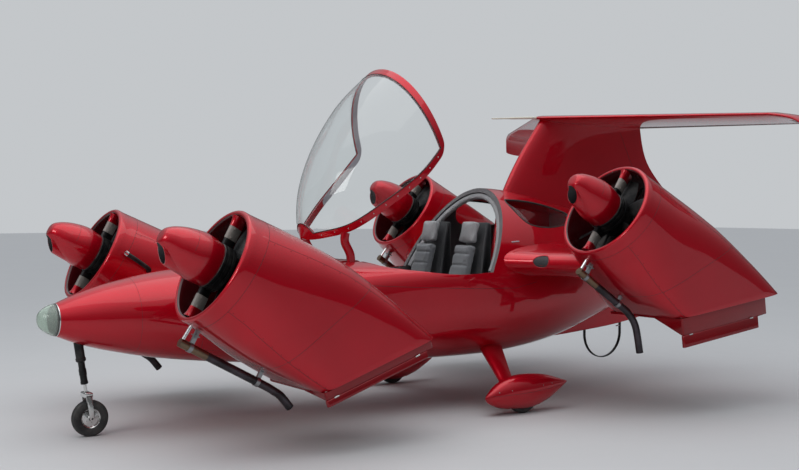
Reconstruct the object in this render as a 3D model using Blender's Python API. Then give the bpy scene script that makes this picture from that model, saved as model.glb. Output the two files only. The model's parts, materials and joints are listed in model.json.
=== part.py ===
"""Four-duct vertical take-off car, parked on its gear with the canopy open.

Metres, +Z up, nose towards -Y, the car's left side at +X. The origin is on the
ground under the middle of the overall length.
"""
import math
from dataclasses import dataclass

import bmesh
import bpy
from mathutils import Matrix, Vector

# Overall sizes and clearances
OVERALL_LENGTH = 6.55
CABIN_TOP_HEIGHT = 1.70
CABIN_HALF_WIDTH = 0.635
SEAT_GAP = 0.0003
FIT_GAP = 0.0006
RUNNING_GAP = 0.008
PIN_GAP = 0.0005
CUT_OVERRUN = 0.4

# Fuselage: stations are distances aft of the nose tip
NOSE_JOINT_STATION = 0.115
HULL_WALL = 0.035
FLOOR_HEIGHT = 0.46
CABIN_FRONT_STATION = 1.85
CABIN_REAR_STATION = 4.30
HATCH_LOW_HEIGHT = 0.900
HOOP_FOOT_STATION = 3.300
HOOP_FOOT_HEIGHT = 1.060
HOOP_LEAN = math.radians(27.5)
HOOP_RIM = 0.050
HOOP_DEPTH = 0.045
RING_POINTS = 28

# station, half width, top, widest height and belly: shares of the overall length, the
# cabin's half width and the cabin's height; then the powers of the upper and lower ovals
HULL_SECTION_SHARES = (
    (0.0176, 0.168, 0.531, 0.468, 0.405, 2.0, 2.0),
    (0.0415, 0.265, 0.568, 0.466, 0.368, 2.0, 2.1),
    (0.0750, 0.376, 0.606, 0.466, 0.332, 2.0, 2.2),
    (0.1300, 0.528, 0.645, 0.466, 0.290, 2.0, 2.4),
    (0.2060, 0.700, 0.667, 0.472, 0.256, 2.2, 2.6),
    (0.2980, 0.862, 0.679, 0.488, 0.232, 2.8, 2.8),
    (0.3890, 0.960, 0.674, 0.515, 0.216, 3.8, 3.0),
    (0.4960, 1.000, 0.660, 0.530, 0.212, 5.0, 3.0),
    (0.5650, 0.990, 0.720, 0.545, 0.221, 4.0, 2.8),
    (0.6490, 0.890, 0.920, 0.580, 0.262, 2.2, 2.4),
    (0.7400, 0.680, 0.850, 0.606, 0.360, 2.1, 2.2),
    (0.8470, 0.400, 0.755, 0.624, 0.488, 2.0, 2.0),
    (0.9466, 0.165, 0.682, 0.624, 0.571, 2.0, 2.0),
    (1.0000, 0.040, 0.636, 0.620, 0.604, 2.0, 2.0),
)
CABIN_SECTION_SHARES = (
    (0.4850, 0.985, 1.000, 0.560, 0.420, 2.0, 2.0),
    (0.5650, 0.975, 0.996, 0.570, 0.420, 2.0, 2.0),
    (0.6100, 0.930, 0.972, 0.580, 0.420, 2.0, 2.0),
    (0.6490, 0.865, 0.936, 0.590, 0.430, 2.0, 2.0),
    (0.7000, 0.740, 0.866, 0.600, 0.450, 2.0, 2.0),
)
HULL_STEPS = 2

# Nose cone
CONE_TIP_HEIGHT = 0.801
CONE_TIP_SIZE = 0.006
CONE_SECTION_SHARES = ((0.0, 0.0), (0.10, 0.36), (0.30, 0.62), (0.60, 0.85), (1.0, 1.0))

# Side windows: station and height as shares of the window's length and height
WINDOW_FRONT_STATION = 3.640
WINDOW_LENGTH = 0.660
WINDOW_LOW = 1.375
WINDOW_HEIGHT = 0.225
WINDOW_GLASS = 0.006
WINDOW_PANE_INSET = 0.150
WINDOW_OUTLINE_SHARES = (
    (0.00, 0.95), (0.05, 0.50), (0.14, 0.18), (0.30, 0.03), (0.55, 0.00),
    (0.80, 0.08), (0.95, 0.25), (1.00, 0.50), (0.80, 0.72), (0.45, 0.92), (0.10, 1.00),
)

# Canopy: shape when closed; opening swings it up about a hinge below the front deck
CANOPY_OPEN = math.radians(46.0)
HINGE_STATION = 2.024
HINGE_HEIGHT = 1.030
HINGE_TUBE_RADIUS = 0.018
CANOPY_LENGTH = 1.400
CANOPY_TIP_STATION = 2.192
CANOPY_HALF_WIDTH = 0.605
CANOPY_FOOT_HEIGHT = 1.072
CANOPY_RISE = 0.640
FRAME_WIDTH = 0.055
FRAME_DEPTH = 0.022
GLASS_DEPTH = 0.006
GLASS_GAP = 0.001
CANOPY_TIP_SHARE = 0.075
FRAME_WIDEST_ANGLE = math.radians(24.0)
# how far along, rail half width, rail station and height above the foot, crown station and
# height above the foot: shares of the canopy's length, half width and rise
CANOPY_SECTION_SHARES = (
    (0.00, 0.06, 0.000, 0.255, -0.006, 0.305),
    (0.12, 0.29, 0.043, 0.196, 0.085, 0.495),
    (0.30, 0.59, 0.147, 0.099, 0.256, 0.727),
    (0.52, 0.82, 0.333, 0.040, 0.481, 0.900),
    (0.78, 0.99, 0.569, -0.015, 0.750, 0.985),
    (1.00, 1.00, 0.780, 0.000, 0.997, 0.950),
)
CANOPY_ROWS = 10
CANOPY_COLUMNS = 14
ARM_OFFSET = 0.300
ARM_WIDTH = 0.040
ARM_EYE_RADIUS = 0.034
ARM_DEPTH = 0.060
ARM_KNEE_STATION = 2.215
ARM_KNEE_HEIGHT = 1.130

# Tail
FIN_FOOT_HEIGHT = 1.060
FIN_HEIGHT = 1.225
FIN_FRONT_STATION = 3.750
FIN_FOOT_CHORD = 2.790
FIN_THICKNESS = 0.190
# height, leading edge, trailing edge, thickness: shares of fin height, foot chord, thickness
FIN_SECTION_SHARES = (
    (0.00, 0.000, 1.000, 1.00),
    (0.20, 0.010, 0.890, 1.00),
    (0.45, 0.035, 0.755, 0.95),
    (0.72, 0.100, 0.640, 0.80),
    (1.00, 0.190, 0.605, 0.72),
)
AEROFOIL_POINTS = 10
WING_HALF_SPAN = 1.880
WING_FRONT_STATION = 4.218
WING_ROOT_CHORD = 1.280
WING_TIP_SWEEP = 1.160
WING_HEIGHT = 2.296
WING_TIP_DROOP = 0.190
WING_THICKNESS = 0.070
# span, leading edge, chord, drop: shares of half span, tip sweep, root chord and tip droop
WING_SECTION_SHARES = (
    (1.000, 1.020, 0.34, 1.00),
    (0.975, 0.985, 0.45, 0.62),
    (0.930, 0.930, 0.52, 0.30),
    (0.860, 0.860, 0.57, 0.15),
    (0.000, 0.000, 1.00, 0.00),
)
WING_INCIDENCE = 0.045
PITOT_LENGTH = 0.460
PITOT_RADIUS = 0.011
PITOT_DROP = 0.026
KEEL_FRONT_STATION = 4.230
KEEL_LENGTH = 1.900
KEEL_HEIGHT = 0.440
KEEL_LOW = 0.430
KEEL_THICKNESS = 0.050
# station and height as shares of the keel's length and height, down and round the outline
KEEL_OUTLINE_SHARES = (
    (0.00, 0.18), (0.06, 0.02), (0.25, 0.06), (0.55, 0.20), (0.85, 0.50), (1.00, 1.00),
    (0.85, 1.10), (0.40, 0.90), (0.10, 0.50),
)
TAIL_HOOP_FRONT_STATION = 4.781
TAIL_HOOP_SPAN = 0.431
TAIL_HOOP_LOW = 0.207
TAIL_HOOP_WIDTH = 0.028
TAIL_HOOP_THICKNESS = 0.010

# Cabin fittings
SEAT_OFFSET = 0.270
SEAT_WIDTH = 0.390
SEAT_FRONT_STATION = 2.780
SEAT_LENGTH = 0.700
SEAT_HEIGHT = 0.980
SEAT_ROUNDING = 0.030
SEAT_TAPER_SHARE = 0.38
SEAT_FOOT_SHARE = 0.62
# station and height as shares of the seat's length and height, from the front foot round
SEAT_OUTLINE_SHARES = (
    (0.06, 0.00), (0.00, 0.08), (0.00, 0.27), (0.10, 0.31), (0.52, 0.26), (0.62, 0.36),
    (0.76, 0.72), (0.84, 0.96), (0.90, 1.00), (0.98, 0.99), (1.00, 0.92), (0.92, 0.50),
    (0.80, 0.00),
)
BENCH_FRONT_STATION = 3.650
BENCH_LENGTH = 0.560
BENCH_HEIGHT = 0.800
BENCH_WIDTH = 0.760
# the same for the bench, whose foot slopes up over the tail's floor
BENCH_OUTLINE_SHARES = (
    (0.06, 0.00), (0.00, 0.08), (0.00, 0.27), (0.10, 0.31), (0.50, 0.26), (0.61, 0.36),
    (0.76, 0.72), (0.84, 0.96), (0.90, 1.00), (0.97, 0.99), (0.98, 0.92), (0.90, 0.50),
    (0.78, 0.26), (0.50, 0.00),
)
PANEL_STATION = 2.460
PANEL_DEPTH = 0.090
PANEL_LOW = 0.780
PANEL_HEIGHT = 0.270
PANEL_LEAN = math.radians(14.0)

# Nacelles
DUCT_LIP = 0.040
DUCT_EXIT_WALL = 0.018
DUCT_POINTS = 28
# along to the exit, low edge and high edge of the way from lip to exit corner, power
DUCT_OUTER_SHARES = (
    (0.04, 0.00, 0.00, 2.0),
    (0.25, 0.50, -0.18, 2.4),
    (0.50, 1.00, -0.12, 3.6),
    (0.75, 1.10, 0.36, 5.5),
    (1.00, 1.00, 1.00, 9.0),
)
LIP_STEPS = 4
POD_LENGTH = 0.375
POD_RADIUS = 0.158
# along the pod from its nose, top and bottom: shares of the pod's length and radius
POD_SECTION_SHARES = (
    (0.000, 0.16, 0.10), (0.012, 0.32, 0.24), (0.060, 0.46, 0.36), (0.180, 0.65, 0.52),
    (0.400, 0.86, 0.78), (0.700, 1.00, 0.97), (1.000, 0.93, 0.93),
)
POD_POINTS = 16
# the open intake tube under a pod's nose, its mouth slanted to face ahead and down
INTAKE_RADIUS = 0.055
INTAKE_WALL = 0.007
INTAKE_FRONT = 0.315
INTAKE_DROP = 0.088
INTAKE_DEPTH = 0.120
INTAKE_SLANT_SHARE = 0.80
INTAKE_SIDES = 20
STRUT_CHORD = 0.085
STRUT_THICKNESS = 0.034
HUB_RADIUS = 0.150
SHAFT_RADIUS = 0.020
FAN_RADIUS = 0.333
FAN_HUB_RADIUS = 0.120
FAN_HUB_LENGTH = 0.070
FAN_SPACING = 0.020
FRONT_FAN_BLADES = 6
REAR_FAN_BLADES = 5
BLADE_CHORD = 0.105
BLADE_THICKNESS = 0.012
BLADE_ROOT_PITCH = math.radians(48.0)
BLADE_TIP_PITCH = math.radians(24.0)
REAR_BODY_LENGTH = 0.420
PIPE_RADIUS = 0.027
PIPE_DROP = 0.120
PIPE_START = 0.040
PIPE_SIDES = 10
CLAMP_LENGTH = 0.030
CLAMP_WIDTH = 0.022
VANE_COUNT = 6
VANE_THICKNESS = 0.010
BOX_WALL = 0.016
BOX_RECESS = 0.010


@dataclass(frozen=True)
class Nacelle:
    """One size of ducted nacelle, used on both sides of the car."""

    name: str
    station: float
    offset: float
    height: float
    tilt: float
    radius: float
    low_reach: float
    low_drop: float
    tip_reach: float
    tip_rise: float
    box_depth: float
    flap_depth: float
    box_short: float
    flap_short: float
    pipe_bend: float
    pipe_end_reach: float
    pipe_end_drop: float
    stub_root: float
    stub_station: float
    stub_chord: float
    stub_height: float
    stub_thickness: float
    stub_sweep: float


FRONT_NACELLE = Nacelle(
    name="front", station=0.742, offset=1.100, height=1.190, tilt=math.radians(28.6),
    radius=0.385, low_reach=0.887, low_drop=0.424, tip_reach=1.500, tip_rise=0.255,
    box_depth=0.050, flap_depth=0.095, box_short=0.060, flap_short=0.115,
    pipe_bend=0.730, pipe_end_reach=0.190, pipe_end_drop=0.050,
    stub_root=0.330, stub_station=1.150, stub_chord=0.620, stub_height=0.900, stub_thickness=0.220,
    stub_sweep=0.080)
REAR_NACELLE = Nacelle(
    name="rear", station=3.753, offset=1.350, height=1.525, tilt=math.radians(33.5),
    radius=0.388, low_reach=0.779, low_drop=0.443, tip_reach=1.636, tip_rise=0.300,
    box_depth=0.125, flap_depth=0.215, box_short=0.205, flap_short=0.310,
    pipe_bend=0.600, pipe_end_reach=0.300, pipe_end_drop=0.190,
    stub_root=0.500, stub_station=3.420, stub_chord=1.100, stub_height=1.115, stub_thickness=0.320,
    stub_sweep=0.330)
SIDES = (("left", 1.0), ("right", -1.0))
# across from the stub wing's root to the duct, then chord and thickness, as shares
STUB_SECTION_SHARES = (
    (0.00, 1.32, 0.92), (0.18, 1.13, 0.80), (0.36, 1.02, 0.76), (0.60, 1.00, 0.80),
    (1.00, 1.00, 0.86),
)

# Landing gear
NOSE_GEAR_STATION = 0.350
NOSE_TYRE_RADIUS = 0.1225
NOSE_TYRE_WIDTH = 0.070
NOSE_RAKE = math.radians(8.5)
NOSE_SLEEVE_RADIUS = 0.035
NOSE_CYLINDER_RADIUS = 0.026
NOSE_ROD_RADIUS = 0.012
NOSE_SLEEVE_LOW = 0.510
NOSE_CYLINDER_LOW = 0.355
NOSE_SLEEVE_TOP = 0.680
NOSE_ROD_INSERT = 0.040
FORK_CROWN_LOW = 0.262
FORK_CROWN_HEIGHT = 0.040
FORK_CROWN_LENGTH = 0.060
FORK_BLADE_WIDTH = 0.030
FORK_BLADE_THICKNESS = 0.010
NOSE_AXLE_RADIUS = 0.009
MAIN_GEAR_STATION = 3.354
MAIN_TRACK_HALF = 0.896
MAIN_TYRE_RADIUS = 0.130
MAIN_TYRE_WIDTH = 0.064
MAIN_AXLE_RADIUS = 0.012
LEG_ROOT_STATION = 3.445
LEG_ROOT_OFFSET = 0.330
LEG_ROOT_HEIGHT = 0.520
LEG_ROOT_CHORD = 0.240
LEG_FOOT_STATION = 3.230
LEG_FOOT_OFFSET = 0.880
LEG_FOOT_HEIGHT = 0.220
LEG_FOOT_CHORD = 0.120
LEG_THICKNESS_SHARE = 0.34
PANT_NOSE_STATION = 3.010
PANT_LENGTH = 0.780
PANT_HALF_WIDTH = 0.088
PANT_HEIGHT = 0.290
PANT_POINTS = 16
# along, half width, top, bottom: shares of the pant's length, half width and height
PANT_SECTION_SHARES = (
    (0.000, 0.06, 0.49, 0.43), (0.040, 0.36, 0.60, 0.32), (0.150, 0.75, 0.82, 0.19),
    (0.330, 1.00, 0.98, 0.12), (0.520, 0.98, 1.00, 0.11), (0.720, 0.74, 0.94, 0.26),
    (0.880, 0.40, 0.82, 0.48), (1.000, 0.06, 0.72, 0.68),
)
TYRE_SEGMENTS = 20
# radius and width of the wheel's half section: shares of the tyre's radius and half width
TYRE_SECTION_SHARES = (
    (0.30, 0.62), (0.56, 0.62), (0.68, 0.94), (0.82, 1.00), (0.95, 0.80), (1.00, 0.00),
)


def aft(station):
    """World Y of a station measured aft of the nose tip."""
    return station - OVERALL_LENGTH / 2


def blend(start, end, share):
    """Value a share of the way from start to end."""
    return start + (end - start) * share


def curve_rows(rows, steps):
    """Rows with steps in each interval, on a smooth curve through the given rows."""
    smooth = []
    last = len(rows) - 1
    for index in range(last):
        before = rows[max(index - 1, 0)]
        start = rows[index]
        end = rows[index + 1]
        after = rows[min(index + 2, last)]
        for step in range(steps):
            t = step / steps
            smooth.append(tuple(
                0.5 * (2 * b + (c - a) * t + (2 * a - 5 * b + 4 * c - d) * t ** 2
                       + (3 * b - a - 3 * c + d) * t ** 3)
                for a, b, c, d in zip(before, start, end, after)))
    smooth.append(tuple(rows[-1]))
    return smooth


def row_at(rows, place):
    """Row of a table at a place of its first column, straight between its rows."""
    for start, end in zip(rows, rows[1:]):
        if place <= end[0]:
            share = (place - start[0]) / (end[0] - start[0])
            return tuple(blend(a, b, share) for a, b in zip(start, end))
    return rows[-1]


def oval(angle, power):
    """Unit oval at an angle: 2 is a circle, more is closer to a box."""
    reach = []
    for value in (math.cos(angle), math.sin(angle)):
        reach.append(math.copysign(abs(value) ** (2.0 / power), value))
    return reach


def material(name, colour, roughness, metallic=0.0, clear=0.0):
    """Principled material, made once."""
    found = bpy.data.materials.get(name)
    if found:
        return found
    made = bpy.data.materials.new(name)
    made.use_nodes = True
    shader = made.node_tree.nodes["Principled BSDF"]
    shader.inputs["Base Color"].default_value = (*colour, 1.0)
    shader.inputs["Roughness"].default_value = roughness
    shader.inputs["Metallic"].default_value = metallic
    shader.inputs["Transmission Weight"].default_value = clear
    made.diffuse_color = (*colour, 1.0)
    return made


def red_paint():
    """Deep red gloss paint."""
    return material("red_paint", (0.42, 0.008, 0.018), 0.22, 0.35)


def black_metal():
    """Black engine metal."""
    return material("black_metal", (0.015, 0.015, 0.016), 0.45, 0.6)


def bright_metal():
    """Bare light metal."""
    return material("bright_metal", (0.60, 0.60, 0.58), 0.30, 1.0)


def grey_cloth():
    """Grey seat cloth and padding."""
    return material("grey_cloth", (0.16, 0.17, 0.19), 0.85)


def clear_plastic():
    """Clear window plastic."""
    return material("clear_plastic", (0.85, 0.90, 0.90), 0.05, 0.0, 1.0)


def tyre_rubber():
    """Black tyre rubber."""
    return material("tyre_rubber", (0.02, 0.02, 0.02), 0.8)


def finish(name, bm, finish_material=None, parent=None):
    """Object of a closed mesh whose faces point out."""
    bmesh.ops.recalc_face_normals(bm, faces=bm.faces)
    mesh = bpy.data.meshes.new(name)
    bm.to_mesh(mesh)
    bm.free()
    mesh.shade_smooth()
    mesh.set_sharp_from_angle(angle=math.radians(32.0))
    made = bpy.data.objects.new(name, mesh)
    bpy.context.scene.collection.objects.link(made)
    if finish_material:
        mesh.materials.append(finish_material)
    if parent:
        made.parent = parent
    return made


def loft(rings, closed=False):
    """Triangles through rings of equal counts; closed joins the last ring to the first."""
    bm = bmesh.new()
    loops = [[bm.verts.new(point) for point in ring] for ring in rings]
    pairs = list(zip(loops, loops[1:]))
    if closed:
        pairs.append((loops[-1], loops[0]))
    for lower, upper in pairs:
        count = len(lower)
        for index in range(count):
            after = (index + 1) % count
            bm.faces.new((lower[index], lower[after], upper[after]))
            bm.faces.new((lower[index], upper[after], upper[index]))
    if not closed:
        bm.faces.new(loops[0])
        bm.faces.new(loops[-1])
    return bm


def prism(outline, start, end):
    """Closed mesh of a side outline of (y, z) points, run along X from start to end."""
    rings = [[Vector((x, y, z)) for y, z in outline] for x in (start, end)]
    return loft(rings)


def block(low, high):
    """Box mesh between two corners."""
    outline = ((low[1], low[2]), (high[1], low[2]), (high[1], high[2]), (low[1], high[2]))
    return prism(outline, low[0], high[0])


def turned(profile, segments):
    """Mesh of a closed (radius, x) profile turned a whole turn about the X axis."""
    bm = bmesh.new()
    verts = [bm.verts.new((x, radius, 0.0)) for radius, x in profile]
    edges = [bm.edges.new((a, b)) for a, b in zip(verts, verts[1:] + verts[:1])]
    bmesh.ops.spin(bm, geom=verts + edges, axis=(1, 0, 0), cent=(0, 0, 0), steps=segments,
                   angle=math.tau, use_merge=True)
    return bm


def rod(start, end, radius, sides, end_radius=None):
    """Round bar between two points, straight or tapered."""
    start = Vector(start)
    end = Vector(end)
    turn = (end - start).to_track_quat("Z", "Y")
    rings = []
    for centre, size in ((start, radius), (end, end_radius or radius)):
        ring = []
        for index in range(sides):
            angle = math.tau * index / sides
            ring.append(centre + turn @ Vector((size * math.cos(angle), size * math.sin(angle), 0)))
        rings.append(ring)
    return loft(rings)


def tube(points, radius, sides):
    """Round bar along a bent line of points in one plane of constant X."""
    rings = []
    last = len(points) - 1
    for index, point in enumerate(points):
        along = Vector(points[min(index + 1, last)]) - Vector(points[max(index - 1, 0)])
        along.normalize()
        across = Vector((1, 0, 0))
        upward = across.cross(along)
        ring = []
        for side in range(sides):
            angle = math.tau * side / sides
            ring.append(Vector(point) + radius * (across * math.cos(angle) + upward * math.sin(angle)))
        rings.append(ring)
    return loft(rings)


def cutter(name, bm, parent=None):
    """Hidden helper solid for Boolean modifiers."""
    made = finish(name, bm, None, parent)
    made.hide_render = True
    made.display_type = "WIRE"
    return made


def combine(target, helper, operation):
    """Add an exact Boolean modifier."""
    modifier = target.modifiers.new(helper.name, "BOOLEAN")
    modifier.operation = operation
    modifier.solver = "EXACT"
    modifier.object = helper
    return modifier


def section_rows(shares):
    """Sections in metres: station, half width, top, middle, belly, upper and lower power."""
    rows = []
    for along, wide, top, middle, belly, upper, lower in shares:
        rows.append((along * OVERALL_LENGTH, wide * CABIN_HALF_WIDTH, top * CABIN_TOP_HEIGHT,
                     middle * CABIN_TOP_HEIGHT, belly * CABIN_TOP_HEIGHT, upper, lower))
    return curve_rows(rows, HULL_STEPS)


def section_ring(row, inset, floor=None):
    """Ring of one hull section, moved in by an inset and cut off flat at a floor."""
    station, wide, top, middle, belly, upper, lower = row
    ring = []
    for index in range(RING_POINTS):
        angle = math.tau * index / RING_POINTS
        across, rise = oval(angle, upper if math.sin(angle) >= 0 else lower)
        reach = top - middle if rise >= 0 else middle - belly
        height = middle + rise * (reach - inset)
        if floor is not None:
            height = max(height, floor)
        ring.append(Vector((across * (wide - inset), aft(station), height)))
    return ring


def body_solid(shares, inset, start=None, end=None, floor=None):
    """Closed loft of the hull or the cabin, between two stations."""
    rows = section_rows(shares)
    start = rows[0][0] if start is None else start
    end = rows[-1][0] if end is None else end
    chosen = [row_at(rows, start)]
    chosen += [row for row in rows if start + HULL_WALL < row[0] < end - HULL_WALL]
    chosen.append(row_at(rows, end))
    return loft([section_ring(row, inset, floor) for row in chosen])


def outer_body(name, grow):
    """Hidden solid of the whole outer body, grown by a gap."""
    hull = cutter(name, body_solid(HULL_SECTION_SHARES, -grow))
    cabin = cutter(name + "_cabin", body_solid(CABIN_SECTION_SHARES, -grow))
    return (hull, cabin)


def cabin_room(name, inset):
    """Hidden solid of the room inside the body, moved in by an inset from the outside."""
    end = CABIN_REAR_STATION
    low = cutter(name, body_solid(HULL_SECTION_SHARES, inset, CABIN_FRONT_STATION, end,
                                  FLOOR_HEIGHT))
    high = cutter(name + "_high", body_solid(CABIN_SECTION_SHARES, inset, None, end, FLOOR_HEIGHT))
    combine(low, high, "UNION")
    return low


def hoop_point(height):
    """Station of the hoop plane at a height."""
    return HOOP_FOOT_STATION + (height - HOOP_FOOT_HEIGHT) * math.tan(HOOP_LEAN)


def canopy_rows():
    """Closed canopy sections in metres: along, half width, rail y and z, crown y and z."""
    rows = []
    for along, wide, rail, rail_rise, crown, crown_rise in CANOPY_SECTION_SHARES:
        rows.append((along, wide * CANOPY_HALF_WIDTH,
                     aft(CANOPY_TIP_STATION + rail * CANOPY_LENGTH),
                     CANOPY_FOOT_HEIGHT + rail_rise * CANOPY_RISE,
                     aft(CANOPY_TIP_STATION + crown * CANOPY_LENGTH),
                     CANOPY_FOOT_HEIGHT + crown_rise * CANOPY_RISE))
    return curve_rows(rows, 8)


def canopy_point(rows, along, angle, depth):
    """Point of the closed canopy: angle 0 is the left rail, half a turn the right rail."""
    _, wide, rail_y, rail_z, crown_y, crown_z = row_at(rows, along)
    rise = Vector((0.0, crown_y - rail_y, crown_z - rail_z))
    height = rise.length
    across = math.cos(angle)
    up = math.sin(angle)
    normal = Vector((across / wide, 0.0, 0.0)) + rise.normalized() * (up / height)
    surface = Vector((across * wide, rail_y, rail_z)) + rise.normalized() * (height * up)
    return surface - normal.normalized() * depth


def swing(point):
    """A closed canopy's point when the canopy stands open."""
    pivot = Vector((0.0, aft(HINGE_STATION), HINGE_HEIGHT))
    return pivot + Matrix.Rotation(CANOPY_OPEN, 3, "X") @ (Vector(point) - pivot)


def shell_patch(point, rows, columns, keep, depth):
    """Closed shell over the kept cells of a grid; point gives a place at a depth."""
    bm = bmesh.new()
    outer = {}
    inner = {}

    def corner(store, row, column, level):
        if (row, column) not in store:
            store[row, column] = bm.verts.new(point(row, column, level))
        return store[row, column]

    edges = {}
    for row in range(rows):
        for column in range(columns):
            if not keep(row, column):
                continue
            cell = ((row, column), (row, column + 1), (row + 1, column + 1), (row + 1, column))
            bm.faces.new([corner(outer, *place, 0.0) for place in cell])
            bm.faces.new([corner(inner, *place, depth) for place in reversed(cell)])
            for start, end in zip(cell, cell[1:] + cell[:1]):
                if (end, start) in edges:
                    del edges[end, start]
                else:
                    edges[start, end] = True
    for start, end in edges:
        bm.faces.new((outer[start], outer[end], inner[end], inner[start]))
    return bm


def canopy_grid(gap):
    """Places of the canopy's grid lines, the glass edge moved in by a gap."""
    rows = canopy_rows()
    tip = CANOPY_TIP_SHARE + gap / CANOPY_LENGTH
    arch = 1.0 - (FRAME_WIDTH + gap) / CANOPY_LENGTH
    inner_rows = [blend(tip, arch, index / (CANOPY_ROWS - 1)) for index in range(CANOPY_ROWS)]
    alongs = [0.0] + inner_rows + [1.0]

    def angle_at(along, column):
        _, wide, rail_y, rail_z, crown_y, crown_z = row_at(rows, along)
        height = math.hypot(crown_y - rail_y, crown_z - rail_z)
        edge = min(FRAME_WIDTH / height, FRAME_WIDEST_ANGLE) + gap / height
        if column == 0:
            return 0.0
        if column == CANOPY_COLUMNS:
            return math.pi
        return blend(edge, math.pi - edge, (column - 1) / (CANOPY_COLUMNS - 2))

    def point(row, column, depth):
        along = alongs[row]
        return swing(canopy_point(rows, along, angle_at(along, column), depth))

    return point


def is_glass(row, column):
    """True for the canopy's cells inside its frame."""
    return 0 < row < CANOPY_ROWS and 0 < column < CANOPY_COLUMNS - 1


def make_canopy():
    """Canopy frame with its two gooseneck arms, and the bubble glass."""
    pivot = bpy.data.objects.new("canopy_hinge", None)
    pivot.location = (0.0, aft(HINGE_STATION), HINGE_HEIGHT)
    bpy.context.scene.collection.objects.link(pivot)
    frame_bm = shell_patch(canopy_grid(0.0), CANOPY_ROWS + 1, CANOPY_COLUMNS,
                           lambda row, column: not is_glass(row, column), FRAME_DEPTH)
    frame = hang("canopy_frame", frame_bm, red_paint(), pivot)
    for name, side in SIDES:
        arm = cutter("arm_" + name, arm_mesh(side))
        combine(frame, arm, "UNION")
        bore = rod((side * (ARM_OFFSET - ARM_WIDTH), aft(HINGE_STATION), HINGE_HEIGHT),
                   (side * (ARM_OFFSET + ARM_WIDTH), aft(HINGE_STATION), HINGE_HEIGHT),
                   HINGE_TUBE_RADIUS + PIN_GAP, 16)
        combine(frame, cutter("arm_bore_" + name, bore), "DIFFERENCE")
    glass_bm = shell_patch(canopy_grid(GLASS_GAP), CANOPY_ROWS + 1, CANOPY_COLUMNS, is_glass,
                           GLASS_DEPTH)
    hang("canopy_glass", glass_bm, clear_plastic(), pivot)


def hang(name, bm, finish_material, pivot):
    """Object of a mesh in world places, with its origin moved to its pivot."""
    bmesh.ops.translate(bm, verts=bm.verts, vec=-Vector(pivot.location))
    return finish(name, bm, finish_material, pivot)


def arm_top():
    """Place on the open canopy's rail where the gooseneck arms run into it."""
    row = next(row for row in canopy_rows() if row[1] >= ARM_OFFSET)
    return swing((row[1], row[2], row[3]))


def arm_mesh(side):
    """Gooseneck arm from the hinge eye, out through the deck and up to the frame."""
    eye = Vector((aft(HINGE_STATION), HINGE_HEIGHT))
    knee = Vector((aft(ARM_KNEE_STATION), ARM_KNEE_HEIGHT))
    top = arm_top().yz
    half = ARM_DEPTH / 2
    outline = []
    for index in range(7):
        angle = math.radians(blend(65.0, 295.0, index / 6))
        outline.append((eye.x + ARM_EYE_RADIUS * math.cos(angle),
                        eye.y + ARM_EYE_RADIUS * math.sin(angle)))
    outline += [(knee.x - half, knee.y - ARM_DEPTH - half), (knee.x + half / 2, knee.y - ARM_DEPTH),
                (knee.x + half, knee.y), (top.x + ARM_DEPTH, top.y + half / 2),
                (top.x - half, top.y), (knee.x - half, knee.y),
                (knee.x - ARM_DEPTH, knee.y - half)]
    return prism(outline, side * (ARM_OFFSET - ARM_WIDTH / 2), side * (ARM_OFFSET + ARM_WIDTH / 2))


def make_nose_cone():
    """Pale pointed cone in front of the nose joint."""
    front = section_rows(HULL_SECTION_SHARES)[0]
    rings = []
    for along, size in CONE_SECTION_SHARES:
        centre = blend(CONE_TIP_HEIGHT, front[3], along)
        ring = []
        for index in range(RING_POINTS):
            angle = math.tau * index / RING_POINTS
            radius = blend(CONE_TIP_SIZE, front[1], size)
            ring.append(Vector((radius * math.cos(angle), aft(along * (front[0] - SEAT_GAP)),
                                centre + radius * math.sin(angle))))
        rings.append(ring)
    finish("nose_cone", loft(rings), material("pale_plastic", (0.62, 0.66, 0.60), 0.3))


def canopy_opening():
    """Hidden solids that open the deck under the canopy and trim the sill to its rail."""
    rows = canopy_rows()
    clear = FRAME_DEPTH + RUNNING_GAP
    rail = [row for row in rows if row[0] <= 1.0]
    left = [(row[1] - FRAME_WIDTH / 2, row[2]) for row in rail[::2] if row[1] > FRAME_WIDTH * 2]
    left.append((left[-1][0], aft(HOOP_FOOT_STATION) - RUNNING_GAP))
    outline = left + [(-wide, y) for wide, y in reversed(left)]
    high = CABIN_TOP_HEIGHT + CUT_OVERRUN
    rings = [[Vector((wide, y, z)) for wide, y in outline] for z in (HATCH_LOW_HEIGHT, high)]
    hatch = cutter("canopy_hatch", loft(rings))
    low = rail[-1][3] - clear
    profile = [(row[2], row[3] - clear) for row in rail[::4]]
    profile += [(aft(hoop_point(low)), low), (aft(hoop_point(high)), high),
                (rail[0][2] - clear, high)]
    sill = cutter("canopy_sill", prism(profile, -CABIN_HALF_WIDTH * 2, CABIN_HALF_WIDTH * 2))
    return hatch, sill


def window_outline(inset):
    """Side window outline as (y, z) points, moved in towards its middle by an inset."""
    points = []
    for along, rise in WINDOW_OUTLINE_SHARES:
        y = aft(WINDOW_FRONT_STATION + along * WINDOW_LENGTH)
        z = WINDOW_LOW + rise * WINDOW_HEIGHT
        middle_y = aft(WINDOW_FRONT_STATION + WINDOW_LENGTH / 2)
        middle_z = WINDOW_LOW + WINDOW_HEIGHT / 2
        y -= math.copysign(inset, y - middle_y)
        z -= math.copysign(inset, z - middle_z)
        points.append((y, z))
    return points


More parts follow.
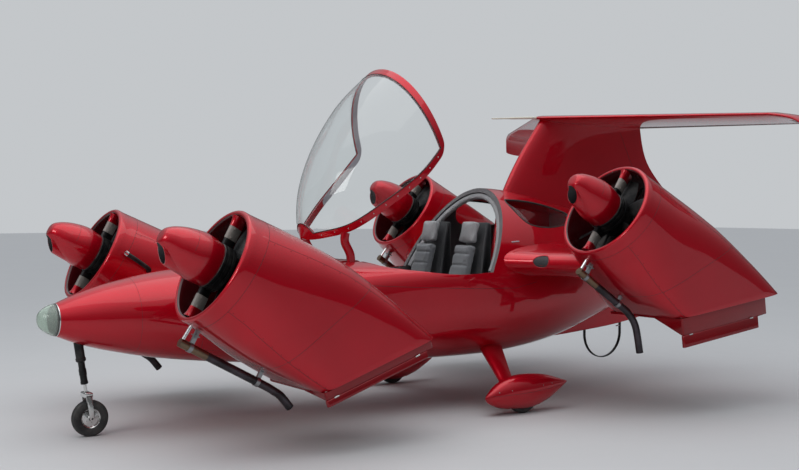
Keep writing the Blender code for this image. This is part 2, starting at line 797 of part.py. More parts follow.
def stub_mesh(nacelle, side):
    """Thick stub wing from inside the hull to inside a duct, flared towards its root."""
    rings = []
    for share, wide, thick in (STUB_SECTION_SHARES[0],) + STUB_SECTION_SHARES:
        across = blend(nacelle.stub_root, nacelle.offset, share) if rings else CABIN_HALF_WIDTH / 3
        middle = nacelle.stub_station + nacelle.stub_chord / 2 + nacelle.stub_sweep * share
        ring = []
        for index in range(DUCT_POINTS // 2):
            along, up = oval(math.tau * index / (DUCT_POINTS // 2), 2.4)
            ring.append(Vector((side * across, aft(middle + wide * nacelle.stub_chord / 2 * along),
                                nacelle.stub_height + thick * nacelle.stub_thickness / 2 * up)))
        rings.append(ring)
    return loft(rings)


def make_fuselage(duct_solids):
    """Hollow body: hull and cabin joined, with stub wings, canopy opening and windows."""
    body = finish("fuselage", body_solid(HULL_SECTION_SHARES, 0.0), red_paint())
    combine(body, cutter("cabin", body_solid(CABIN_SECTION_SHARES, 0.0)), "UNION")
    for nacelle in (FRONT_NACELLE, REAR_NACELLE):
        for name, side in SIDES:
            stub = cutter("stub_" + nacelle.name + "_" + name, stub_mesh(nacelle, side))
            combine(stub, duct_solids[nacelle.name, name], "DIFFERENCE")
            combine(body, stub, "UNION")
    room = cabin_room("cabin_room", HULL_WALL)
    for opening in canopy_opening():
        combine(room, opening, "UNION")
    windows = cutter("window_holes", prism(window_outline(0.0), -CABIN_HALF_WIDTH, CABIN_HALF_WIDTH))
    combine(room, windows, "UNION")
    for name, side in SIDES:
        low = (side * ARM_OFFSET - ARM_WIDTH / 2 - RUNNING_GAP, arm_top().y - ARM_DEPTH,
               HINGE_HEIGHT)
        high = (side * ARM_OFFSET + ARM_WIDTH / 2 + RUNNING_GAP,
                aft(ARM_KNEE_STATION) + ARM_DEPTH * 3, CABIN_TOP_HEIGHT)
        combine(room, cutter("arm_slot_" + name, block(low, high)), "UNION")
    combine(body, room, "DIFFERENCE")


def make_windows():
    """Clear panes flush in the two side window holes."""
    outer = cabin_room("pane_outside", WINDOW_GLASS)
    inner = cabin_room("pane_inside", WINDOW_GLASS * 2)
    for name, side in SIDES:
        ends = sorted((side * WINDOW_PANE_INSET, side * CABIN_HALF_WIDTH))
        pane = finish("window_" + name, prism(window_outline(SEAT_GAP), *ends), clear_plastic())
        combine(pane, outer, "INTERSECT")
        combine(pane, inner, "DIFFERENCE")


def make_hoop():
    """Grey padded rim that lines the cabin's front edge behind the canopy."""
    low = HOOP_FOOT_HEIGHT
    high = CABIN_TOP_HEIGHT
    lean = Vector((0.0, math.cos(HOOP_LEAN), -math.sin(HOOP_LEAN))) * HOOP_DEPTH
    start = Vector((0.0, aft(hoop_point(low)) + SEAT_GAP, low))
    end = Vector((0.0, aft(hoop_point(high)) + SEAT_GAP, high))
    profile = [(p.y, p.z) for p in (start, end, end + lean, start + lean)]
    hoop = finish("cabin_hoop", prism(profile, -CABIN_HALF_WIDTH, CABIN_HALF_WIDTH), grey_cloth())
    outside = cabin_room("hoop_outside", HULL_WALL + FIT_GAP)
    inside = cabin_room("hoop_inside", HULL_WALL + HOOP_RIM)
    combine(hoop, outside, "INTERSECT")
    combine(hoop, inside, "DIFFERENCE")


def side_outline(shares, front_station, length, low, height):
    """Outline of (y, z) points from shares of a length and a height."""
    return [(aft(front_station + along * length), low + up * height) for along, up in shares]


def make_seats():
    """Two high-backed front seats and the rear bench on the cabin floor."""
    floor = FLOOR_HEIGHT + SEAT_GAP
    places = [("seat_" + name, side * SEAT_OFFSET, SEAT_WIDTH, SEAT_FRONT_STATION, SEAT_LENGTH,
               SEAT_HEIGHT, SEAT_OUTLINE_SHARES) for name, side in SIDES]
    places.append(("rear_bench", 0.0, BENCH_WIDTH, BENCH_FRONT_STATION, BENCH_LENGTH, BENCH_HEIGHT,
                   BENCH_OUTLINE_SHARES))
    for name, centre, width, station, length, height, shares in places:
        outline = side_outline(shares, station, length, floor, height)
        shape = prism(outline, centre - width / 2, centre + width / 2)
        for vert in shape.verts:
            up = (vert.co.z - floor) / height
            taper = max(0.0, 2 * up - 1) * SEAT_TAPER_SHARE + max(0.0, 1 - 9 * up) * SEAT_FOOT_SHARE
            vert.co.x = blend(vert.co.x, centre, taper)
        seat = finish(name, shape, grey_cloth())
        bevel = seat.modifiers.new("rounded", "BEVEL")
        bevel.width = SEAT_ROUNDING
        bevel.segments = 1
        bevel.limit_method = "ANGLE"
        bevel.angle_limit = math.radians(60.0)


def make_panel():
    """Instrument panel across the cabin with the canopy's hinge tube in front of it."""
    y = aft(PANEL_STATION)
    lean = PANEL_HEIGHT * math.tan(PANEL_LEAN)
    low = PANEL_LOW
    high = PANEL_LOW + PANEL_HEIGHT
    profile = ((y, high), (y - PANEL_DEPTH, high), (y - PANEL_DEPTH, low + PANEL_DEPTH),
               (y - lean - PANEL_DEPTH / 2, low), (y - lean, low))
    panel = finish("instrument_panel", prism(profile, -CABIN_HALF_WIDTH, CABIN_HALF_WIDTH),
                   black_metal())
    inside = cabin_room("panel_room", HULL_WALL + FIT_GAP)
    combine(panel, inside, "INTERSECT")
    bar = rod((-CABIN_HALF_WIDTH, aft(HINGE_STATION), HINGE_HEIGHT),
              (CABIN_HALF_WIDTH, aft(HINGE_STATION), HINGE_HEIGHT), HINGE_TUBE_RADIUS, 12)
    hinge = finish("canopy_hinge_tube", bar, bright_metal())
    combine(hinge, inside, "INTERSECT")


def aerofoil(front, chord, thickness):
    """Symmetrical aerofoil as (along, across) pairs, round nose first and back along."""
    points = []
    for index in range(AEROFOIL_POINTS + 1):
        share = 0.5 - 0.5 * math.cos(math.pi * index / AEROFOIL_POINTS)
        half = thickness * (1.48 * math.sqrt(share) - 0.63 * share - 1.76 * share ** 2
                            + 1.42 * share ** 3 - 0.50 * share ** 4)
        points.append((front + share * chord, half))
    lower = [(along, -half) for along, half in reversed(points[1:])]
    return points + lower


def wing_mesh(drop, lift=0.0):
    """T-tail wing from tip to tip, drooped at its ends; lift raises its upper side only."""
    halves = [(1.0,) + row for row in WING_SECTION_SHARES]
    halves += [(-1.0,) + row for row in reversed(WING_SECTION_SHARES[:-1])]
    rings = []
    for side, span, sweep, chord, droop in halves:
        front = aft(WING_FRONT_STATION + sweep * WING_TIP_SWEEP)
        long = chord * WING_ROOT_CHORD
        ring = []
        for along, across in aerofoil(front, long, WING_THICKNESS * math.sqrt(chord)):
            height = WING_HEIGHT - droop * WING_TIP_DROOP - drop + across
            height += lift if across >= 0.0 else 0.0
            height -= WING_INCIDENCE * (along - front) / long
            ring.append(Vector((side * span * WING_HALF_SPAN, along, height)))
        rings.append(ring)
    return loft(rings)


def make_tail():
    """Fin, T-tail wing, pitot tube, ventral keel and tail hoop."""
    wing = finish("tail_wing", wing_mesh(0.0), red_paint())
    rings = []
    for up, forward, back, thick in FIN_SECTION_SHARES:
        front = aft(FIN_FRONT_STATION + forward * FIN_FOOT_CHORD)
        chord = (back - forward) * FIN_FOOT_CHORD
        height = FIN_FOOT_HEIGHT + up * FIN_HEIGHT
        rings.append([Vector((across, along, height))
                      for along, across in aerofoil(front, chord, thick * FIN_THICKNESS)])
    fin = finish("fin", loft(rings), red_paint())
    for solid in outer_body("fin_root", SEAT_GAP):
        combine(fin, solid, "DIFFERENCE")
    combine(fin, cutter("fin_top", wing_mesh(SEAT_GAP, WING_TIP_DROOP)), "DIFFERENCE")
    nose = Vector((0.0, aft(WING_FRONT_STATION), WING_HEIGHT))
    back = nose + Vector((0.0, PITOT_RADIUS * 2, 0.0))
    front = nose - Vector((0.0, PITOT_LENGTH, PITOT_DROP))
    pitot = finish("pitot_tube", rod(back, front, PITOT_RADIUS, 10, PITOT_RADIUS / 2),
                   material("cream_plastic", (0.78, 0.76, 0.66), 0.4))
    combine(pitot, cutter("pitot_seat", wing_grown()), "DIFFERENCE")
    keel_outline = side_outline(KEEL_OUTLINE_SHARES, KEEL_FRONT_STATION, KEEL_LENGTH, KEEL_LOW,
                                KEEL_HEIGHT)
    keel = finish("ventral_keel", prism(keel_outline, -KEEL_THICKNESS / 2, KEEL_THICKNESS / 2),
                  red_paint())
    combine(keel, bpy.data.objects["fin_root"], "DIFFERENCE")
    combine(keel, bpy.data.objects["fin_root_cabin"], "DIFFERENCE")
    make_tail_hoop()
    return wing


def wing_grown():
    """The wing's solid a seat gap larger all round."""
    mesh = wing_mesh(0.0)
    bmesh.ops.recalc_face_normals(mesh, faces=mesh.faces)
    mesh.normal_update()
    for vert in mesh.verts:
        vert.co += vert.normal * SEAT_GAP
    return mesh


def make_tail_hoop():
    """Flat black band that hangs below the keel in a U."""
    radius = TAIL_HOOP_SPAN / 2
    centre = aft(TAIL_HOOP_FRONT_STATION) + radius
    base = TAIL_HOOP_LOW + radius
    line = [(centre - radius, KEEL_LOW + KEEL_HEIGHT / 2)]
    for index in range(13):
        angle = math.pi + math.pi * index / 12
        line.append((centre + radius * math.cos(angle), base + radius * math.sin(angle)))
    line.append((centre + radius, KEEL_LOW + KEEL_HEIGHT / 2))
    shrink = (radius - TAIL_HOOP_THICKNESS) / radius
    inner = [(centre + (y - centre) * shrink, base + (z - base) * shrink if z < base else z)
             for y, z in line]
    band = finish("tail_hoop", prism(line + inner[::-1], -TAIL_HOOP_WIDTH / 2, TAIL_HOOP_WIDTH / 2),
                  black_metal())
    keel_outline = side_outline(KEEL_OUTLINE_SHARES, KEEL_FRONT_STATION, KEEL_LENGTH,
                                KEEL_LOW - SEAT_GAP, KEEL_HEIGHT)
    keel_cut = prism(keel_outline, -KEEL_THICKNESS, KEEL_THICKNESS)
    combine(band, cutter("tail_hoop_seat", keel_cut), "DIFFERENCE")
    combine(band, bpy.data.objects["fin_root"], "DIFFERENCE")


def duct_ring(nacelle, share, low_share, high_share, power, inset):
    """Ring of a duct in nacelle axes: X out, Y aft along the duct, Z up across it."""
    low = Vector((0.0, share * nacelle.low_reach,
                  -blend(nacelle.radius, nacelle.low_drop, low_share)))
    high = Vector((0.0, share * nacelle.tip_reach,
                   blend(nacelle.radius, nacelle.tip_rise, high_share)))
    centre = (low + high) / 2
    upward = (high - low).normalized()
    half_height = (high - low).length / 2 - inset
    half_width = nacelle.radius - inset
    ring = []
    for index in range(DUCT_POINTS):
        across, up = oval(math.tau * index / DUCT_POINTS, power)
        ring.append(centre + upward * (half_height * up) + Vector((half_width * across, 0.0, 0.0)))
    return ring


def lip_ring(nacelle, angle):
    """Ring of the rounded inlet lip: angle 0 is the outside, half a turn the inside."""
    middle = nacelle.radius - DUCT_LIP / 2
    radius = middle + DUCT_LIP / 2 * math.cos(angle)
    reach = DUCT_LIP / 2 * (1 - math.sin(angle))
    return [Vector((radius * math.cos(math.tau * index / DUCT_POINTS), reach,
                    radius * math.sin(math.tau * index / DUCT_POINTS)))
            for index in range(DUCT_POINTS)]


def duct_inset(share):
    """Wall of the duct at a share of the way to its exit."""
    return blend(DUCT_LIP, DUCT_EXIT_WALL, max(0.0, (share - 0.5) * 2))


def duct_mesh(nacelle):
    """Open duct: round lip at the inlet, slanted nearly square exit."""
    outer = [duct_ring(nacelle, *row, 0.0) for row in DUCT_OUTER_SHARES]
    inner = [duct_ring(nacelle, *row, duct_inset(row[0])) for row in DUCT_OUTER_SHARES]
    lip = [lip_ring(nacelle, math.pi * index / LIP_STEPS) for index in range(1, LIP_STEPS)]
    return loft(outer[::-1] + lip + inner, closed=True)


def duct_solid(nacelle, inset):
    """Closed solid of a duct's outside, moved in by an inset."""
    rings = [duct_ring(nacelle, *row, inset) for row in DUCT_OUTER_SHARES]
    front = [Vector((point.x, min(inset, 0.0), point.z)) for point in rings[0]]
    return loft(rings[::-1] + [front])


def throat_solid(nacelle):
    """Closed solid of the air space in a duct, a seat gap inside its walls."""
    rings = [duct_ring(nacelle, *row, duct_inset(row[0]) + FIT_GAP) for row in DUCT_OUTER_SHARES]
    front = [point - Vector((0.0, DUCT_LIP * 2, 0.0)) for point in rings[0]]
    return loft([front] + rings)


def nacelle_axes(nacelle, name, side):
    """Empty at a duct's inlet centre, Y aft along the duct."""
    axes = bpy.data.objects.new("nacelle_" + nacelle.name + "_" + name, None)
    axes.location = (side * nacelle.offset, aft(nacelle.station), nacelle.height)
    axes.rotation_euler = (-nacelle.tilt, 0.0, 0.0)
    bpy.context.scene.collection.objects.link(axes)
    return axes


def pod_mesh():
    """Engine pod in front of the inlet, blunt at its nose."""
    rings = []
    for along, top, bottom in curve_rows(POD_SECTION_SHARES, 1):
        y = -POD_LENGTH * (1 - along) - SEAT_GAP
        high = top * POD_RADIUS
        low = -bottom * POD_RADIUS
        half = (high - low) / 2
        rings.append([Vector((half * math.cos(math.tau * index / POD_POINTS), y,
                              (high + low) / 2 + half * math.sin(math.tau * index / POD_POINTS)))
                      for index in range(POD_POINTS)])
    return loft(rings)


def intake_ring(y, height, radius, slant_share):
    """Ring of the intake tube; its top leans ahead by a share of its height over the middle."""
    ring = []
    for index in range(INTAKE_SIDES):
        angle = math.tau * index / INTAKE_SIDES
        rise = radius * math.sin(angle)
        ring.append(Vector((radius * math.cos(angle), y - rise * slant_share, height + rise)))
    return ring


def make_pod(label, axes):
    """Engine pod with the open intake tube that runs back from under its nose."""
    pod = finish("engine_pod_" + label, pod_mesh(), red_paint(), axes)
    inner = INTAKE_RADIUS - INTAKE_WALL
    outside = loft([
        intake_ring(-INTAKE_FRONT, -INTAKE_DROP, INTAKE_RADIUS, INTAKE_SLANT_SHARE),
        intake_ring(-POD_LENGTH / 4, inner + INTAKE_WALL * 2 - POD_RADIUS, INTAKE_RADIUS, 0),
    ])
    combine(pod, cutter("intake_" + label, outside, axes), "UNION")
    bore = loft([
        intake_ring(-INTAKE_FRONT - INTAKE_WALL, -INTAKE_DROP, inner, INTAKE_SLANT_SHARE),
        intake_ring(INTAKE_DEPTH - INTAKE_FRONT, -INTAKE_DROP, inner, 0),
    ])
    combine(pod, cutter("intake_bore_" + label, bore, axes), "DIFFERENCE")


def make_mount(label, nacelle, axes):
    """Inlet strut, hub, shaft and rear body of one nacelle, in one piece."""
    mount = finish("engine_mount_" + label,
                   block((-STRUT_THICKNESS / 2, 0.0, -nacelle.radius),
                         (STRUT_THICKNESS / 2, STRUT_CHORD, nacelle.radius)), black_metal(), axes)
    hub = rod((0, 0, 0), (0, STRUT_CHORD, 0), HUB_RADIUS, 18)
    combine(mount, cutter("hub_" + label, hub, axes), "UNION")
    rear = fan_place(2)
    shaft = rod((0, STRUT_CHORD / 2, 0), (0, rear + STRUT_CHORD, 0), SHAFT_RADIUS, 12)
    combine(mount, cutter("shaft_" + label, shaft, axes), "UNION")
    body = rod((0, rear, 0), (0, rear + REAR_BODY_LENGTH, 0), HUB_RADIUS, 16, HUB_RADIUS / 3)
    combine(mount, cutter("rear_body_" + label, body, axes), "UNION")
    arm = block((-nacelle.radius, rear + FAN_SPACING, -STRUT_THICKNESS / 2),
                (nacelle.radius, rear + FAN_SPACING + STRUT_CHORD, STRUT_THICKNESS / 2))
    combine(mount, cutter("rear_strut_" + label, arm, axes), "UNION")
    combine(mount, cutter("throat_" + label, throat_solid(nacelle), axes), "INTERSECT")


def fan_place(number):
    """Distance behind the inlet of a fan hub's front face; number 2 is behind both fans."""
    return STRUT_CHORD + FAN_SPACING + number * (FAN_HUB_LENGTH + FAN_SPACING)


def fan_mesh(hand, blades):
    """Fan hub with a bore, and its blades; hand sets which way the blades twist."""
    half = FAN_HUB_LENGTH / 2
    bore = SHAFT_RADIUS + PIN_GAP
    profile = ((bore, -half), (FAN_HUB_RADIUS, -half), (FAN_HUB_RADIUS, half), (bore, half))
    bm = turned(profile, 16)
    turn = Matrix.Rotation(math.pi / 2, 4, "Z")
    bmesh.ops.transform(bm, matrix=turn, verts=bm.verts)
    hub = finish("fan_hub_shape", bm)
    for index in range(blades):
        rings = []
        for share in (0.0, 0.5, 1.0):
            radius = blend(FAN_HUB_RADIUS * 0.9, FAN_RADIUS, share)
            pitch = hand * blend(BLADE_ROOT_PITCH, BLADE_TIP_PITCH, share)
            chord = Vector((math.cos(pitch), math.sin(pitch), 0.0)) * (BLADE_CHORD / 2)
            thick = Vector((-math.sin(pitch), math.cos(pitch), 0.0)) * (BLADE_THICKNESS / 2)
            middle = Vector((0.0, 0.0, radius))
            ring = [middle - chord, middle + thick, middle + chord, middle - thick]
            # the twist decides which way round the triangles bulge outwards
            rings.append(ring[::-1] if hand > 0 else ring)
        blade = loft(rings)
        spin = Matrix.Rotation(math.tau * index / blades, 4, "Y")
        bmesh.ops.transform(blade, matrix=spin, verts=blade.verts)
        combine(hub, cutter("fan_blade_shape", blade), "UNION")
    graph = bpy.context.evaluated_depsgraph_get()
    mesh = bpy.data.meshes.new_from_object(hub.evaluated_get(graph))
    for helper in [item.object for item in hub.modifiers] + [hub]:
        bpy.data.objects.remove(helper)
    mesh.materials.clear()
    mesh.materials.append(black_metal())
    return mesh


def clamp_mesh(reach, nacelle):
    """Clamp from the exhaust pipe up into the duct's underside."""
    drop = nacelle.radius + PIPE_DROP
    return block((-CLAMP_WIDTH / 2, reach, -drop - PIPE_RADIUS / 2),
                 (CLAMP_WIDTH / 2, reach + CLAMP_LENGTH, -nacelle.radius + DUCT_LIP / 2))


def make_exhaust(label, nacelle, axes, duct_grown):
    """Exhaust pipe below the duct, bent down at its end, with its two clamps."""
    drop = -nacelle.radius - PIPE_DROP
    bend = nacelle.pipe_bend
    line = [(0.0, PIPE_START, drop), (0.0, bend, drop),
            (0.0, bend + nacelle.pipe_end_reach / 2, drop - nacelle.pipe_end_drop / 4),
            (0.0, bend + nacelle.pipe_end_reach, drop - nacelle.pipe_end_drop)]
    pipe = finish("exhaust_" + label, tube(line, PIPE_RADIUS, PIPE_SIDES), black_metal(), axes)
    for index, reach in enumerate((PIPE_START + CLAMP_LENGTH * 2, bend - CLAMP_LENGTH * 4)):
        clamp = cutter("clamp_%s_%d" % (label, index), clamp_mesh(reach, nacelle), axes)
        combine(pipe, clamp, "UNION")
    combine(pipe, duct_grown, "DIFFERENCE")


def exit_axes(nacelle):
    """Lower corner of the exit, the way up its slant, the way out of it, and its length."""
    low = Vector((0.0, nacelle.low_reach, -nacelle.low_drop))
    high = Vector((0.0, nacelle.tip_reach, nacelle.tip_rise))
    along = (high - low).normalized()
    out = Vector((0.0, along.z, -along.y))
    return low, along, out, (high - low).length


def make_vane_box(label, nacelle, axes):
    """Skirt below the slanted exit, its lower strip stepped out, with vanes across it."""
    low, along, out, length = exit_axes(nacelle)
    half = nacelle.radius - BOX_RECESS
    wide = nacelle.radius - BOX_RECESS / 2

    def ring(depth, width, wall, end):
        corners = []
        for x, up in ((-1, 0), (1, 0), (1, 1), (-1, 1)):
            run = blend(nacelle.radius - width + wall, length - end - wall, up)
            corners.append(low + along * run + out * depth + Vector((x * (width - wall), 0, 0)))
        return corners

    rings = [ring(SEAT_GAP, half, 0.0, nacelle.box_short),
             ring(nacelle.box_depth, half, 0.0, nacelle.box_short),
             ring(nacelle.box_depth, wide, 0.0, nacelle.flap_short),
             ring(nacelle.flap_depth, wide, 0.0, nacelle.flap_short),
             ring(nacelle.flap_depth, wide, BOX_WALL, nacelle.flap_short),
             ring(nacelle.box_depth, wide, BOX_WALL, nacelle.flap_short),
             ring(SEAT_GAP, half, BOX_WALL, nacelle.box_short)]
    box = finish("vane_box_" + label, loft(rings, closed=True), red_paint(), axes)
    usable = length - nacelle.flap_short
    for index in range(VANE_COUNT):
        place = low + along * (usable * (index + 1) / (VANE_COUNT + 1))
        thick = along * (VANE_THICKNESS / 2)
        start = place + out * (BOX_WALL / 2)
        end = place + out * (nacelle.flap_depth - BOX_WALL / 2)
        outline = [(p.y, p.z) for p in (start - thick, start + thick, end + thick, end - thick)]
        vane = cutter("vane_%s_%d" % (label, index),
                      prism(outline, -half + BOX_WALL / 2, half - BOX_WALL / 2), axes)
        combine(box, vane, "UNION")


def make_nacelles():
    """All four nacelles; returns each duct's grown solid by place."""
    fans = (fan_mesh(1.0, FRONT_FAN_BLADES), fan_mesh(-1.0, REAR_FAN_BLADES))
    solids = {}
    for nacelle in (FRONT_NACELLE, REAR_NACELLE):
        for name, side in SIDES:
            label = nacelle.name + "_" + name
            axes = nacelle_axes(nacelle, name, side)
            grown = cutter("duct_grown_" + label, duct_solid(nacelle, -FIT_GAP), axes)
            solids[nacelle.name, name] = grown
            finish("duct_" + label, duct_mesh(nacelle), red_paint(), axes)
            make_pod(label, axes)
            make_mount(label, nacelle, axes)
            make_exhaust(label, nacelle, axes, grown)
            make_vane_box(label, nacelle, axes)
            for number, part in enumerate(("front", "rear")):
                fan = bpy.data.objects.new("fan_%s_%s" % (label, part), fans[number])
                fan.location = (0.0, fan_place(number) + FAN_HUB_LENGTH / 2, 0.0)
                fan.parent = axes
                bpy.context.scene.collection.objects.link(fan)
    return solids


def wheel_mesh(radius, width, bore):
    """Tyre and rim in one turned piece about the X axis, flat side down on the floor."""
    half = width / 2
    corner = radius / math.cos(math.pi / TYRE_SEGMENTS)
    side = [(bore, -half * 0.62)]
    side += [(share * corner, -wide * half) for share, wide in TYRE_SECTION_SHARES]
    other = [(r, -x) for r, x in reversed(side[:-1])]
    bm = turned(side + other, TYRE_SEGMENTS)
    turn = Matrix.Rotation(math.pi / TYRE_SEGMENTS, 4, "X")
    bmesh.ops.transform(bm, matrix=turn, verts=bm.verts)
    return bm


def make_main_gear():
    """Two legs splayed out from the belly, wheel pants and main wheels."""
    hull = cutter("leg_root", body_solid(HULL_SECTION_SHARES, -SEAT_GAP))
    for name, side in SIDES:
        pant = finish("wheel_pant_" + name, pant_mesh(side, 0.0), red_paint())
        axle_height = MAIN_TYRE_RADIUS
        centre = Vector((side * MAIN_TRACK_HALF, aft(MAIN_GEAR_STATION), axle_height))
        well = wheel_well(centre)
        combine(pant, cutter("wheel_well_" + name, well), "DIFFERENCE")
        reach = Vector((PANT_HALF_WIDTH * 0.8, 0.0, 0.0))
        axle = rod(centre - reach, centre + reach, MAIN_AXLE_RADIUS, 12)
        combine(pant, cutter("main_axle_" + name, axle), "UNION")
        wheel = finish("main_wheel_" + name,
                       wheel_mesh(MAIN_TYRE_RADIUS, MAIN_TYRE_WIDTH, MAIN_AXLE_RADIUS + PIN_GAP),
                       tyre_rubber())
        wheel.location = centre
        leg = finish("main_leg_" + name, leg_mesh(side), red_paint())
        combine(leg, hull, "DIFFERENCE")
        combine(leg, cutter("leg_foot_" + name, pant_mesh(side, SEAT_GAP)), "DIFFERENCE")


def leg_mesh(side):
    """Tapered streamlined leg from the belly out to the wheel pant."""
    root = Vector((side * LEG_ROOT_OFFSET, aft(LEG_ROOT_STATION), LEG_ROOT_HEIGHT))
    foot = Vector((side * LEG_FOOT_OFFSET, aft(LEG_FOOT_STATION), LEG_FOOT_HEIGHT))
    down = (foot - root).normalized()
    across = Vector((0.0, 1.0, 0.0)).cross(down).normalized()
    rings = []
    for centre, chord in ((root, LEG_ROOT_CHORD), (foot, LEG_FOOT_CHORD)):
        thickness = chord * LEG_THICKNESS_SHARE
        ring = []
        for along, half in aerofoil(-chord / 2, chord, thickness):
            ring.append(centre + Vector((0.0, along, 0.0)) + across * half)
        rings.append(ring)
    return loft(rings)


def pant_mesh(side, grow):
    """Teardrop wheel pant, grown by a gap."""
    rings = []
    for along, wide, top, bottom in PANT_SECTION_SHARES:
        high = top * PANT_HEIGHT + grow
        low = bottom * PANT_HEIGHT - grow
        half_wide = wide * PANT_HALF_WIDTH + grow
        y = aft(PANT_NOSE_STATION + along * PANT_LENGTH)
        ring = []
        for index in range(PANT_POINTS):
            across, up = oval(math.tau * index / PANT_POINTS, 2.2)
            ring.append(Vector((side * MAIN_TRACK_HALF + half_wide * across, y,
                                (high + low) / 2 + up * (high - low) / 2)))
        rings.append(ring)
    return loft(rings)


def wheel_well(centre):
    """Round topped hollow that the wheel runs in, open below."""
    radius = MAIN_TYRE_RADIUS + RUNNING_GAP
    half = MAIN_TYRE_WIDTH / 2 + RUNNING_GAP
    outline = [(centre.y + radius * math.cos(math.pi * index / 14),
                centre.z + radius * math.sin(math.pi * index / 14)) for index in range(15)]
    outline += [(centre.y - radius, -CUT_OVERRUN), (centre.y + radius, -CUT_OVERRUN)]
    return prism(outline, centre.x - half, centre.x + half)


def make_nose_gear():
    """Nose strut, steering fork and nose wheel."""
    centre = Vector((0.0, aft(NOSE_GEAR_STATION), NOSE_TYRE_RADIUS))
    upward = Vector((0.0, -math.sin(NOSE_RAKE), math.cos(NOSE_RAKE)))

    def on_axis(height):
        return centre + upward * ((height - centre.z) / upward.z)

    strut = finish("nose_strut", rod(on_axis(NOSE_CYLINDER_LOW), on_axis(NOSE_SLEEVE_TOP),
                                     NOSE_CYLINDER_RADIUS, 16), black_metal())
    sleeve = rod(on_axis(NOSE_SLEEVE_LOW), on_axis(NOSE_SLEEVE_TOP), NOSE_SLEEVE_RADIUS, 16)
    combine(strut, cutter("nose_sleeve", sleeve), "UNION")
    bore = rod(on_axis(NOSE_CYLINDER_LOW - NOSE_ROD_INSERT),
               on_axis(NOSE_CYLINDER_LOW + NOSE_ROD_INSERT + PIN_GAP),
               NOSE_ROD_RADIUS + PIN_GAP, 12)
    combine(strut, cutter("nose_bore", bore), "DIFFERENCE")
    combine(strut, cutter("nose_strut_top", body_solid(HULL_SECTION_SHARES, -SEAT_GAP)),
            "DIFFERENCE")
    pivot = bpy.data.objects.new("nose_steering", None)
    pivot.location = on_axis(NOSE_CYLINDER_LOW)
    bpy.context.scene.collection.objects.link(pivot)
    place = Vector(pivot.location)
    stem = rod(on_axis(FORK_CROWN_LOW) - place,
               on_axis(NOSE_CYLINDER_LOW + NOSE_ROD_INSERT) - place, NOSE_ROD_RADIUS, 12)
    fork = finish("nose_fork", stem, bright_metal(), pivot)
    half_width = NOSE_TYRE_WIDTH / 2 + RUNNING_GAP + FORK_BLADE_THICKNESS
    crown_centre = on_axis(FORK_CROWN_LOW) - place
    half_length = FORK_CROWN_LENGTH / 2
    crown = block((-half_width, crown_centre.y - half_length, crown_centre.z),
                  (half_width, crown_centre.y + half_length, crown_centre.z + FORK_CROWN_HEIGHT))
    combine(fork, cutter("fork_crown", crown), "UNION")
    axle_centre = centre - place
    for name, side in SIDES:
        ends = sorted((side * half_width, side * (half_width - FORK_BLADE_THICKNESS)))
        outline = []
        for index in range(9):
            angle = math.pi + math.pi * index / 8
            outline.append((axle_centre.y + FORK_BLADE_WIDTH / 2 * math.cos(angle),
                            axle_centre.z + FORK_BLADE_WIDTH / 2 * math.sin(angle)))
        top = crown_centre.z + FORK_CROWN_HEIGHT / 2
        outline += [(crown_centre.y + half_length * 0.8, top),
                    (crown_centre.y - half_length * 0.8, top)]
        combine(fork, cutter("fork_blade_" + name, prism(outline, *ends)), "UNION")
    axle = rod(axle_centre - Vector((half_width, 0, 0)), axle_centre + Vector((half_width, 0, 0)),
               NOSE_AXLE_RADIUS, 12)
    combine(fork, cutter("nose_axle", axle), "UNION")
    for helper in ("fork_crown", "fork_blade_left", "fork_blade_right", "nose_axle"):
        bpy.data.objects[helper].parent = pivot
    wheel = finish("nose_wheel",
                   wheel_mesh(NOSE_TYRE_RADIUS, NOSE_TYRE_WIDTH, NOSE_AXLE_RADIUS + PIN_GAP),
                   tyre_rubber())
    wheel.location = centre


def main():
    """Build the whole car."""
    for old in list(bpy.data.objects):
        bpy.data.objects.remove(old)
    duct_solids = make_nacelles()
    make_fuselage(duct_solids)
    make_nose_cone()
    make_windows()
    make_hoop()
    make_panel()
    make_seats()
    make_canopy()
    make_tail()
    make_main_gear()
    make_nose_gear()


main()
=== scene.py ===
"""Looks of a four-duct vertical take-off car: paint, glass, cloth, engines and studio.

Metres, +Z up, nose towards -Y, the car's left side at +X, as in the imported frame.
"""
import json
import logging
import math
from dataclasses import dataclass, field
from enum import Enum
from typing import Callable, Iterable, Optional, Sequence

import bmesh
import bpy
from mathutils import Matrix, Vector
from mathutils.bvhtree import BVHTree

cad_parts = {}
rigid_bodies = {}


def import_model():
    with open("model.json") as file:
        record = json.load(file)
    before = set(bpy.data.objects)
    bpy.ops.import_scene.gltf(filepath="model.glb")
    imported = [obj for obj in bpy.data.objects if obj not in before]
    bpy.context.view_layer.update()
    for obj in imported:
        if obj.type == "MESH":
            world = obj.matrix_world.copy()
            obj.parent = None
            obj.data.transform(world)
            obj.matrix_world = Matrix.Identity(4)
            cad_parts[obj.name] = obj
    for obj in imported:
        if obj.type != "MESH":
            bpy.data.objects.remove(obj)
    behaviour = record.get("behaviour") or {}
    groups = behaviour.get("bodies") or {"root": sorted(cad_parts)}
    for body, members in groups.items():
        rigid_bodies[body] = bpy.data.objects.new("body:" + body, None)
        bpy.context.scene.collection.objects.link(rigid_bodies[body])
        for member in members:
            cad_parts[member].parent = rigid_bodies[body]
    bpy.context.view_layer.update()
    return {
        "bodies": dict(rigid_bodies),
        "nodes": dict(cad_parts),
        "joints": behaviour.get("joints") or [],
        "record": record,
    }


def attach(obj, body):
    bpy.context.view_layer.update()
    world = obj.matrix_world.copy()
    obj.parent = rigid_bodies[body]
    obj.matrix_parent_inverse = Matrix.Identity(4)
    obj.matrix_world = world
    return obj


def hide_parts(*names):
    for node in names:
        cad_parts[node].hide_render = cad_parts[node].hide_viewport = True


LOG = logging.getLogger("flying_car")
OVERALL_LENGTH = 6.55
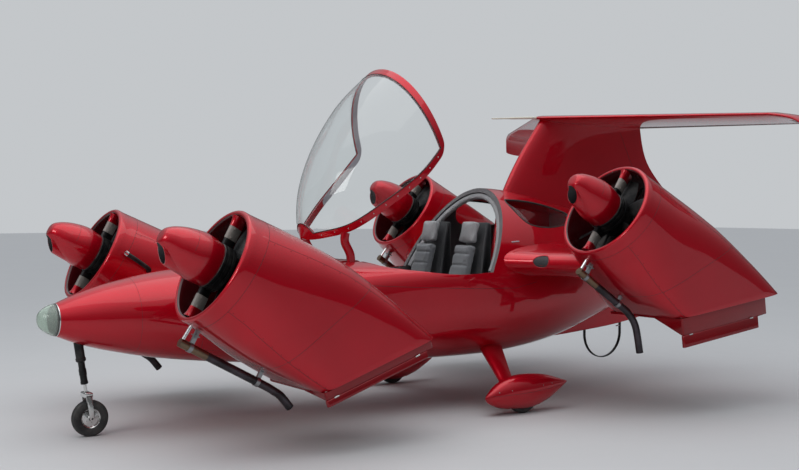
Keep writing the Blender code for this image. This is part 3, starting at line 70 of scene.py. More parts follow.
BODY = "airframe"

Places = list[Vector]
Rows = list[tuple[float, ...]]
Colour = tuple[float, float, float]
Mesh = bmesh.types.BMesh
Material = bpy.types.Material
Socket = bpy.types.NodeSocket


class Side(Enum):
    """Side of the car, with the sign of its X."""

    LEFT = 1.0
    RIGHT = -1.0

    @property
    def label(self) -> str:
        """Lower-case word used in node names."""
        return self.name.lower()


def aft(station: float) -> float:
    """World Y of a station measured aft of the nose tip."""
    return station - OVERALL_LENGTH / 2


def blend(start: float, end: float, share: float) -> float:
    """Value a share of the way from start to end."""
    return start + (end - start) * share


def ease(share: float) -> float:
    """Smooth step from 0 to 1, held flat outside that range."""
    held = min(max(share, 0.0), 1.0)
    return held * held * (3.0 - 2.0 * held)


def curve_rows(rows: Sequence[Sequence[float]], steps: int) -> Rows:
    """Put more rows between the given ones, on a smooth curve through them.

    Args:
        rows: the given rows, all of one length.
        steps: how many rows each interval gets.

    Returns:
        The denser rows, with the given ones among them.
    """
    smooth: Rows = []
    last = len(rows) - 1
    for index in range(last):
        before = rows[max(index - 1, 0)]
        start = rows[index]
        end = rows[index + 1]
        after = rows[min(index + 2, last)]
        for step in range(steps):
            t = step / steps
            smooth.append(tuple(
                0.5 * (2 * b + (c - a) * t + (2 * a - 5 * b + 4 * c - d) * t ** 2
                       + (3 * b - a - 3 * c + d) * t ** 3)
                for a, b, c, d in zip(before, start, end, after)))
    smooth.append(tuple(rows[-1]))
    return smooth


def row_at(rows: Rows, place: float) -> tuple[float, ...]:
    """Read a table at any place.

    Args:
        rows: rows in order of their first column.
        place: value of the first column to read at.

    Returns:
        The row there, straight between its neighbours.
    """
    for start, end in zip(rows, rows[1:]):
        if place <= end[0]:
            share = (place - start[0]) / (end[0] - start[0])
            return tuple(blend(a, b, share) for a, b in zip(start, end))
    return rows[-1]


def oval(angle: float, power: float) -> tuple[float, float]:
    """Unit oval at an angle: power 2 is a circle, more is closer to a box."""
    across, up = (math.copysign(abs(value) ** (2.0 / power), value)
                  for value in (math.cos(angle), math.sin(angle)))
    return across, up


def oval_reach(direction: Vector, wide: float, tall: float, power: float) -> float:
    """Distance from an oval's centre to its edge in a direction."""
    share = abs(direction.x / wide) ** power + abs(direction.z / tall) ** power
    return share ** (-1.0 / power)


def soft_max(first: float, second: float, soft: float) -> float:
    """Larger of two values, rounded over where they are closer than soft."""
    close = max(soft - abs(first - second), 0.0) / soft
    return max(first, second) + close * close * soft / 4.0


def first_ring(bm: Mesh, places: Places) -> list[bmesh.types.BMVert]:
    """Start a skin with one closed ring.

    Args:
        bm: mesh to add to.
        places: the ring's points in order.

    Returns:
        The ring's vertices in the same order.
    """
    made = bmesh.ops.create_circle(bm, cap_ends=False, segments=len(places), radius=1.0)
    for vert, place in zip(made["verts"], places):
        vert.co = place
    return list(made["verts"])


def ring_edges(bm: Mesh, ring: list) -> list[bmesh.types.BMEdge]:
    """Edges of a closed ring of vertices."""
    return [bm.edges.get((a, b)) for a, b in zip(ring, ring[1:] + ring[:1])]


def next_ring(bm: Mesh, ring: list, places: Places) -> list[bmesh.types.BMVert]:
    """Extrude a ring on to new places.

    Args:
        bm: mesh to add to.
        ring: vertices of the last ring.
        places: where the new ring's points lie.

    Returns:
        The new ring's vertices, in the old ring's order.
    """
    made = bmesh.ops.extrude_edge_only(bm, edges=ring_edges(bm, ring))["geom"]
    fresh = {item for item in made if isinstance(item, bmesh.types.BMVert)}
    grown = []
    for vert, place in zip(ring, places):
        mate = next(edge.other_vert(vert) for edge in vert.link_edges
                    if edge.other_vert(vert) in fresh)
        mate.co = place
        grown.append(mate)
    return grown


def loft(sections: Sequence[Places], closed: bool = False, caps: bool = True) -> Mesh:
    """Skin through rings of equal counts.

    Args:
        sections: the rings in order.
        closed: join the last ring to the first, for a hollow ring of a shape.
        caps: close both ends with a face.

    Returns:
        The new mesh.
    """
    bm = bmesh.new()
    start = first_ring(bm, sections[0])
    ring = start
    for places in sections[1:]:
        ring = next_ring(bm, ring, places)
    if closed:
        bmesh.ops.bridge_loops(bm, edges=ring_edges(bm, start) + ring_edges(bm, ring))
    elif caps:
        bm.faces.new(start)
        bm.faces.new(ring)
    return bm


def panel(outline: Sequence[Vector], depth: Vector) -> Mesh:
    """Flat outline pushed through a depth.

    Args:
        outline: corner points in order.
        depth: how far and which way it is pushed.

    Returns:
        A closed prism.
    """
    return loft([list(outline), [point + depth for point in outline]])


def brick(low: Sequence[float], high: Sequence[float]) -> Mesh:
    """Box between two corners."""
    bm = bmesh.new()
    made = bmesh.ops.create_cube(bm, size=1.0)
    for vert in made["verts"]:
        vert.co = Vector([blend(a, b, share + 0.5) for a, b, share in zip(low, high, vert.co)])
    return bm


def lathe(profile: Sequence[tuple[float, float]], steps: int, start: Vector,
          along: Vector) -> Mesh:
    """Turn a profile about an axis.

    Args:
        profile: (distance along the axis, radius) points; radius 0 closes on the axis.
        steps: faces in a full turn.
        start: where the axis begins.
        along: direction of the axis.

    Returns:
        The turned mesh, with its doubled points merged.
    """
    bm = bmesh.new()
    line = []
    for reach, radius in profile:
        line.append(bmesh.ops.create_vert(bm, co=(radius, 0.0, reach))["vert"][0])
    edges = [bm.edges.new(pair) for pair in zip(line, line[1:])]
    bmesh.ops.spin(bm, geom=line + edges, axis=(0, 0, 1), cent=(0, 0, 0), dvec=(0, 0, 0),
                   angle=math.tau, steps=steps, use_merge=True, use_duplicate=False)
    bmesh.ops.remove_doubles(bm, verts=bm.verts, dist=1e-5)
    turn = Vector((0, 0, 1)).rotation_difference(along.normalized()).to_matrix().to_4x4()
    bmesh.ops.transform(bm, matrix=Matrix.Translation(start) @ turn, verts=bm.verts)
    return bm


def bar(start: Vector, end: Vector, radius: float, steps: int = 24,
        end_radius: Optional[float] = None, edge: float = 0.0) -> Mesh:
    """Round bar between two points, straight or tapered.

    Args:
        start: centre of its first end.
        end: centre of its last end.
        radius: radius at the start.
        steps: faces round it.
        end_radius: radius at the end, if it differs.
        edge: size of the chamfer on both ends.

    Returns:
        A closed bar.
    """
    last = radius if end_radius is None else end_radius
    length = (end - start).length
    profile = [(0.0, 0.0), (0.0, radius - edge), (edge, radius), (length - edge, last),
               (length, last - edge), (length, 0.0)]
    if edge == 0.0:
        profile = [(0.0, 0.0), (0.0, radius), (length, last), (length, 0.0)]
    return lathe(profile, steps, start, end - start)


def pipe(points: Places, radius: float, steps: int = 16, closed: bool = False) -> Mesh:
    """Round tube along a line of points.

    Args:
        points: the line it follows.
        radius: its radius.
        steps: faces round it.
        closed: join its end to its start.

    Returns:
        The tube, capped unless closed.
    """
    sections = []
    count = len(points)
    last = count - 1
    side = Vector((1.0, 0.0, 0.0))
    for index, point in enumerate(points):
        if closed:
            along = points[(index + 1) % count] - points[index - 1]
        else:
            along = points[min(index + 1, last)] - points[max(index - 1, 0)]
        along = along.normalized()
        side = (side - along * side.dot(along))
        if side.length < 0.01:
            side = along.orthogonal()
        side = side.normalized()
        up = along.cross(side)
        sections.append([point + radius * (side * math.cos(math.tau * turn / steps)
                                           + up * math.sin(math.tau * turn / steps))
                         for turn in range(steps)])
    return loft(sections, closed=closed)


def join(meshes: Iterable[Mesh]) -> Mesh:
    """Put several meshes into one.

    Args:
        meshes: meshes to join; they are freed.

    Returns:
        One mesh with all their faces.
    """
    whole = bmesh.new()
    for part in meshes:
        keep = bpy.data.meshes.new("joined")
        part.to_mesh(keep)
        part.free()
        whole.from_mesh(keep)
        bpy.data.meshes.remove(keep)
    return whole


def moved(bm: Mesh, place: Matrix) -> Mesh:
    """The same mesh after a transform."""
    bmesh.ops.transform(bm, matrix=place, verts=bm.verts)
    return bm


def softened(bm: Mesh, width: float, segments: int = 2,
             angle: float = 40.0) -> Mesh:
    """Bevel the edges of a mesh that turn sharply.

    Args:
        bm: mesh to bevel.
        width: size of the bevel.
        segments: faces across it.
        angle: least turn, in degrees, of an edge that is bevelled.

    Returns:
        The same mesh.
    """
    bmesh.ops.recalc_face_normals(bm, faces=bm.faces)
    limit = math.radians(angle)
    edges = [edge for edge in bm.edges
             if len(edge.link_faces) == 2 and edge.calc_face_angle() > limit]
    bmesh.ops.bevel(bm, geom=edges, offset=width, offset_type="OFFSET", segments=segments,
                    profile=0.5, affect="EDGES", material=-1, clamp_overlap=True)
    return bm


def place_piece(bm: Mesh, name: str, material: Material, body: str,
                nodes: Sequence[str] = (), sharp: float = 38.0,
                recalculate: bool = True,
                second: Optional[Material] = None) -> bpy.types.Object:
    """Make a mesh a piece of the car.

    Args:
        bm: mesh in world places; it is freed.
        name: name of the piece.
        material: its finish.
        body: body that it rides on.
        nodes: CAD nodes that it stands for.
        sharp: turn, in degrees, above which an edge stays sharp.
        recalculate: turn all faces outwards first.
        second: finish of the faces whose material index is 1.

    Returns:
        The new object.
    """
    bmesh.ops.remove_doubles(bm, verts=bm.verts, dist=1e-5)
    if recalculate:
        bmesh.ops.recalc_face_normals(bm, faces=bm.faces)
    mesh = bpy.data.meshes.new(name)
    bm.to_mesh(mesh)
    bm.free()
    mesh.shade_smooth()
    mesh.set_sharp_from_angle(angle=math.radians(sharp))
    for finish in filter(None, (material, second)):
        mesh.materials.append(finish)
    made = bpy.data.objects.new(name, mesh)
    bpy.context.scene.collection.objects.link(made)
    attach(made, body)
    if nodes:
        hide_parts(*nodes)
    LOG.info("made %s with %d faces", name, len(mesh.polygons))
    return made


def scratch_solid(bm: Mesh, name: str) -> bpy.types.Object:
    """Object of a mesh, used only as a tool and removed afterwards."""
    bmesh.ops.remove_doubles(bm, verts=bm.verts, dist=1e-5)
    bmesh.ops.recalc_face_normals(bm, faces=bm.faces)
    mesh = bpy.data.meshes.new(name)
    bm.to_mesh(mesh)
    bm.free()
    made = bpy.data.objects.new(name, mesh)
    bpy.context.scene.collection.objects.link(made)
    return made


def carved(base: Mesh,
           steps: Sequence[tuple[str, Mesh]]) -> Mesh:
    """Add solids to a base and cut others out of it.

    Args:
        base: solid to start from.
        steps: operation (UNION, DIFFERENCE or INTERSECT) and solid, in order.

    Returns:
        The resulting mesh.
    """
    target = scratch_solid(base, "carving")
    tools = []
    for index, (operation, solid) in enumerate(steps):
        tool = scratch_solid(solid, "carving_tool_%d" % index)
        change = target.modifiers.new("step", "BOOLEAN")
        change.operation = operation
        change.solver = "EXACT"
        change.object = tool
        tools.append(tool)
    graph = bpy.context.evaluated_depsgraph_get()
    result = bpy.data.meshes.new_from_object(target.evaluated_get(graph))
    bm = bmesh.new()
    bm.from_mesh(result)
    bpy.data.meshes.remove(result)
    for made in [target] + tools:
        bpy.data.meshes.remove(made.data)
    return bm


@dataclass(frozen=True)
class Effect:
    """One socket of a shared shader effect."""

    name: str
    start: float


class Effects:
    """Node groups that several finishes use: grain, weave, dust and metal flakes."""

    @staticmethod
    def start(name: str, inputs: Sequence[Effect], outputs: Sequence[str]) -> bpy.types.NodeTree:
        """Make an empty group.

        Args:
            name: name of the group.
            inputs: its input values.
            outputs: names of its output values.

        Returns:
            The group with its input, output and coordinate nodes.
        """
        group = bpy.data.node_groups.new(name, "ShaderNodeTree")
        for effect in inputs:
            socket = group.interface.new_socket(effect.name, in_out="INPUT",
                                                socket_type="NodeSocketFloat")
            socket.default_value = effect.start
        for output in outputs:
            group.interface.new_socket(output, in_out="OUTPUT", socket_type="NodeSocketFloat")
        group.nodes.new("NodeGroupInput").name = "in"
        group.nodes.new("NodeGroupOutput").name = "out"
        group.nodes.new("ShaderNodeTexCoord").name = "places"
        return group

    @staticmethod
    def maths(group: bpy.types.NodeTree, operation: str, first: object,
              second: object = 0.0) -> Socket:
        """Add a Math node whose inputs are sockets or numbers."""
        node = group.nodes.new("ShaderNodeMath")
        node.operation = operation
        for index, value in enumerate((first, second)):
            if isinstance(value, Socket):
                group.links.new(value, node.inputs[index])
            else:
                node.inputs[index].default_value = value
        return node.outputs["Value"]

    @classmethod
    def cloudiness(cls) -> bpy.types.NodeTree:
        """Soft cloudy mask and its fine copy, for dust, handling and colour drift."""
        name = "cloudiness"
        if name in bpy.data.node_groups:
            return bpy.data.node_groups[name]
        group = cls.start(name, (Effect("Scale", 3.0), Effect("Low", 0.4), Effect("High", 0.7)),
                          ("Mask", "Fine"))
        source = group.nodes["in"].outputs
        for output, factor, detail in (("Mask", 1.0, 4.0), ("Fine", 9.0, 6.0)):
            noise = group.nodes.new("ShaderNodeTexNoise")
            noise.inputs["Detail"].default_value = detail
            noise.inputs["Roughness"].default_value = 0.6
            group.links.new(group.nodes["places"].outputs["Object"], noise.inputs["Vector"])
            group.links.new(cls.maths(group, "MULTIPLY", source["Scale"], factor),
                            noise.inputs["Scale"])
            ramp = group.nodes.new("ShaderNodeMapRange")
            group.links.new(noise.outputs["Fac"], ramp.inputs["Value"])
            group.links.new(source["Low"], ramp.inputs["From Min"])
            group.links.new(source["High"], ramp.inputs["From Max"])
            group.links.new(ramp.outputs["Result"], group.nodes["out"].inputs[output])
        return group

    @classmethod
    def grain(cls) -> bpy.types.NodeTree:
        """Fine moulded grain as a height and a mask of its pits."""
        name = "grain"
        if name in bpy.data.node_groups:
            return bpy.data.node_groups[name]
        group = cls.start(name, (Effect("Scale", 400.0), Effect("Depth", 1.0)), ("Height", "Pits"))
        source = group.nodes["in"].outputs
        cells = group.nodes.new("ShaderNodeTexVoronoi")
        cells.feature = "F1"
        group.links.new(group.nodes["places"].outputs["Object"], cells.inputs["Vector"])
        group.links.new(source["Scale"], cells.inputs["Scale"])
        group.links.new(cls.maths(group, "MULTIPLY", cells.outputs["Distance"], source["Depth"]),
                        group.nodes["out"].inputs["Height"])
        group.links.new(cls.maths(group, "LESS_THAN", cells.outputs["Distance"], 0.25),
                        group.nodes["out"].inputs["Pits"])
        return group

    @classmethod
    def flakes(cls) -> bpy.types.NodeTree:
        """Metal flakes under a clear coat: a random value per flake, which lightens the flake's colour
        as its own speckle with a painted glint, and a height.
        """
        name = "flakes"
        if name in bpy.data.node_groups:
            return bpy.data.node_groups[name]
        group = cls.start(name, (Effect("Scale", 900.0), Effect("Amount", 0.3)),
                          ("Sparkle", "Height"))
        source = group.nodes["in"].outputs
        cells = group.nodes.new("ShaderNodeTexVoronoi")
        group.links.new(group.nodes["places"].outputs["Object"], cells.inputs["Vector"])
        group.links.new(source["Scale"], cells.inputs["Scale"])
        split = group.nodes.new("ShaderNodeSeparateColor")
        group.links.new(cells.outputs["Color"], split.inputs["Color"])
        group.links.new(cls.maths(group, "MULTIPLY", split.outputs["Red"], source["Amount"]),
                        group.nodes["out"].inputs["Sparkle"])
        group.links.new(cls.maths(group, "MULTIPLY", split.outputs["Green"], source["Amount"]),
                        group.nodes["out"].inputs["Height"])
        return group

    @classmethod
    def weave(cls) -> bpy.types.NodeTree:
        """Plain weave on three crossed directions, as a height and a thread mask."""
        name = "weave"
        if name in bpy.data.node_groups:
            return bpy.data.node_groups[name]
        group = cls.start(name, (Effect("Threads", 2200.0),), ("Height", "Thread"))
        source = group.nodes["in"].outputs
        split = group.nodes.new("ShaderNodeSeparateXYZ")
        group.links.new(group.nodes["places"].outputs["Object"], split.inputs["Vector"])
        waves = []
        for axis in ("X", "Y", "Z"):
            turned = cls.maths(group, "MULTIPLY", split.outputs[axis], source["Threads"])
            waves.append(cls.maths(group, "SINE", turned))
        pairs = cls.maths(group, "MULTIPLY", waves[0], waves[1])
        others = cls.maths(group, "MULTIPLY", waves[1], waves[2])
        last = cls.maths(group, "MULTIPLY", waves[0], waves[2])
        total = cls.maths(group, "ADD", cls.maths(group, "ADD", pairs, others), last)
        level = cls.maths(group, "MULTIPLY_ADD", total, 0.3)
        level.node.inputs[2].default_value = 0.5
        group.links.new(level, group.nodes["out"].inputs["Height"])
        group.links.new(cls.maths(group, "GREATER_THAN", total, 0.2),
                        group.nodes["out"].inputs["Thread"])
        return group


class Dresser:
    """Builds one material step by step."""

    def __init__(self, name: str) -> None:
        """Start a Principled material."""
        self.material = bpy.data.materials.new(name)
        self.material.use_nodes = True
        self.tree = self.material.node_tree
        self.shader = self.tree.nodes["Principled BSDF"]

    def set(self, **values: object) -> "Dresser":
        """Set plain values of the shader, underscores standing for spaces."""
        for key, value in values.items():
            self.shader.inputs[key.replace("_", " ")].default_value = value
        return self

    def effect(self, group: bpy.types.NodeTree, **values: float) -> bpy.types.Node:
        """Place a shared effect with its own values.

        Args:
            group: the effect.
            **values: values of its inputs.

        Returns:
            The placed node.
        """
        node = self.tree.nodes.new("ShaderNodeGroup")
        node.node_tree = group
        for key, value in values.items():
            node.inputs[key].default_value = value
        return node

    def mix(self, mask: Socket, first: object,
            second: object) -> Socket:
        """Mix two colours, or a colour on to another mix, by a mask."""
        node = self.tree.nodes.new("ShaderNodeMix")
        node.data_type = "RGBA"
        self.tree.links.new(mask, node.inputs["Factor"])
        for socket, value in (("A", first), ("B", second)):
            place = next(item for item in node.inputs
                         if item.name == socket and item.type == "RGBA")
            if isinstance(value, Socket):
                self.tree.links.new(value, place)
            else:
                place.default_value = (*value, 1.0)
        return next(item for item in node.outputs if item.type == "RGBA")

    def ranged(self, mask: Socket, low: float, high: float) -> Socket:
        """Turn a mask of 0 to 1 into a range of values."""
        node = self.tree.nodes.new("ShaderNodeMapRange")
        self.tree.links.new(mask, node.inputs["Value"])
        node.inputs["To Min"].default_value = low
        node.inputs["To Max"].default_value = high
        return node.outputs["Result"]

    def feed(self, socket: str, source: Socket) -> "Dresser":
        """Link a value or colour to a socket of the shader."""
        self.tree.links.new(source, self.shader.inputs[socket])
        return self

    def bump(self, height: Socket, strength: float, distance: float) -> "Dresser":
        """Raise the surface by a height."""
        node = self.tree.nodes.new("ShaderNodeBump")
        node.inputs["Strength"].default_value = strength
        node.inputs["Distance"].default_value = distance
        self.tree.links.new(height, node.inputs["Height"])
        self.tree.links.new(node.outputs["Normal"], self.shader.inputs["Normal"])
        return self


@dataclass(frozen=True)
class CandyPaint:
    """Deep red metallic paint under a clear coat, with cloudy patches of road dust."""

    name: str = "candy_red_paint"
    colour: Colour = (0.50, 0.0012, 0.013)
    shade: Colour = (0.42, 0.0008, 0.010)
    dust: Colour = (0.34, 0.06, 0.05)
    metallic: float = 0.55

    def build(self) -> Material:
        """Make the material."""
        made = Dresser(self.name)
        made.set(Metallic=self.metallic, Coat_Weight=1.0, Coat_Roughness=0.03, Coat_IOR=1.45,
                 Specular_IOR_Level=0.08)
        cloud = made.effect(Effects.cloudiness(), Scale=1.4, Low=0.35, High=0.75)
        dust = made.effect(Effects.cloudiness(), Scale=5.0, Low=0.58, High=0.95)
        flakes = made.effect(Effects.flakes(), Scale=1100.0, Amount=0.35)
        base = made.mix(cloud.outputs["Mask"], self.colour, self.shade)
        # Random flakes lightened in the base colour: the flakes' own speckle, with a painted glint
        # over it.
        base = made.mix(made.ranged(flakes.outputs["Sparkle"], 0.0, 0.45), base,
                        tuple(min(1.0, value * 1.5) for value in self.colour))
        base = made.mix(made.ranged(dust.outputs["Mask"], 0.0, 0.05), base, self.dust)
        made.feed("Base Color", base)
        made.feed("Roughness", made.ranged(dust.outputs["Fine"], 0.38, 0.46))
        made.bump(flakes.outputs["Height"], 0.03, 0.0004)
        return made.material


@dataclass(frozen=True)
class BlackMetal:
    """Black coated engine metal with rubbed patches."""

    name: str = "black_engine_metal"
    colour: Colour = (0.012, 0.012, 0.013)
    rubbed: Colour = (0.055, 0.052, 0.050)
    metallic: float = 0.6
    roughness: float = 0.36

    def build(self) -> Material:
        """Make the material."""
        made = Dresser(self.name)
        made.set(Metallic=self.metallic)
        cloud = made.effect(Effects.cloudiness(), Scale=12.0, Low=0.45, High=0.75)
        grain = made.effect(Effects.grain(), Scale=700.0, Depth=1.0)
        made.feed("Base Color", made.mix(cloud.outputs["Mask"], self.colour, self.rubbed))
        made.feed("Roughness", made.ranged(cloud.outputs["Fine"], self.roughness,
                                           self.roughness + 0.2))
        made.bump(grain.outputs["Height"], 0.12, 0.0004)
        return made.material


@dataclass(frozen=True)
class BrightMetal:
    """Bare metal with a fine brushed grain."""

    name: str = "bright_metal_finish"
    colour: Colour = (0.66, 0.66, 0.65)
    stain: Colour = (0.40, 0.38, 0.36)
    roughness: float = 0.16

    def build(self) -> Material:
        """Make the material."""
        made = Dresser(self.name)
        made.set(Metallic=1.0)
        cloud = made.effect(Effects.cloudiness(), Scale=20.0, Low=0.50, High=0.85)
        grain = made.effect(Effects.grain(), Scale=1500.0, Depth=1.0)
        made.feed("Base Color", made.mix(made.ranged(cloud.outputs["Mask"], 0.0, 0.6),
                                         self.colour, self.stain))
        made.feed("Roughness", made.ranged(cloud.outputs["Fine"], self.roughness,
                                           self.roughness + 0.18))
        made.bump(grain.outputs["Height"], 0.04, 0.0002)
        return made.material


@dataclass(frozen=True)
class HeatedPipe:
    """Exhaust pipe metal, blued by heat and patched with soot."""

    name: str = "heated_pipe"
    blue: Colour = (0.075, 0.065, 0.075)
    soot: Colour = (0.020, 0.019, 0.018)

    def build(self) -> Material:
        """Make the material."""
        made = Dresser(self.name)
        made.set(Metallic=0.85)
        cloud = made.effect(Effects.cloudiness(), Scale=9.0, Low=0.40, High=0.72)
        base = made.mix(cloud.outputs["Mask"], self.blue, self.soot)
        made.feed("Base Color", base)
        made.feed("Roughness", made.ranged(cloud.outputs["Fine"], 0.28, 0.55))
        made.bump(cloud.outputs["Fine"], 0.10, 0.0006)
        return made.material


@dataclass(frozen=True)
class GreyCloth:
    """Grey woven seat cloth with worn lighter patches."""

    name: str = "grey_seat_cloth"
    colour: Colour = (0.145, 0.152, 0.165)
    thread: Colour = (0.235, 0.242, 0.255)
    threads: float = 2600.0

    def build(self) -> Material:
        """Make the material."""
        made = Dresser(self.name)
        made.set(Sheen_Weight=0.35, Sheen_Roughness=0.45)
        weave = made.effect(Effects.weave(), Threads=self.threads)
        cloud = made.effect(Effects.cloudiness(), Scale=6.0, Low=0.40, High=0.80)
        base = made.mix(weave.outputs["Thread"], self.colour, self.thread)
        base = made.mix(made.ranged(cloud.outputs["Mask"], 0.0, 0.35), base, self.thread)
        made.feed("Base Color", base)
        made.feed("Roughness", made.ranged(cloud.outputs["Fine"], 0.78, 0.95))
        made.bump(weave.outputs["Height"], 0.35, 0.0008)
        return made.material


@dataclass(frozen=True)
class SoftVinyl:
    """Grey padded vinyl of the cabin's rim, with leather grain."""

    name: str = "grey_soft_vinyl"
    colour: Colour = (0.33, 0.33, 0.34)
    crease: Colour = (0.20, 0.20, 0.21)

    def build(self) -> Material:
        """Make the material."""
        made = Dresser(self.name)
        grain = made.effect(Effects.grain(), Scale=420.0, Depth=1.0)
        cloud = made.effect(Effects.cloudiness(), Scale=8.0, Low=0.40, High=0.80)
        base = made.mix(grain.outputs["Pits"], self.colour, self.crease)
        made.feed("Base Color", made.mix(made.ranged(cloud.outputs["Mask"], 0.0, 0.3), base,
                                         self.crease))
        made.feed("Roughness", made.ranged(cloud.outputs["Fine"], 0.48, 0.68))
        made.bump(grain.outputs["Height"], 0.30, 0.0010)
        return made.material


@dataclass(frozen=True)
class ClearPlastic:
    """Clear bubble plastic with a faint smoke tint."""

    name: str = "clear_canopy_plastic"
    colour: Colour = (0.93, 0.95, 0.95)
    clearness: float = 1.0
    haze: float = 0.015

    def build(self) -> Material:
        """Make the material."""
        made = Dresser(self.name)
        made.set(Metallic=0.0, Transmission_Weight=self.clearness, IOR=1.30)
        cloud = made.effect(Effects.cloudiness(), Scale=2.0, Low=0.45, High=0.95)
        made.feed("Base Color", made.mix(made.ranged(cloud.outputs["Mask"], 0.0, 0.2), self.colour,
                                         tuple(value * 0.93 for value in self.colour)))
        made.feed("Roughness", made.ranged(cloud.outputs["Fine"], self.haze, self.haze * 2 + 0.015))
        return made.material


@dataclass(frozen=True)
class Rubber:
    """Tyre rubber, greyer where it is scuffed and dusty."""

    name: str = "black_tyre_rubber"
    colour: Colour = (0.016, 0.016, 0.017)
    scuffed: Colour = (0.060, 0.057, 0.053)

    def build(self) -> Material:
        """Make the material."""
        made = Dresser(self.name)
        cloud = made.effect(Effects.cloudiness(), Scale=14.0, Low=0.40, High=0.75)
        grain = made.effect(Effects.grain(), Scale=900.0, Depth=1.0)
        made.feed("Base Color", made.mix(cloud.outputs["Mask"], self.colour, self.scuffed))
        made.feed("Roughness", made.ranged(cloud.outputs["Fine"], 0.62, 0.88))
        made.bump(grain.outputs["Height"], 0.2, 0.0006)
        return made.material


@dataclass(frozen=True)
class MouldedPlastic:
    """Plain moulded plastic with a fine grain and faint stains."""

    name: str
    colour: Colour
    stain: Colour
    roughness: float = 0.35
    grain: float = 600.0
    subsurface: float = 0.0

    def build(self) -> Material:
        """Make the material."""
        made = Dresser(self.name)
        made.set(Subsurface_Weight=self.subsurface, Subsurface_Scale=0.03)
        cloud = made.effect(Effects.cloudiness(), Scale=7.0, Low=0.38, High=0.82)
        grain = made.effect(Effects.grain(), Scale=self.grain, Depth=1.0)
        made.feed("Base Color", made.mix(made.ranged(cloud.outputs["Mask"], 0.0, 0.7),
                                         self.colour, self.stain))
        made.feed("Roughness", made.ranged(cloud.outputs["Fine"], self.roughness,
                                           self.roughness + 0.15))
        made.bump(grain.outputs["Height"], 0.08, 0.0004)
        return made.material


@dataclass
class Finishes:
    """Every finish of the car, each made once."""

    paint: Material = field(default_factory=lambda: CandyPaint().build())
    # Darker copy of the red paint: painted shade, laid on the vane skirts and vanes under the duct
    # exits and on the screw heads.
    painted_shade_red: Material = field(default_factory=lambda: CandyPaint(
        "deep_red_paint", (0.26, 0.0010, 0.006), (0.17, 0.0008, 0.004), metallic=0.40).build())
    # Near-black copy of the red paint for the duct's inside: painted shade.
    duct_inside_painted_shade: Material = field(default_factory=lambda: CandyPaint(
        "dark_inlet_paint", (0.060, 0.002, 0.004), (0.030, 0.0015, 0.003),
        metallic=0.10).build())
    black: Material = field(default_factory=lambda: BlackMetal().build())
    grey_plate: Material = field(default_factory=lambda: BrightMetal(
        "grey_plate_metal", (0.30, 0.31, 0.32), (0.20, 0.20, 0.20), 0.34).build())
    bright: Material = field(default_factory=lambda: BrightMetal().build())
    chrome: Material = field(default_factory=lambda: BrightMetal(
        "polished_metal", (0.80, 0.80, 0.80), (0.55, 0.54, 0.52), 0.06).build())
    pipe: Material = field(default_factory=lambda: HeatedPipe().build())
    bronze: Material = field(default_factory=lambda: BrightMetal(
        "bronze_heated_metal", (0.19, 0.13, 0.085), (0.07, 0.055, 0.05), 0.30).build())
    cloth: Material = field(default_factory=lambda: GreyCloth().build())
    vinyl: Material = field(default_factory=lambda: SoftVinyl().build())
    glass: Material = field(default_factory=lambda: ClearPlastic().build())
    rubber: Material = field(default_factory=lambda: Rubber().build())
    nose: Material = field(default_factory=lambda: ClearPlastic(
        "milky_nose_plastic", (0.80, 0.90, 0.82), 0.80, 0.06).build())
    trim: Material = field(default_factory=lambda: MouldedPlastic(
        "pale_canopy_trim", (0.44, 0.43, 0.47), (0.36, 0.35, 0.39), 0.42).build())
    sleeve: Material = field(default_factory=lambda: MouldedPlastic(
        "beige_strut_sleeve", (0.30, 0.275, 0.25), (0.20, 0.185, 0.17), 0.38, 300.0).build())
    liner: Material = field(default_factory=lambda: MouldedPlastic(
        "grey_cabin_liner", (0.150, 0.145, 0.150), (0.105, 0.100, 0.105), 0.75, 260.0).build())
    cream: Material = field(default_factory=lambda: MouldedPlastic(
        "cream_plastic_finish", (0.78, 0.75, 0.64), (0.66, 0.62, 0.50), 0.36).build())
    lining: Material = field(default_factory=lambda: MouldedPlastic(
        "dark_lining", (0.030, 0.031, 0.034), (0.055, 0.055, 0.058), 0.62, 300.0).build())
    seam: Material = field(default_factory=lambda: MouldedPlastic(
        "seam_shadow", (0.030, 0.004, 0.006), (0.050, 0.010, 0.012), 0.55).build())
    gasket: Material = field(default_factory=lambda: Rubber("gasket_rubber").build())
    screen: Material = field(default_factory=lambda: MouldedPlastic(
        "dark_screen", (0.010, 0.016, 0.022), (0.014, 0.022, 0.030), 0.08, 900.0).build())


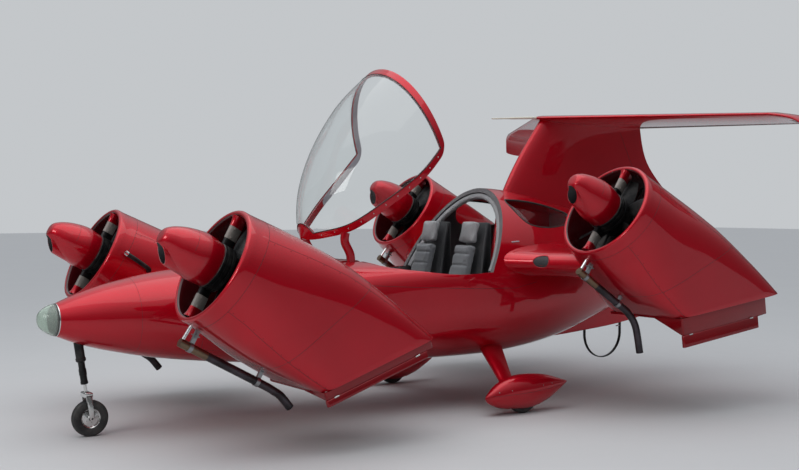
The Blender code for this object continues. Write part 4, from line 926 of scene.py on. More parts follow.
@dataclass(frozen=True)
class BodyLines:
    """Outer lines of the body: hull and cabin sections blended into one skin."""

    # station, half width, top, widest height, belly: shares of length, half width and height;
    # then the powers of the upper and lower ovals
    hull_shares: tuple = (
        (0.0176, 0.168, 0.531, 0.468, 0.405, 2.0, 2.0),
        (0.0415, 0.265, 0.568, 0.466, 0.368, 2.0, 2.1),
        (0.0750, 0.376, 0.606, 0.466, 0.332, 2.0, 2.2),
        (0.1300, 0.528, 0.645, 0.466, 0.290, 2.0, 2.4),
        (0.2060, 0.700, 0.667, 0.472, 0.256, 2.2, 2.6),
        (0.2980, 0.862, 0.679, 0.488, 0.232, 2.8, 2.8),
        (0.3890, 0.960, 0.674, 0.515, 0.216, 3.8, 3.0),
        (0.4960, 1.000, 0.660, 0.530, 0.212, 5.0, 3.0),
        (0.5650, 0.990, 0.720, 0.545, 0.221, 4.0, 2.8),
        (0.6490, 0.890, 0.920, 0.580, 0.262, 2.2, 2.4),
        (0.7400, 0.680, 0.850, 0.606, 0.360, 2.1, 2.2),
        (0.8470, 0.400, 0.755, 0.624, 0.488, 2.0, 2.0),
        (0.9466, 0.165, 0.682, 0.624, 0.571, 2.0, 2.0),
        (1.0000, 0.040, 0.636, 0.620, 0.604, 2.0, 2.0),
    )
    cabin_shares: tuple = (
        (0.4850, 0.985, 1.000, 0.560, 0.420),
        (0.5650, 0.975, 0.996, 0.570, 0.420),
        (0.6100, 0.930, 0.972, 0.580, 0.420),
        (0.6490, 0.865, 0.936, 0.590, 0.430),
        (0.7000, 0.740, 0.866, 0.600, 0.450),
    )
    half_width: float = 0.635
    top: float = 1.70
    blend_start: float = 2.95
    soft: float = 0.030
    half_points: int = 52
    ring_step: float = 0.045

    def hull(self, station: float) -> tuple[float, ...]:
        """Hull section at a station, in metres."""
        _, wide, top, middle, belly, upper, lower = row_at(self._hull_rows,
                                                           station / OVERALL_LENGTH)
        return (wide * self.half_width, top * self.top, middle * self.top, belly * self.top,
                upper, lower)

    def cabin(self, station: float) -> tuple[float, ...]:
        """Cabin section at a station, in metres."""
        _, wide, top, middle, belly = row_at(self._cabin_rows, station / OVERALL_LENGTH)
        return (wide * self.half_width, top * self.top, middle * self.top, belly * self.top)

    @property
    def _hull_rows(self) -> Rows:
        """Dense hull table."""
        return _dense(self.hull_shares, 8)

    @property
    def _cabin_rows(self) -> Rows:
        """Dense cabin table."""
        return _dense(self.cabin_shares, 8)

    def _hull_reach(self, row: tuple[float, ...], across: float, up: float, inset: float) -> float:
        """Distance from the hull's middle to its skin in a direction."""
        wide, top, middle, belly, upper, lower = row
        tall = (top - middle if up >= 0 else middle - belly) - inset
        power = upper if up >= 0 else lower
        return oval_reach(Vector((across, 0.0, up)), wide - inset, tall, power)

    def _cabin_reach(self, row: tuple[float, ...], start: float, across: float, up: float,
                     inset: float) -> float:
        """Distance from a start height to the cabin's skin in a direction."""
        wide, top, middle, belly = row
        wide -= inset
        for tall in (top - middle - inset, middle - belly - inset):
            a = (across / wide) ** 2 + (up / tall) ** 2
            b = 2 * (start - middle) * up / tall ** 2
            c = ((start - middle) / tall) ** 2 - 1.0
            inner = max(b * b - 4 * a * c, 0.0)
            reach = (-b + math.sqrt(inner)) / (2 * a)
            if start + reach * up >= middle:
                return reach
        return reach

    def ring(self, station: float, inset: float = 0.0, floor: Optional[float] = None) -> Places:
        """One closed section of the body.

        Args:
            station: distance aft of the nose tip.
            inset: how far inside the outer skin it lies.
            floor: height that cuts it off flat, if any.

        Returns:
            Points evenly spaced round it, from the belly round by the left.
        """
        hull = self.hull(station)
        middle = hull[2]
        share = ease((station - self.blend_start) / (3.177 - self.blend_start))
        if station > 4.585:
            share = 0.0
        cabin = self.cabin(min(max(station, 3.177), 4.585))
        dense = []
        for index in range(181):
            angle = math.radians(index - 90.0)
            across = math.cos(angle)
            up = math.sin(angle)
            reach = self._hull_reach(hull, across, up, inset)
            if share > 0.0:
                other = self._cabin_reach(cabin, middle, across, up, inset)
                both = soft_max(reach, other, self.soft * min(1.0, reach))
                reach = blend(reach, max(both, reach), share)
            height = middle + reach * up
            if floor is not None:
                height = max(height, floor)
            dense.append(Vector((reach * across, aft(station), height)))
        dense[0].x = 0.0
        dense[-1].x = 0.0
        half = resample(dense, self.half_points)
        other_half = [Vector((-point.x, point.y, point.z)) for point in reversed(half[1:-1])]
        return half + other_half

    def stations(self, start: float, end: float) -> list[float]:
        """Stations of the rings between two ends."""
        count = max(2, round((end - start) / self.ring_step))
        return [blend(start, end, index / count) for index in range(count + 1)]

    def solid(self, start: float, end: float, inset: float = 0.0,
              floor: Optional[float] = None) -> Mesh:
        """Closed solid of the body between two stations."""
        return loft([self.ring(station, inset, floor) for station in self.stations(start, end)])


@dataclass
class Tables:
    """Dense tables kept after their first use."""

    kept: dict = field(default_factory=dict)


TABLES = Tables()


def _dense(shares: tuple, steps: int) -> Rows:
    """Smooth a table once and keep it."""
    key = (id(shares), steps)
    if key not in TABLES.kept:
        TABLES.kept[key] = curve_rows(shares, steps)
    return TABLES.kept[key]


def resample(line: Places, count: int) -> Places:
    """Points evenly spaced along a line, its ends kept.

    Args:
        line: the given points.
        count: how many spaces the result has.

    Returns:
        The evenly spaced points.
    """
    reach = [0.0]
    for start, end in zip(line, line[1:]):
        reach.append(reach[-1] + (end - start).length)
    total = reach[-1]
    points = []
    index = 0
    for step in range(count + 1):
        goal = total * step / count
        while index < len(reach) - 2 and reach[index + 1] < goal:
            index += 1
        width = reach[index + 1] - reach[index]
        share = (goal - reach[index]) / width if width > 0 else 0.0
        points.append(line[index].lerp(line[index + 1], min(max(share, 0.0), 1.0)))
    return points


def closed_curve(points: Sequence[tuple[float, float]], steps: int) -> list[tuple[float, float]]:
    """Smooth closed line through two-number points.

    Args:
        points: the points in order.
        steps: how many points each interval gets.

    Returns:
        The denser closed line.
    """
    whole = list(points)
    padded = [whole[-1]] + whole + [whole[0], whole[1]]
    rows = curve_rows(padded, steps)
    return [tuple(row) for row in rows[steps:-steps - 1]]


class Surface:
    """Outer skin to lay seams, screws and frames on."""

    def __init__(self, bm: Mesh) -> None:
        """Keep a search tree of a mesh."""
        bmesh.ops.recalc_face_normals(bm, faces=bm.faces)
        self.tree = BVHTree.FromBMesh(bm)

    def cast(self, start: Vector, along: Vector) -> Optional[tuple[Vector, Vector]]:
        """Nearest point and outward normal hit by a ray."""
        place, normal, _, _ = self.tree.ray_cast(start, along)
        if place is None:
            return None
        return place, normal if normal.dot(along) < 0 else -normal

    def under(self, point: Vector, depth: float) -> bool:
        """Whether a point lies at least a depth under the skin."""
        place, normal, _, distance = self.tree.find_nearest(point)
        return distance > depth and (point - place).dot(normal) < 0.0

    def side(self, side: Side, station: float, height: float) -> Optional[tuple[Vector, Vector]]:
        """Point of the skin seen from one side."""
        return self.cast(Vector((side.value * 4.0, aft(station), height)),
                         Vector((-side.value, 0.0, 0.0)))


def seam_line(hits: Sequence[Optional[tuple[Vector, Vector]]], radius: float = 0.0016,
              sunk: float = 0.0009, closed: bool = False) -> Optional[Mesh]:
    """Thin dark line laid into a skin.

    Args:
        hits: places and normals of the skin along it.
        radius: half its width.
        sunk: how far its centre lies under the skin.
        closed: join its ends.

    Returns:
        The line, or nothing where the skin isn't hit.
    """
    points = [place - normal * sunk for place, normal in (hit for hit in hits if hit)]
    if len(points) < 3:
        return None
    return pipe(points, radius, 6, closed)


def screw_head(place: Vector, normal: Vector, radius: float = 0.005) -> Mesh:
    """Small domed screw head sunk into a skin."""
    profile = [(-radius * 0.6, radius * 0.9), (radius * 0.05, radius), (radius * 0.22, radius * 0.8),
               (radius * 0.28, radius * 0.35), (radius * 0.05, radius * 0.25),
               (radius * 0.05, 0.0)]
    return lathe(profile, 10, place, normal)


def along_points(points: Sequence[tuple[float, float]], count: int) -> list[tuple[float, float]]:
    """Evenly spaced pairs along straight runs between pairs."""
    line = resample([Vector((a, b, 0.0)) for a, b in points], count)
    return [(point.x, point.y) for point in line]


@dataclass
class CanopyLines:
    """Closed canopy's shape, and its swing to the open place."""

    tip_station: float = 2.192
    length: float = 1.400
    half_width: float = 0.605
    foot: float = 1.072
    rise: float = 0.640
    hinge_station: float = 2.024
    hinge_height: float = 1.030
    open_angle: float = math.radians(46.0)
    frame_width: float = 0.055
    tip_share: float = 0.075
    widest_angle: float = math.radians(24.0)
    corner: float = 0.085
    # along, half width, rail station and height, crown station and height, as shares
    section_shares: tuple = (
        (0.00, 0.06, 0.000, 0.255, -0.006, 0.305),
        (0.12, 0.29, 0.043, 0.196, 0.085, 0.495),
        (0.30, 0.59, 0.147, 0.099, 0.256, 0.727),
        (0.52, 0.82, 0.333, 0.040, 0.481, 0.900),
        (0.78, 0.99, 0.569, -0.015, 0.750, 0.985),
        (1.00, 1.00, 0.780, 0.000, 0.997, 0.950),
    )

    def rows(self) -> Rows:
        """Sections in metres: along, half width, rail y and z, crown y and z."""
        made = []
        for along, wide, rail, rail_rise, crown, crown_rise in _dense(self.section_shares, 16):
            made.append((along, wide * self.half_width,
                         aft(self.tip_station + rail * self.length),
                         self.foot + rail_rise * self.rise,
                         aft(self.tip_station + crown * self.length),
                         self.foot + crown_rise * self.rise))
        return made

    def point(self, rows: Rows, along: float, angle: float, depth: float) -> Vector:
        """Point of the closed canopy; angle 0 is the left rail."""
        along, angle = self.rounded(rows, along, angle)
        _, wide, rail_y, rail_z, crown_y, crown_z = row_at(rows, along)
        rise = Vector((0.0, crown_y - rail_y, crown_z - rail_z))
        height = rise.length
        across = math.cos(angle)
        up = math.sin(angle)
        normal = Vector((across / wide, 0.0, 0.0)) + rise.normalized() * (up / height)
        surface = Vector((across * wide, rail_y, rail_z)) + rise.normalized() * (height * up)
        return surface - normal.normalized() * depth

    def rounded(self, rows: Rows, along: float, angle: float) -> tuple[float, float]:
        """Draw a place near the frame's aft foot in to that foot's round corner."""
        _, _, rail_y, rail_z, crown_y, crown_z = row_at(rows, along)
        reach = math.hypot(crown_y - rail_y, crown_z - rail_z) / self.corner
        run = (1.0 - along) * self.length / self.corner
        rise = min(angle, math.pi - angle) * reach
        if run >= 1.0 or rise >= 1.0:
            return along, angle
        run, rise = (1.0 - (1.0 - run) * math.sqrt(1.0 - (1.0 - rise) ** 2 / 2),
                     1.0 - (1.0 - rise) * math.sqrt(1.0 - (1.0 - run) ** 2 / 2))
        low = rise / reach
        return 1.0 - run * self.corner / self.length, low if angle < 1.5 else math.pi - low

    def edge_angle(self, rows: Rows, along: float) -> float:
        """Angle that the side frame takes at a place."""
        _, _, rail_y, rail_z, crown_y, crown_z = row_at(rows, along)
        height = math.hypot(crown_y - rail_y, crown_z - rail_z)
        return min(self.frame_width / height, self.widest_angle)

    def swing(self, point: Vector) -> Vector:
        """A closed canopy's point when it stands open."""
        pivot = Vector((0.0, aft(self.hinge_station), self.hinge_height))
        return pivot + Matrix.Rotation(self.open_angle, 3, "X") @ (point - pivot)


@dataclass
class Nacelle:
    """Lines of one size of ducted nacelle, in its own axes: X out, Y aft along it, Z up."""

    name: str
    station: float
    offset: float
    height: float
    tilt: float
    radius: float
    low_reach: float
    low_drop: float
    tip_reach: float
    tip_rise: float
    box_depth: float
    flap_depth: float
    box_short: float
    flap_short: float
    pipe_bend: float
    pipe_end_reach: float
    pipe_end_drop: float
    # across, front station, chord, height, thickness of the stub wing's sections
    stub_rows: tuple
    lip: float = 0.040
    exit_wall: float = 0.018
    points: int = 96
    # along to the exit, low edge and high edge of the way from lip to exit corner, power
    outer_shares: tuple = (
        (0.04, 0.00, 0.00, 2.0),
        (0.25, 0.50, -0.18, 2.4),
        (0.50, 1.00, -0.12, 3.6),
        (0.75, 1.10, 0.36, 5.5),
        (1.00, 1.00, 1.00, 9.0),
    )

    def place(self, side: Side) -> Matrix:
        """Transform from the nacelle's axes to the world."""
        where = Vector((side.value * self.offset, aft(self.station), self.height))
        return Matrix.Translation(where) @ Matrix.Rotation(-self.tilt, 4, "X")

    def rows(self) -> Rows:
        """Dense table of the duct's outside."""
        made = []
        for start, end in zip(self.outer_shares, self.outer_shares[1:]):
            for step in range(6):
                made.append(tuple(blend(a, b, step / 6) for a, b in zip(start, end)))
        made.append(self.outer_shares[-1])
        return made

    def ring_point(self, row: tuple[float, ...], angle: float, inset: float) -> Vector:
        """Point of the duct's wall at an angle round it, 0 being out along X."""
        share, low_share, high_share, power = row
        low = Vector((0.0, share * self.low_reach,
                      -blend(self.radius, self.low_drop, low_share)))
        high = Vector((0.0, share * self.tip_reach,
                       blend(self.radius, self.tip_rise, high_share)))
        centre = (low + high) / 2
        upward = (high - low).normalized()
        half_height = (high - low).length / 2 - inset
        across, up = oval(angle, power)
        return centre + upward * (half_height * up) + Vector(((self.radius - inset) * across, 0, 0))

    def wall(self, share: float) -> float:
        """Wall of the duct at a share of the way to its exit."""
        return blend(self.lip, self.exit_wall, max(0.0, (share - 0.5) * 2))

    def ring(self, row: tuple[float, ...], inset: float) -> Places:
        """One ring of the duct's wall."""
        return [self.ring_point(row, math.tau * index / self.points, inset)
                for index in range(self.points)]

    def lip_ring(self, angle: float) -> Places:
        """Ring of the round inlet lip: angle 0 is the outside, half a turn the inside."""
        radius = self.radius - self.lip / 2 + self.lip / 2 * math.cos(angle)
        reach = self.lip / 2 * (1 - math.sin(angle))
        return [Vector((radius * math.cos(math.tau * index / self.points), reach,
                        radius * math.sin(math.tau * index / self.points)))
                for index in range(self.points)]

    def outside(self, grow: float) -> Mesh:
        """Closed solid of the duct's outside, grown by a gap."""
        rings = [self.ring(row, -grow) for row in self.rows()]
        front = [Vector((point.x, -grow, point.z)) for point in rings[0]]
        return loft([front] + rings)

    def exit_lines(self) -> tuple[Vector, Vector, Vector, float]:
        """Low corner of the exit, the way up its slant, the way out, and its length."""
        low = Vector((0.0, self.low_reach, -self.low_drop))
        high = Vector((0.0, self.tip_reach, self.tip_rise))
        along = (high - low).normalized()
        return low, along, Vector((0.0, along.z, -along.y)), (high - low).length


FRONT_NACELLE = Nacelle(
    "front", 0.742, 1.100, 1.190, math.radians(28.6), 0.385, 0.887, 0.424, 1.500, 0.255,
    0.050, 0.095, 0.060, 0.115, 0.730, 0.190, 0.050,
    ((0.10, 1.00, 1.00, 0.900, 0.230), (0.33, 1.05, 0.82, 0.900, 0.202),
     (0.48, 1.10, 0.72, 0.900, 0.178), (0.62, 1.15, 0.64, 0.900, 0.167),
     (0.80, 1.19, 0.62, 0.900, 0.176), (1.10, 1.23, 0.62, 0.900, 0.189)))
REAR_NACELLE = Nacelle(
    "rear", 3.753, 1.350, 1.525, math.radians(33.5), 0.388, 0.779, 0.443, 1.636, 0.300,
    0.125, 0.215, 0.205, 0.310, 0.600, 0.300, 0.190,
    ((0.20, 3.25, 1.50, 1.115, 0.320), (0.50, 3.34, 1.36, 1.115, 0.288),
     (0.64, 3.43, 1.22, 1.115, 0.258), (0.80, 3.53, 1.13, 1.115, 0.243),
     (1.00, 3.62, 1.10, 1.115, 0.256), (1.35, 3.75, 1.10, 1.115, 0.275)))


@dataclass
class Fuselage:
    """Hull, cabin and stub wings in one hollow skin, with the nose cone and side windows."""

    finishes: Finishes
    canopy: CanopyLines
    lines: BodyLines = field(default_factory=BodyLines)
    wall: float = 0.035
    floor: float = 0.46
    room_start: float = 1.85
    room_end: float = 4.30
    hatch_low: float = 0.900
    over: float = 2.10
    running_gap: float = 0.008
    frame_depth: float = 0.022
    hoop_station: float = 3.300
    hoop_height: float = 1.060
    hoop_lean: float = math.radians(27.5)
    front_station: float = 0.117
    cone_tip_height: float = 0.801
    cone_tip_size: float = 0.006
    window_station: float = 3.640
    window_length: float = 0.660
    window_low: float = 1.375
    window_height: float = 0.225
    window_shares: tuple = (
        (0.00, 0.95), (0.05, 0.50), (0.14, 0.18), (0.30, 0.03), (0.55, 0.00),
        (0.80, 0.08), (0.95, 0.25), (1.00, 0.50), (0.80, 0.72), (0.45, 0.92), (0.10, 1.00),
    )
    # stations of the arm slots and their half width
    slot_start: float = 2.100
    slot_end: float = 2.395
    slot_centre: float = 0.300
    slot_half: float = 0.028

    def hoop_station_at(self, height: float) -> float:
        """Station of the hoop plane at a height."""
        return self.hoop_station + (height - self.hoop_height) * math.tan(self.hoop_lean)

    def window_line(self, inset: float) -> list[tuple[float, float]]:
        """Smooth outline of the side window as (y, z), moved in by an inset."""
        points = []
        middle_y = aft(self.window_station + self.window_length / 2)
        middle_z = self.window_low + self.window_height / 2
        for along, rise in closed_curve(self.window_shares, 8):
            y = aft(self.window_station + along * self.window_length)
            z = self.window_low + rise * self.window_height
            points.append((y - math.copysign(min(inset, abs(y - middle_y)), y - middle_y),
                           z - math.copysign(min(inset, abs(z - middle_z)), z - middle_z)))
        return points

    def window_prism(self, inset: float, low: float, high: float) -> Mesh:
        """Solid through one or both side windows."""
        outline = [Vector((low, y, z)) for y, z in self.window_line(inset)]
        return panel(outline, Vector((high - low, 0.0, 0.0)))

    def hatch(self) -> Mesh:
        """Solid that opens the deck under the canopy."""
        rail = self.canopy.rows()
        left = [(row[1] - self.canopy.frame_width / 2, row[2]) for row in rail[::3]
                if row[1] > self.canopy.frame_width * 2]
        left.append((left[-1][0], aft(self.hoop_station) - self.running_gap))
        outline = left + [(-wide, y) for wide, y in reversed(left)]
        base = [Vector((wide, y, self.hatch_low)) for wide, y in outline]
        return panel(base, Vector((0.0, 0.0, self.over - self.hatch_low)))

    def sill(self) -> Mesh:
        """Solid that trims the body down to the canopy's rail."""
        rail = self.canopy.rows()
        clear = self.frame_depth + self.running_gap
        low = rail[-1][3] - clear
        profile = [(row[2], row[3] - clear) for row in rail[::6]]
        profile += [(aft(self.hoop_station_at(low)), low),
                    (aft(self.hoop_station_at(self.over)), self.over),
                    (rail[0][2] - clear, self.over)]
        wide = self.lines.half_width * 2
        return panel([Vector((-wide, y, z)) for y, z in profile], Vector((wide * 2, 0.0, 0.0)))

    def stub(self, nacelle: Nacelle, side: Side) -> Mesh:
        """Stub wing, flared where it leaves the hull, cut off at the duct's outside."""
        rings = []
        for row in curve_rows(nacelle.stub_rows, 6):
            across, front, chord, height, thickness = row
            ring = []
            for index in range(56):
                along, up = oval(math.tau * index / 56, 2.4)
                ring.append(Vector((side.value * across, aft(front + chord / 2 * (1 + along)),
                                    height + up * thickness / 2)))
            rings.append(ring)
        outside = moved(nacelle.outside(0.0006), nacelle.place(side))
        return carved(loft(rings), [("DIFFERENCE", outside)])

    def build(self) -> None:
        """Make every piece of the body."""
        lines = self.lines
        skin = lines.solid(self.front_station, OVERALL_LENGTH)
        self.surface = Surface(skin)
        room = lines.solid(self.room_start, self.room_end, self.wall, self.floor)
        steps = []
        for nacelle in (FRONT_NACELLE, REAR_NACELLE):
            for side in Side:
                steps.append(("UNION", self.stub(nacelle, side)))
        steps.append(("DIFFERENCE", room))
        steps.append(("DIFFERENCE", self.hatch()))
        steps.append(("DIFFERENCE", self.sill()))
        steps.append(("DIFFERENCE", self.window_prism(0.0, -lines.half_width, lines.half_width)))
        for side in Side:
            middle = side.value * self.slot_centre
            steps.append(("DIFFERENCE", brick(
                (middle - self.slot_half, aft(self.slot_start), 1.030),
                (middle + self.slot_half, aft(self.slot_end), self.over))))
        body = carved(skin, steps)
        for face in body.faces:
            centre = face.calc_center_median()
            inner = self.surface.under(centre, self.wall * 0.7) and centre.y > aft(1.9)
            face.material_index = int(inner)
        made = place_piece(body, "body_shell", self.finishes.paint, BODY, ("fuselage",),
                           sharp=34.0, second=self.finishes.liner)
        rim = made.modifiers.new("edge", "BEVEL")
        rim.width = 0.0025
        rim.segments = 2
        rim.limit_method = "ANGLE"
        rim.angle_limit = math.radians(50.0)
        self.dress_windows()
        self.dress_nose()
        self.dress_skin()

    def dress_windows(self) -> None:
        """Clear panes with rubber gaskets round them."""
        lines = self.lines
        for side in Side:
            ends = sorted((side.value * 0.150, side.value * lines.half_width))
            outer = lines.solid(3.30, 4.60, 0.005)
            inner = lines.solid(3.28, 4.62, 0.011)
            pane = carved(self.window_prism(0.0004, *ends),
                          [("INTERSECT", outer), ("DIFFERENCE", inner)])
            place_piece(pane, "side_pane_" + side.label, self.finishes.glass, BODY,
                        ("window_" + side.label,))
            hits = [self.surface.cast(Vector((side.value * 4, y, z)), Vector((-side.value, 0, 0)))
                    for y, z in self.window_line(-0.002)]
            points = [place - normal * 0.004 for place, normal in (hit for hit in hits if hit)]
            place_piece(pipe(points, 0.0075, 10, True), "side_pane_gasket_" + side.label,
                        self.finishes.gasket, BODY)

    def dress_nose(self) -> None:
        """Pale nose cone with the dark band and metal ring at its joint."""
        front = self.lines.hull(self.front_station)
        radius = front[0]
        height = front[2]
        rings = []
        shares = ((0.0, 0.0), (0.03, 0.22), (0.10, 0.40), (0.22, 0.56), (0.38, 0.70), (0.60, 0.85),
                  (0.82, 0.95), (1.0, 1.0))
        for along, size in curve_rows(shares, 5):
            centre = blend(self.cone_tip_height, height, along)
            wide = blend(self.cone_tip_size, radius, size)
            reach = aft(along * (self.front_station - 0.006))
            rings.append([Vector((wide * math.cos(math.tau * index / 64), reach,
                                  centre + wide * math.sin(math.tau * index / 64)))
                          for index in range(64)])
        hollow = [[centre_of + (point - centre_of) * 0.90 for point in ring]
                  for ring in rings[4:] for centre_of in (sum(ring, Vector()) / len(ring),)]
        hollow.append([point + Vector((0, 0.01, 0)) for point in hollow[-1]])
        cone = carved(loft(rings), [("DIFFERENCE", loft(hollow))])
        place_piece(cone, "nose_point", self.finishes.nose, BODY, ("nose_cone",))
        wall = [(-0.022, 0.0), (-0.022, radius * 0.50), (-0.010, radius * 0.84),
                (0.002, radius * 0.90), (0.004, radius * 0.90), (0.004, 0.0)]
        place_piece(lathe(wall, 64, Vector((0.0, aft(self.front_station) - 0.012, height)),
                          Vector((0.0, 1.0, 0.0))), "nose_bulkhead", self.finishes.lining, BODY)
        centre = Vector((0.0, aft(self.front_station) - 0.009, height))
        back = Vector((0.0, 1.0, 0.0))
        band = [(0.0, radius * 0.9), (0.0, radius * 0.985), (0.003, radius + 0.0006),
                (0.010, radius + 0.0012), (0.012, radius * 0.9)]
        place_piece(lathe(band, 72, centre, back), "nose_dark_band", self.finishes.gasket, BODY)
        ring = [(0.010, radius * 0.9), (0.010, radius + 0.0008), (0.013, radius + 0.0026),
                (0.021, radius + 0.0040), (0.024, radius * 0.96)]
        place_piece(lathe(ring, 72, centre, back), "nose_metal_ring", self.finishes.bright, BODY)

    def seam(self, name: str, hits: Sequence, radius: float = 0.0016, closed: bool = False) -> None:
        """Lay one seam into the skin."""
        made = seam_line(hits, radius, radius * 0.6, closed)
        if made is not None:
            place_piece(made, name, self.finishes.seam, BODY)

    def dress_skin(self) -> None:
        """Panel seams, screws in the darker red of painted shade, the front vent slot, and on the rear
        stubs a dark sheet painted in as the shade of an oval recess.
        """
        surface = self.surface
        # stations and heights of the side hatch's corners
        hatch_corners = ((1.02, 0.560), (1.02, 0.700), (1.34, 0.715), (1.34, 0.560), (1.02, 0.560))
        crease = ((2.10, 0.985), (2.60, 0.952), (3.10, 0.925), (3.50, 0.915), (3.72, 0.955))
        lower = ((0.55, 0.565), (1.30, 0.505), (2.20, 0.470), (3.10, 0.462), (4.00, 0.500))
        joints = (0.62, 1.98, 4.72, 5.60)
        for side in Side:
            for name, corners, count in (("hatch", hatch_corners, 90), ("crease", crease, 60),
                                         ("lower", lower, 80)):
                hits = [surface.side(side, station, height)
                        for station, height in along_points(corners, count)]
                self.seam("seam_%s_%s" % (name, side.label), hits,
                          0.0013 if name != "crease" else 0.0020)
        for number, station in enumerate(joints):
            ring = self.lines.ring(station)
            hull = self.lines.hull(station)
            centre = Vector((0.0, aft(station), hull[2]))
            hits = [(point, (point - centre).normalized()) for point in ring]
            self.seam("seam_ring_%d" % number, hits, 0.0013, True)
        heads = []
        for side in Side:
            spots = along_points(hatch_corners, 22)
            spots += [(station, 0.58) for station in (0.68, 0.78, 0.88)]
            for station, height in spots:
                hit = surface.side(side, station, height)
                if hit:
                    heads.append(screw_head(hit[0] + hit[1] * 0.0002, hit[1], 0.0042))
        # The screw heads take the darker copy of the red paint: painted shade.
        place_piece(join(heads), "skin_screws", self.finishes.painted_shade_red, BODY)
        self.stub_openings()

    def stub_openings(self) -> None:
        """Dark D-shaped sheet with a red rim on the front of each rear stub, painted shade standing
        for a recess, and a pale slot above it.
        """
        made = bpy.data.objects["body_shell"]
        hull = BVHTree.FromObject(made, bpy.context.evaluated_depsgraph_get())
        for side in Side:
            rim = []
            for index in range(40):
                turn = math.tau * index / 40
                across = math.copysign(abs(math.cos(turn)) ** 0.8, math.cos(turn)) * 0.060
                rise = math.sin(turn) * (0.040 if math.sin(turn) > 0 else 0.052)
                start = Vector((side.value * (0.862 + across), aft(2.6), 1.130 + rise))
                place = hull.ray_cast(start, Vector((0.0, 1.0, 0.0)))[0]
                if place is not None:
                    rim.append(place)
            if len(rim) < 40:
                continue
            place_piece(pipe(rim, 0.0045, 10, True), "stub_recess_rim_" + side.label,
                        self.finishes.paint, BODY)
            # Near-black sheet laid 1 mm in front of the uncut stub skin: painted shade of a recess.
            middle = Vector((side.value * 0.862, aft(2.6), 1.130))
            rings = []
            for size in (0.98, 0.75, 0.5, 0.25, 0.02):
                ring = []
                for point in rim:
                    start = middle + (Vector((point.x, middle.y, point.z)) - middle) * size
                    ring.append(hull.ray_cast(start, Vector((0.0, 1.0, 0.0)))[0]
                                + Vector((0.0, -0.0010, 0.0)))
                rings.append(ring)
            place_piece(loft(rings), "stub_recess_" + side.label, self.finishes.lining, BODY)
            slot = []
            for index in range(9):
                hit = self.surface.side(side, 3.515 + 0.0095 * index, 1.268 + 0.0005 * index)
                if hit is not None:
                    slot.append(hit[0])
            if len(slot) > 2:
                place_piece(pipe(slot, 0.0055, 8), "stub_slot_" + side.label, self.finishes.trim,
                            BODY)


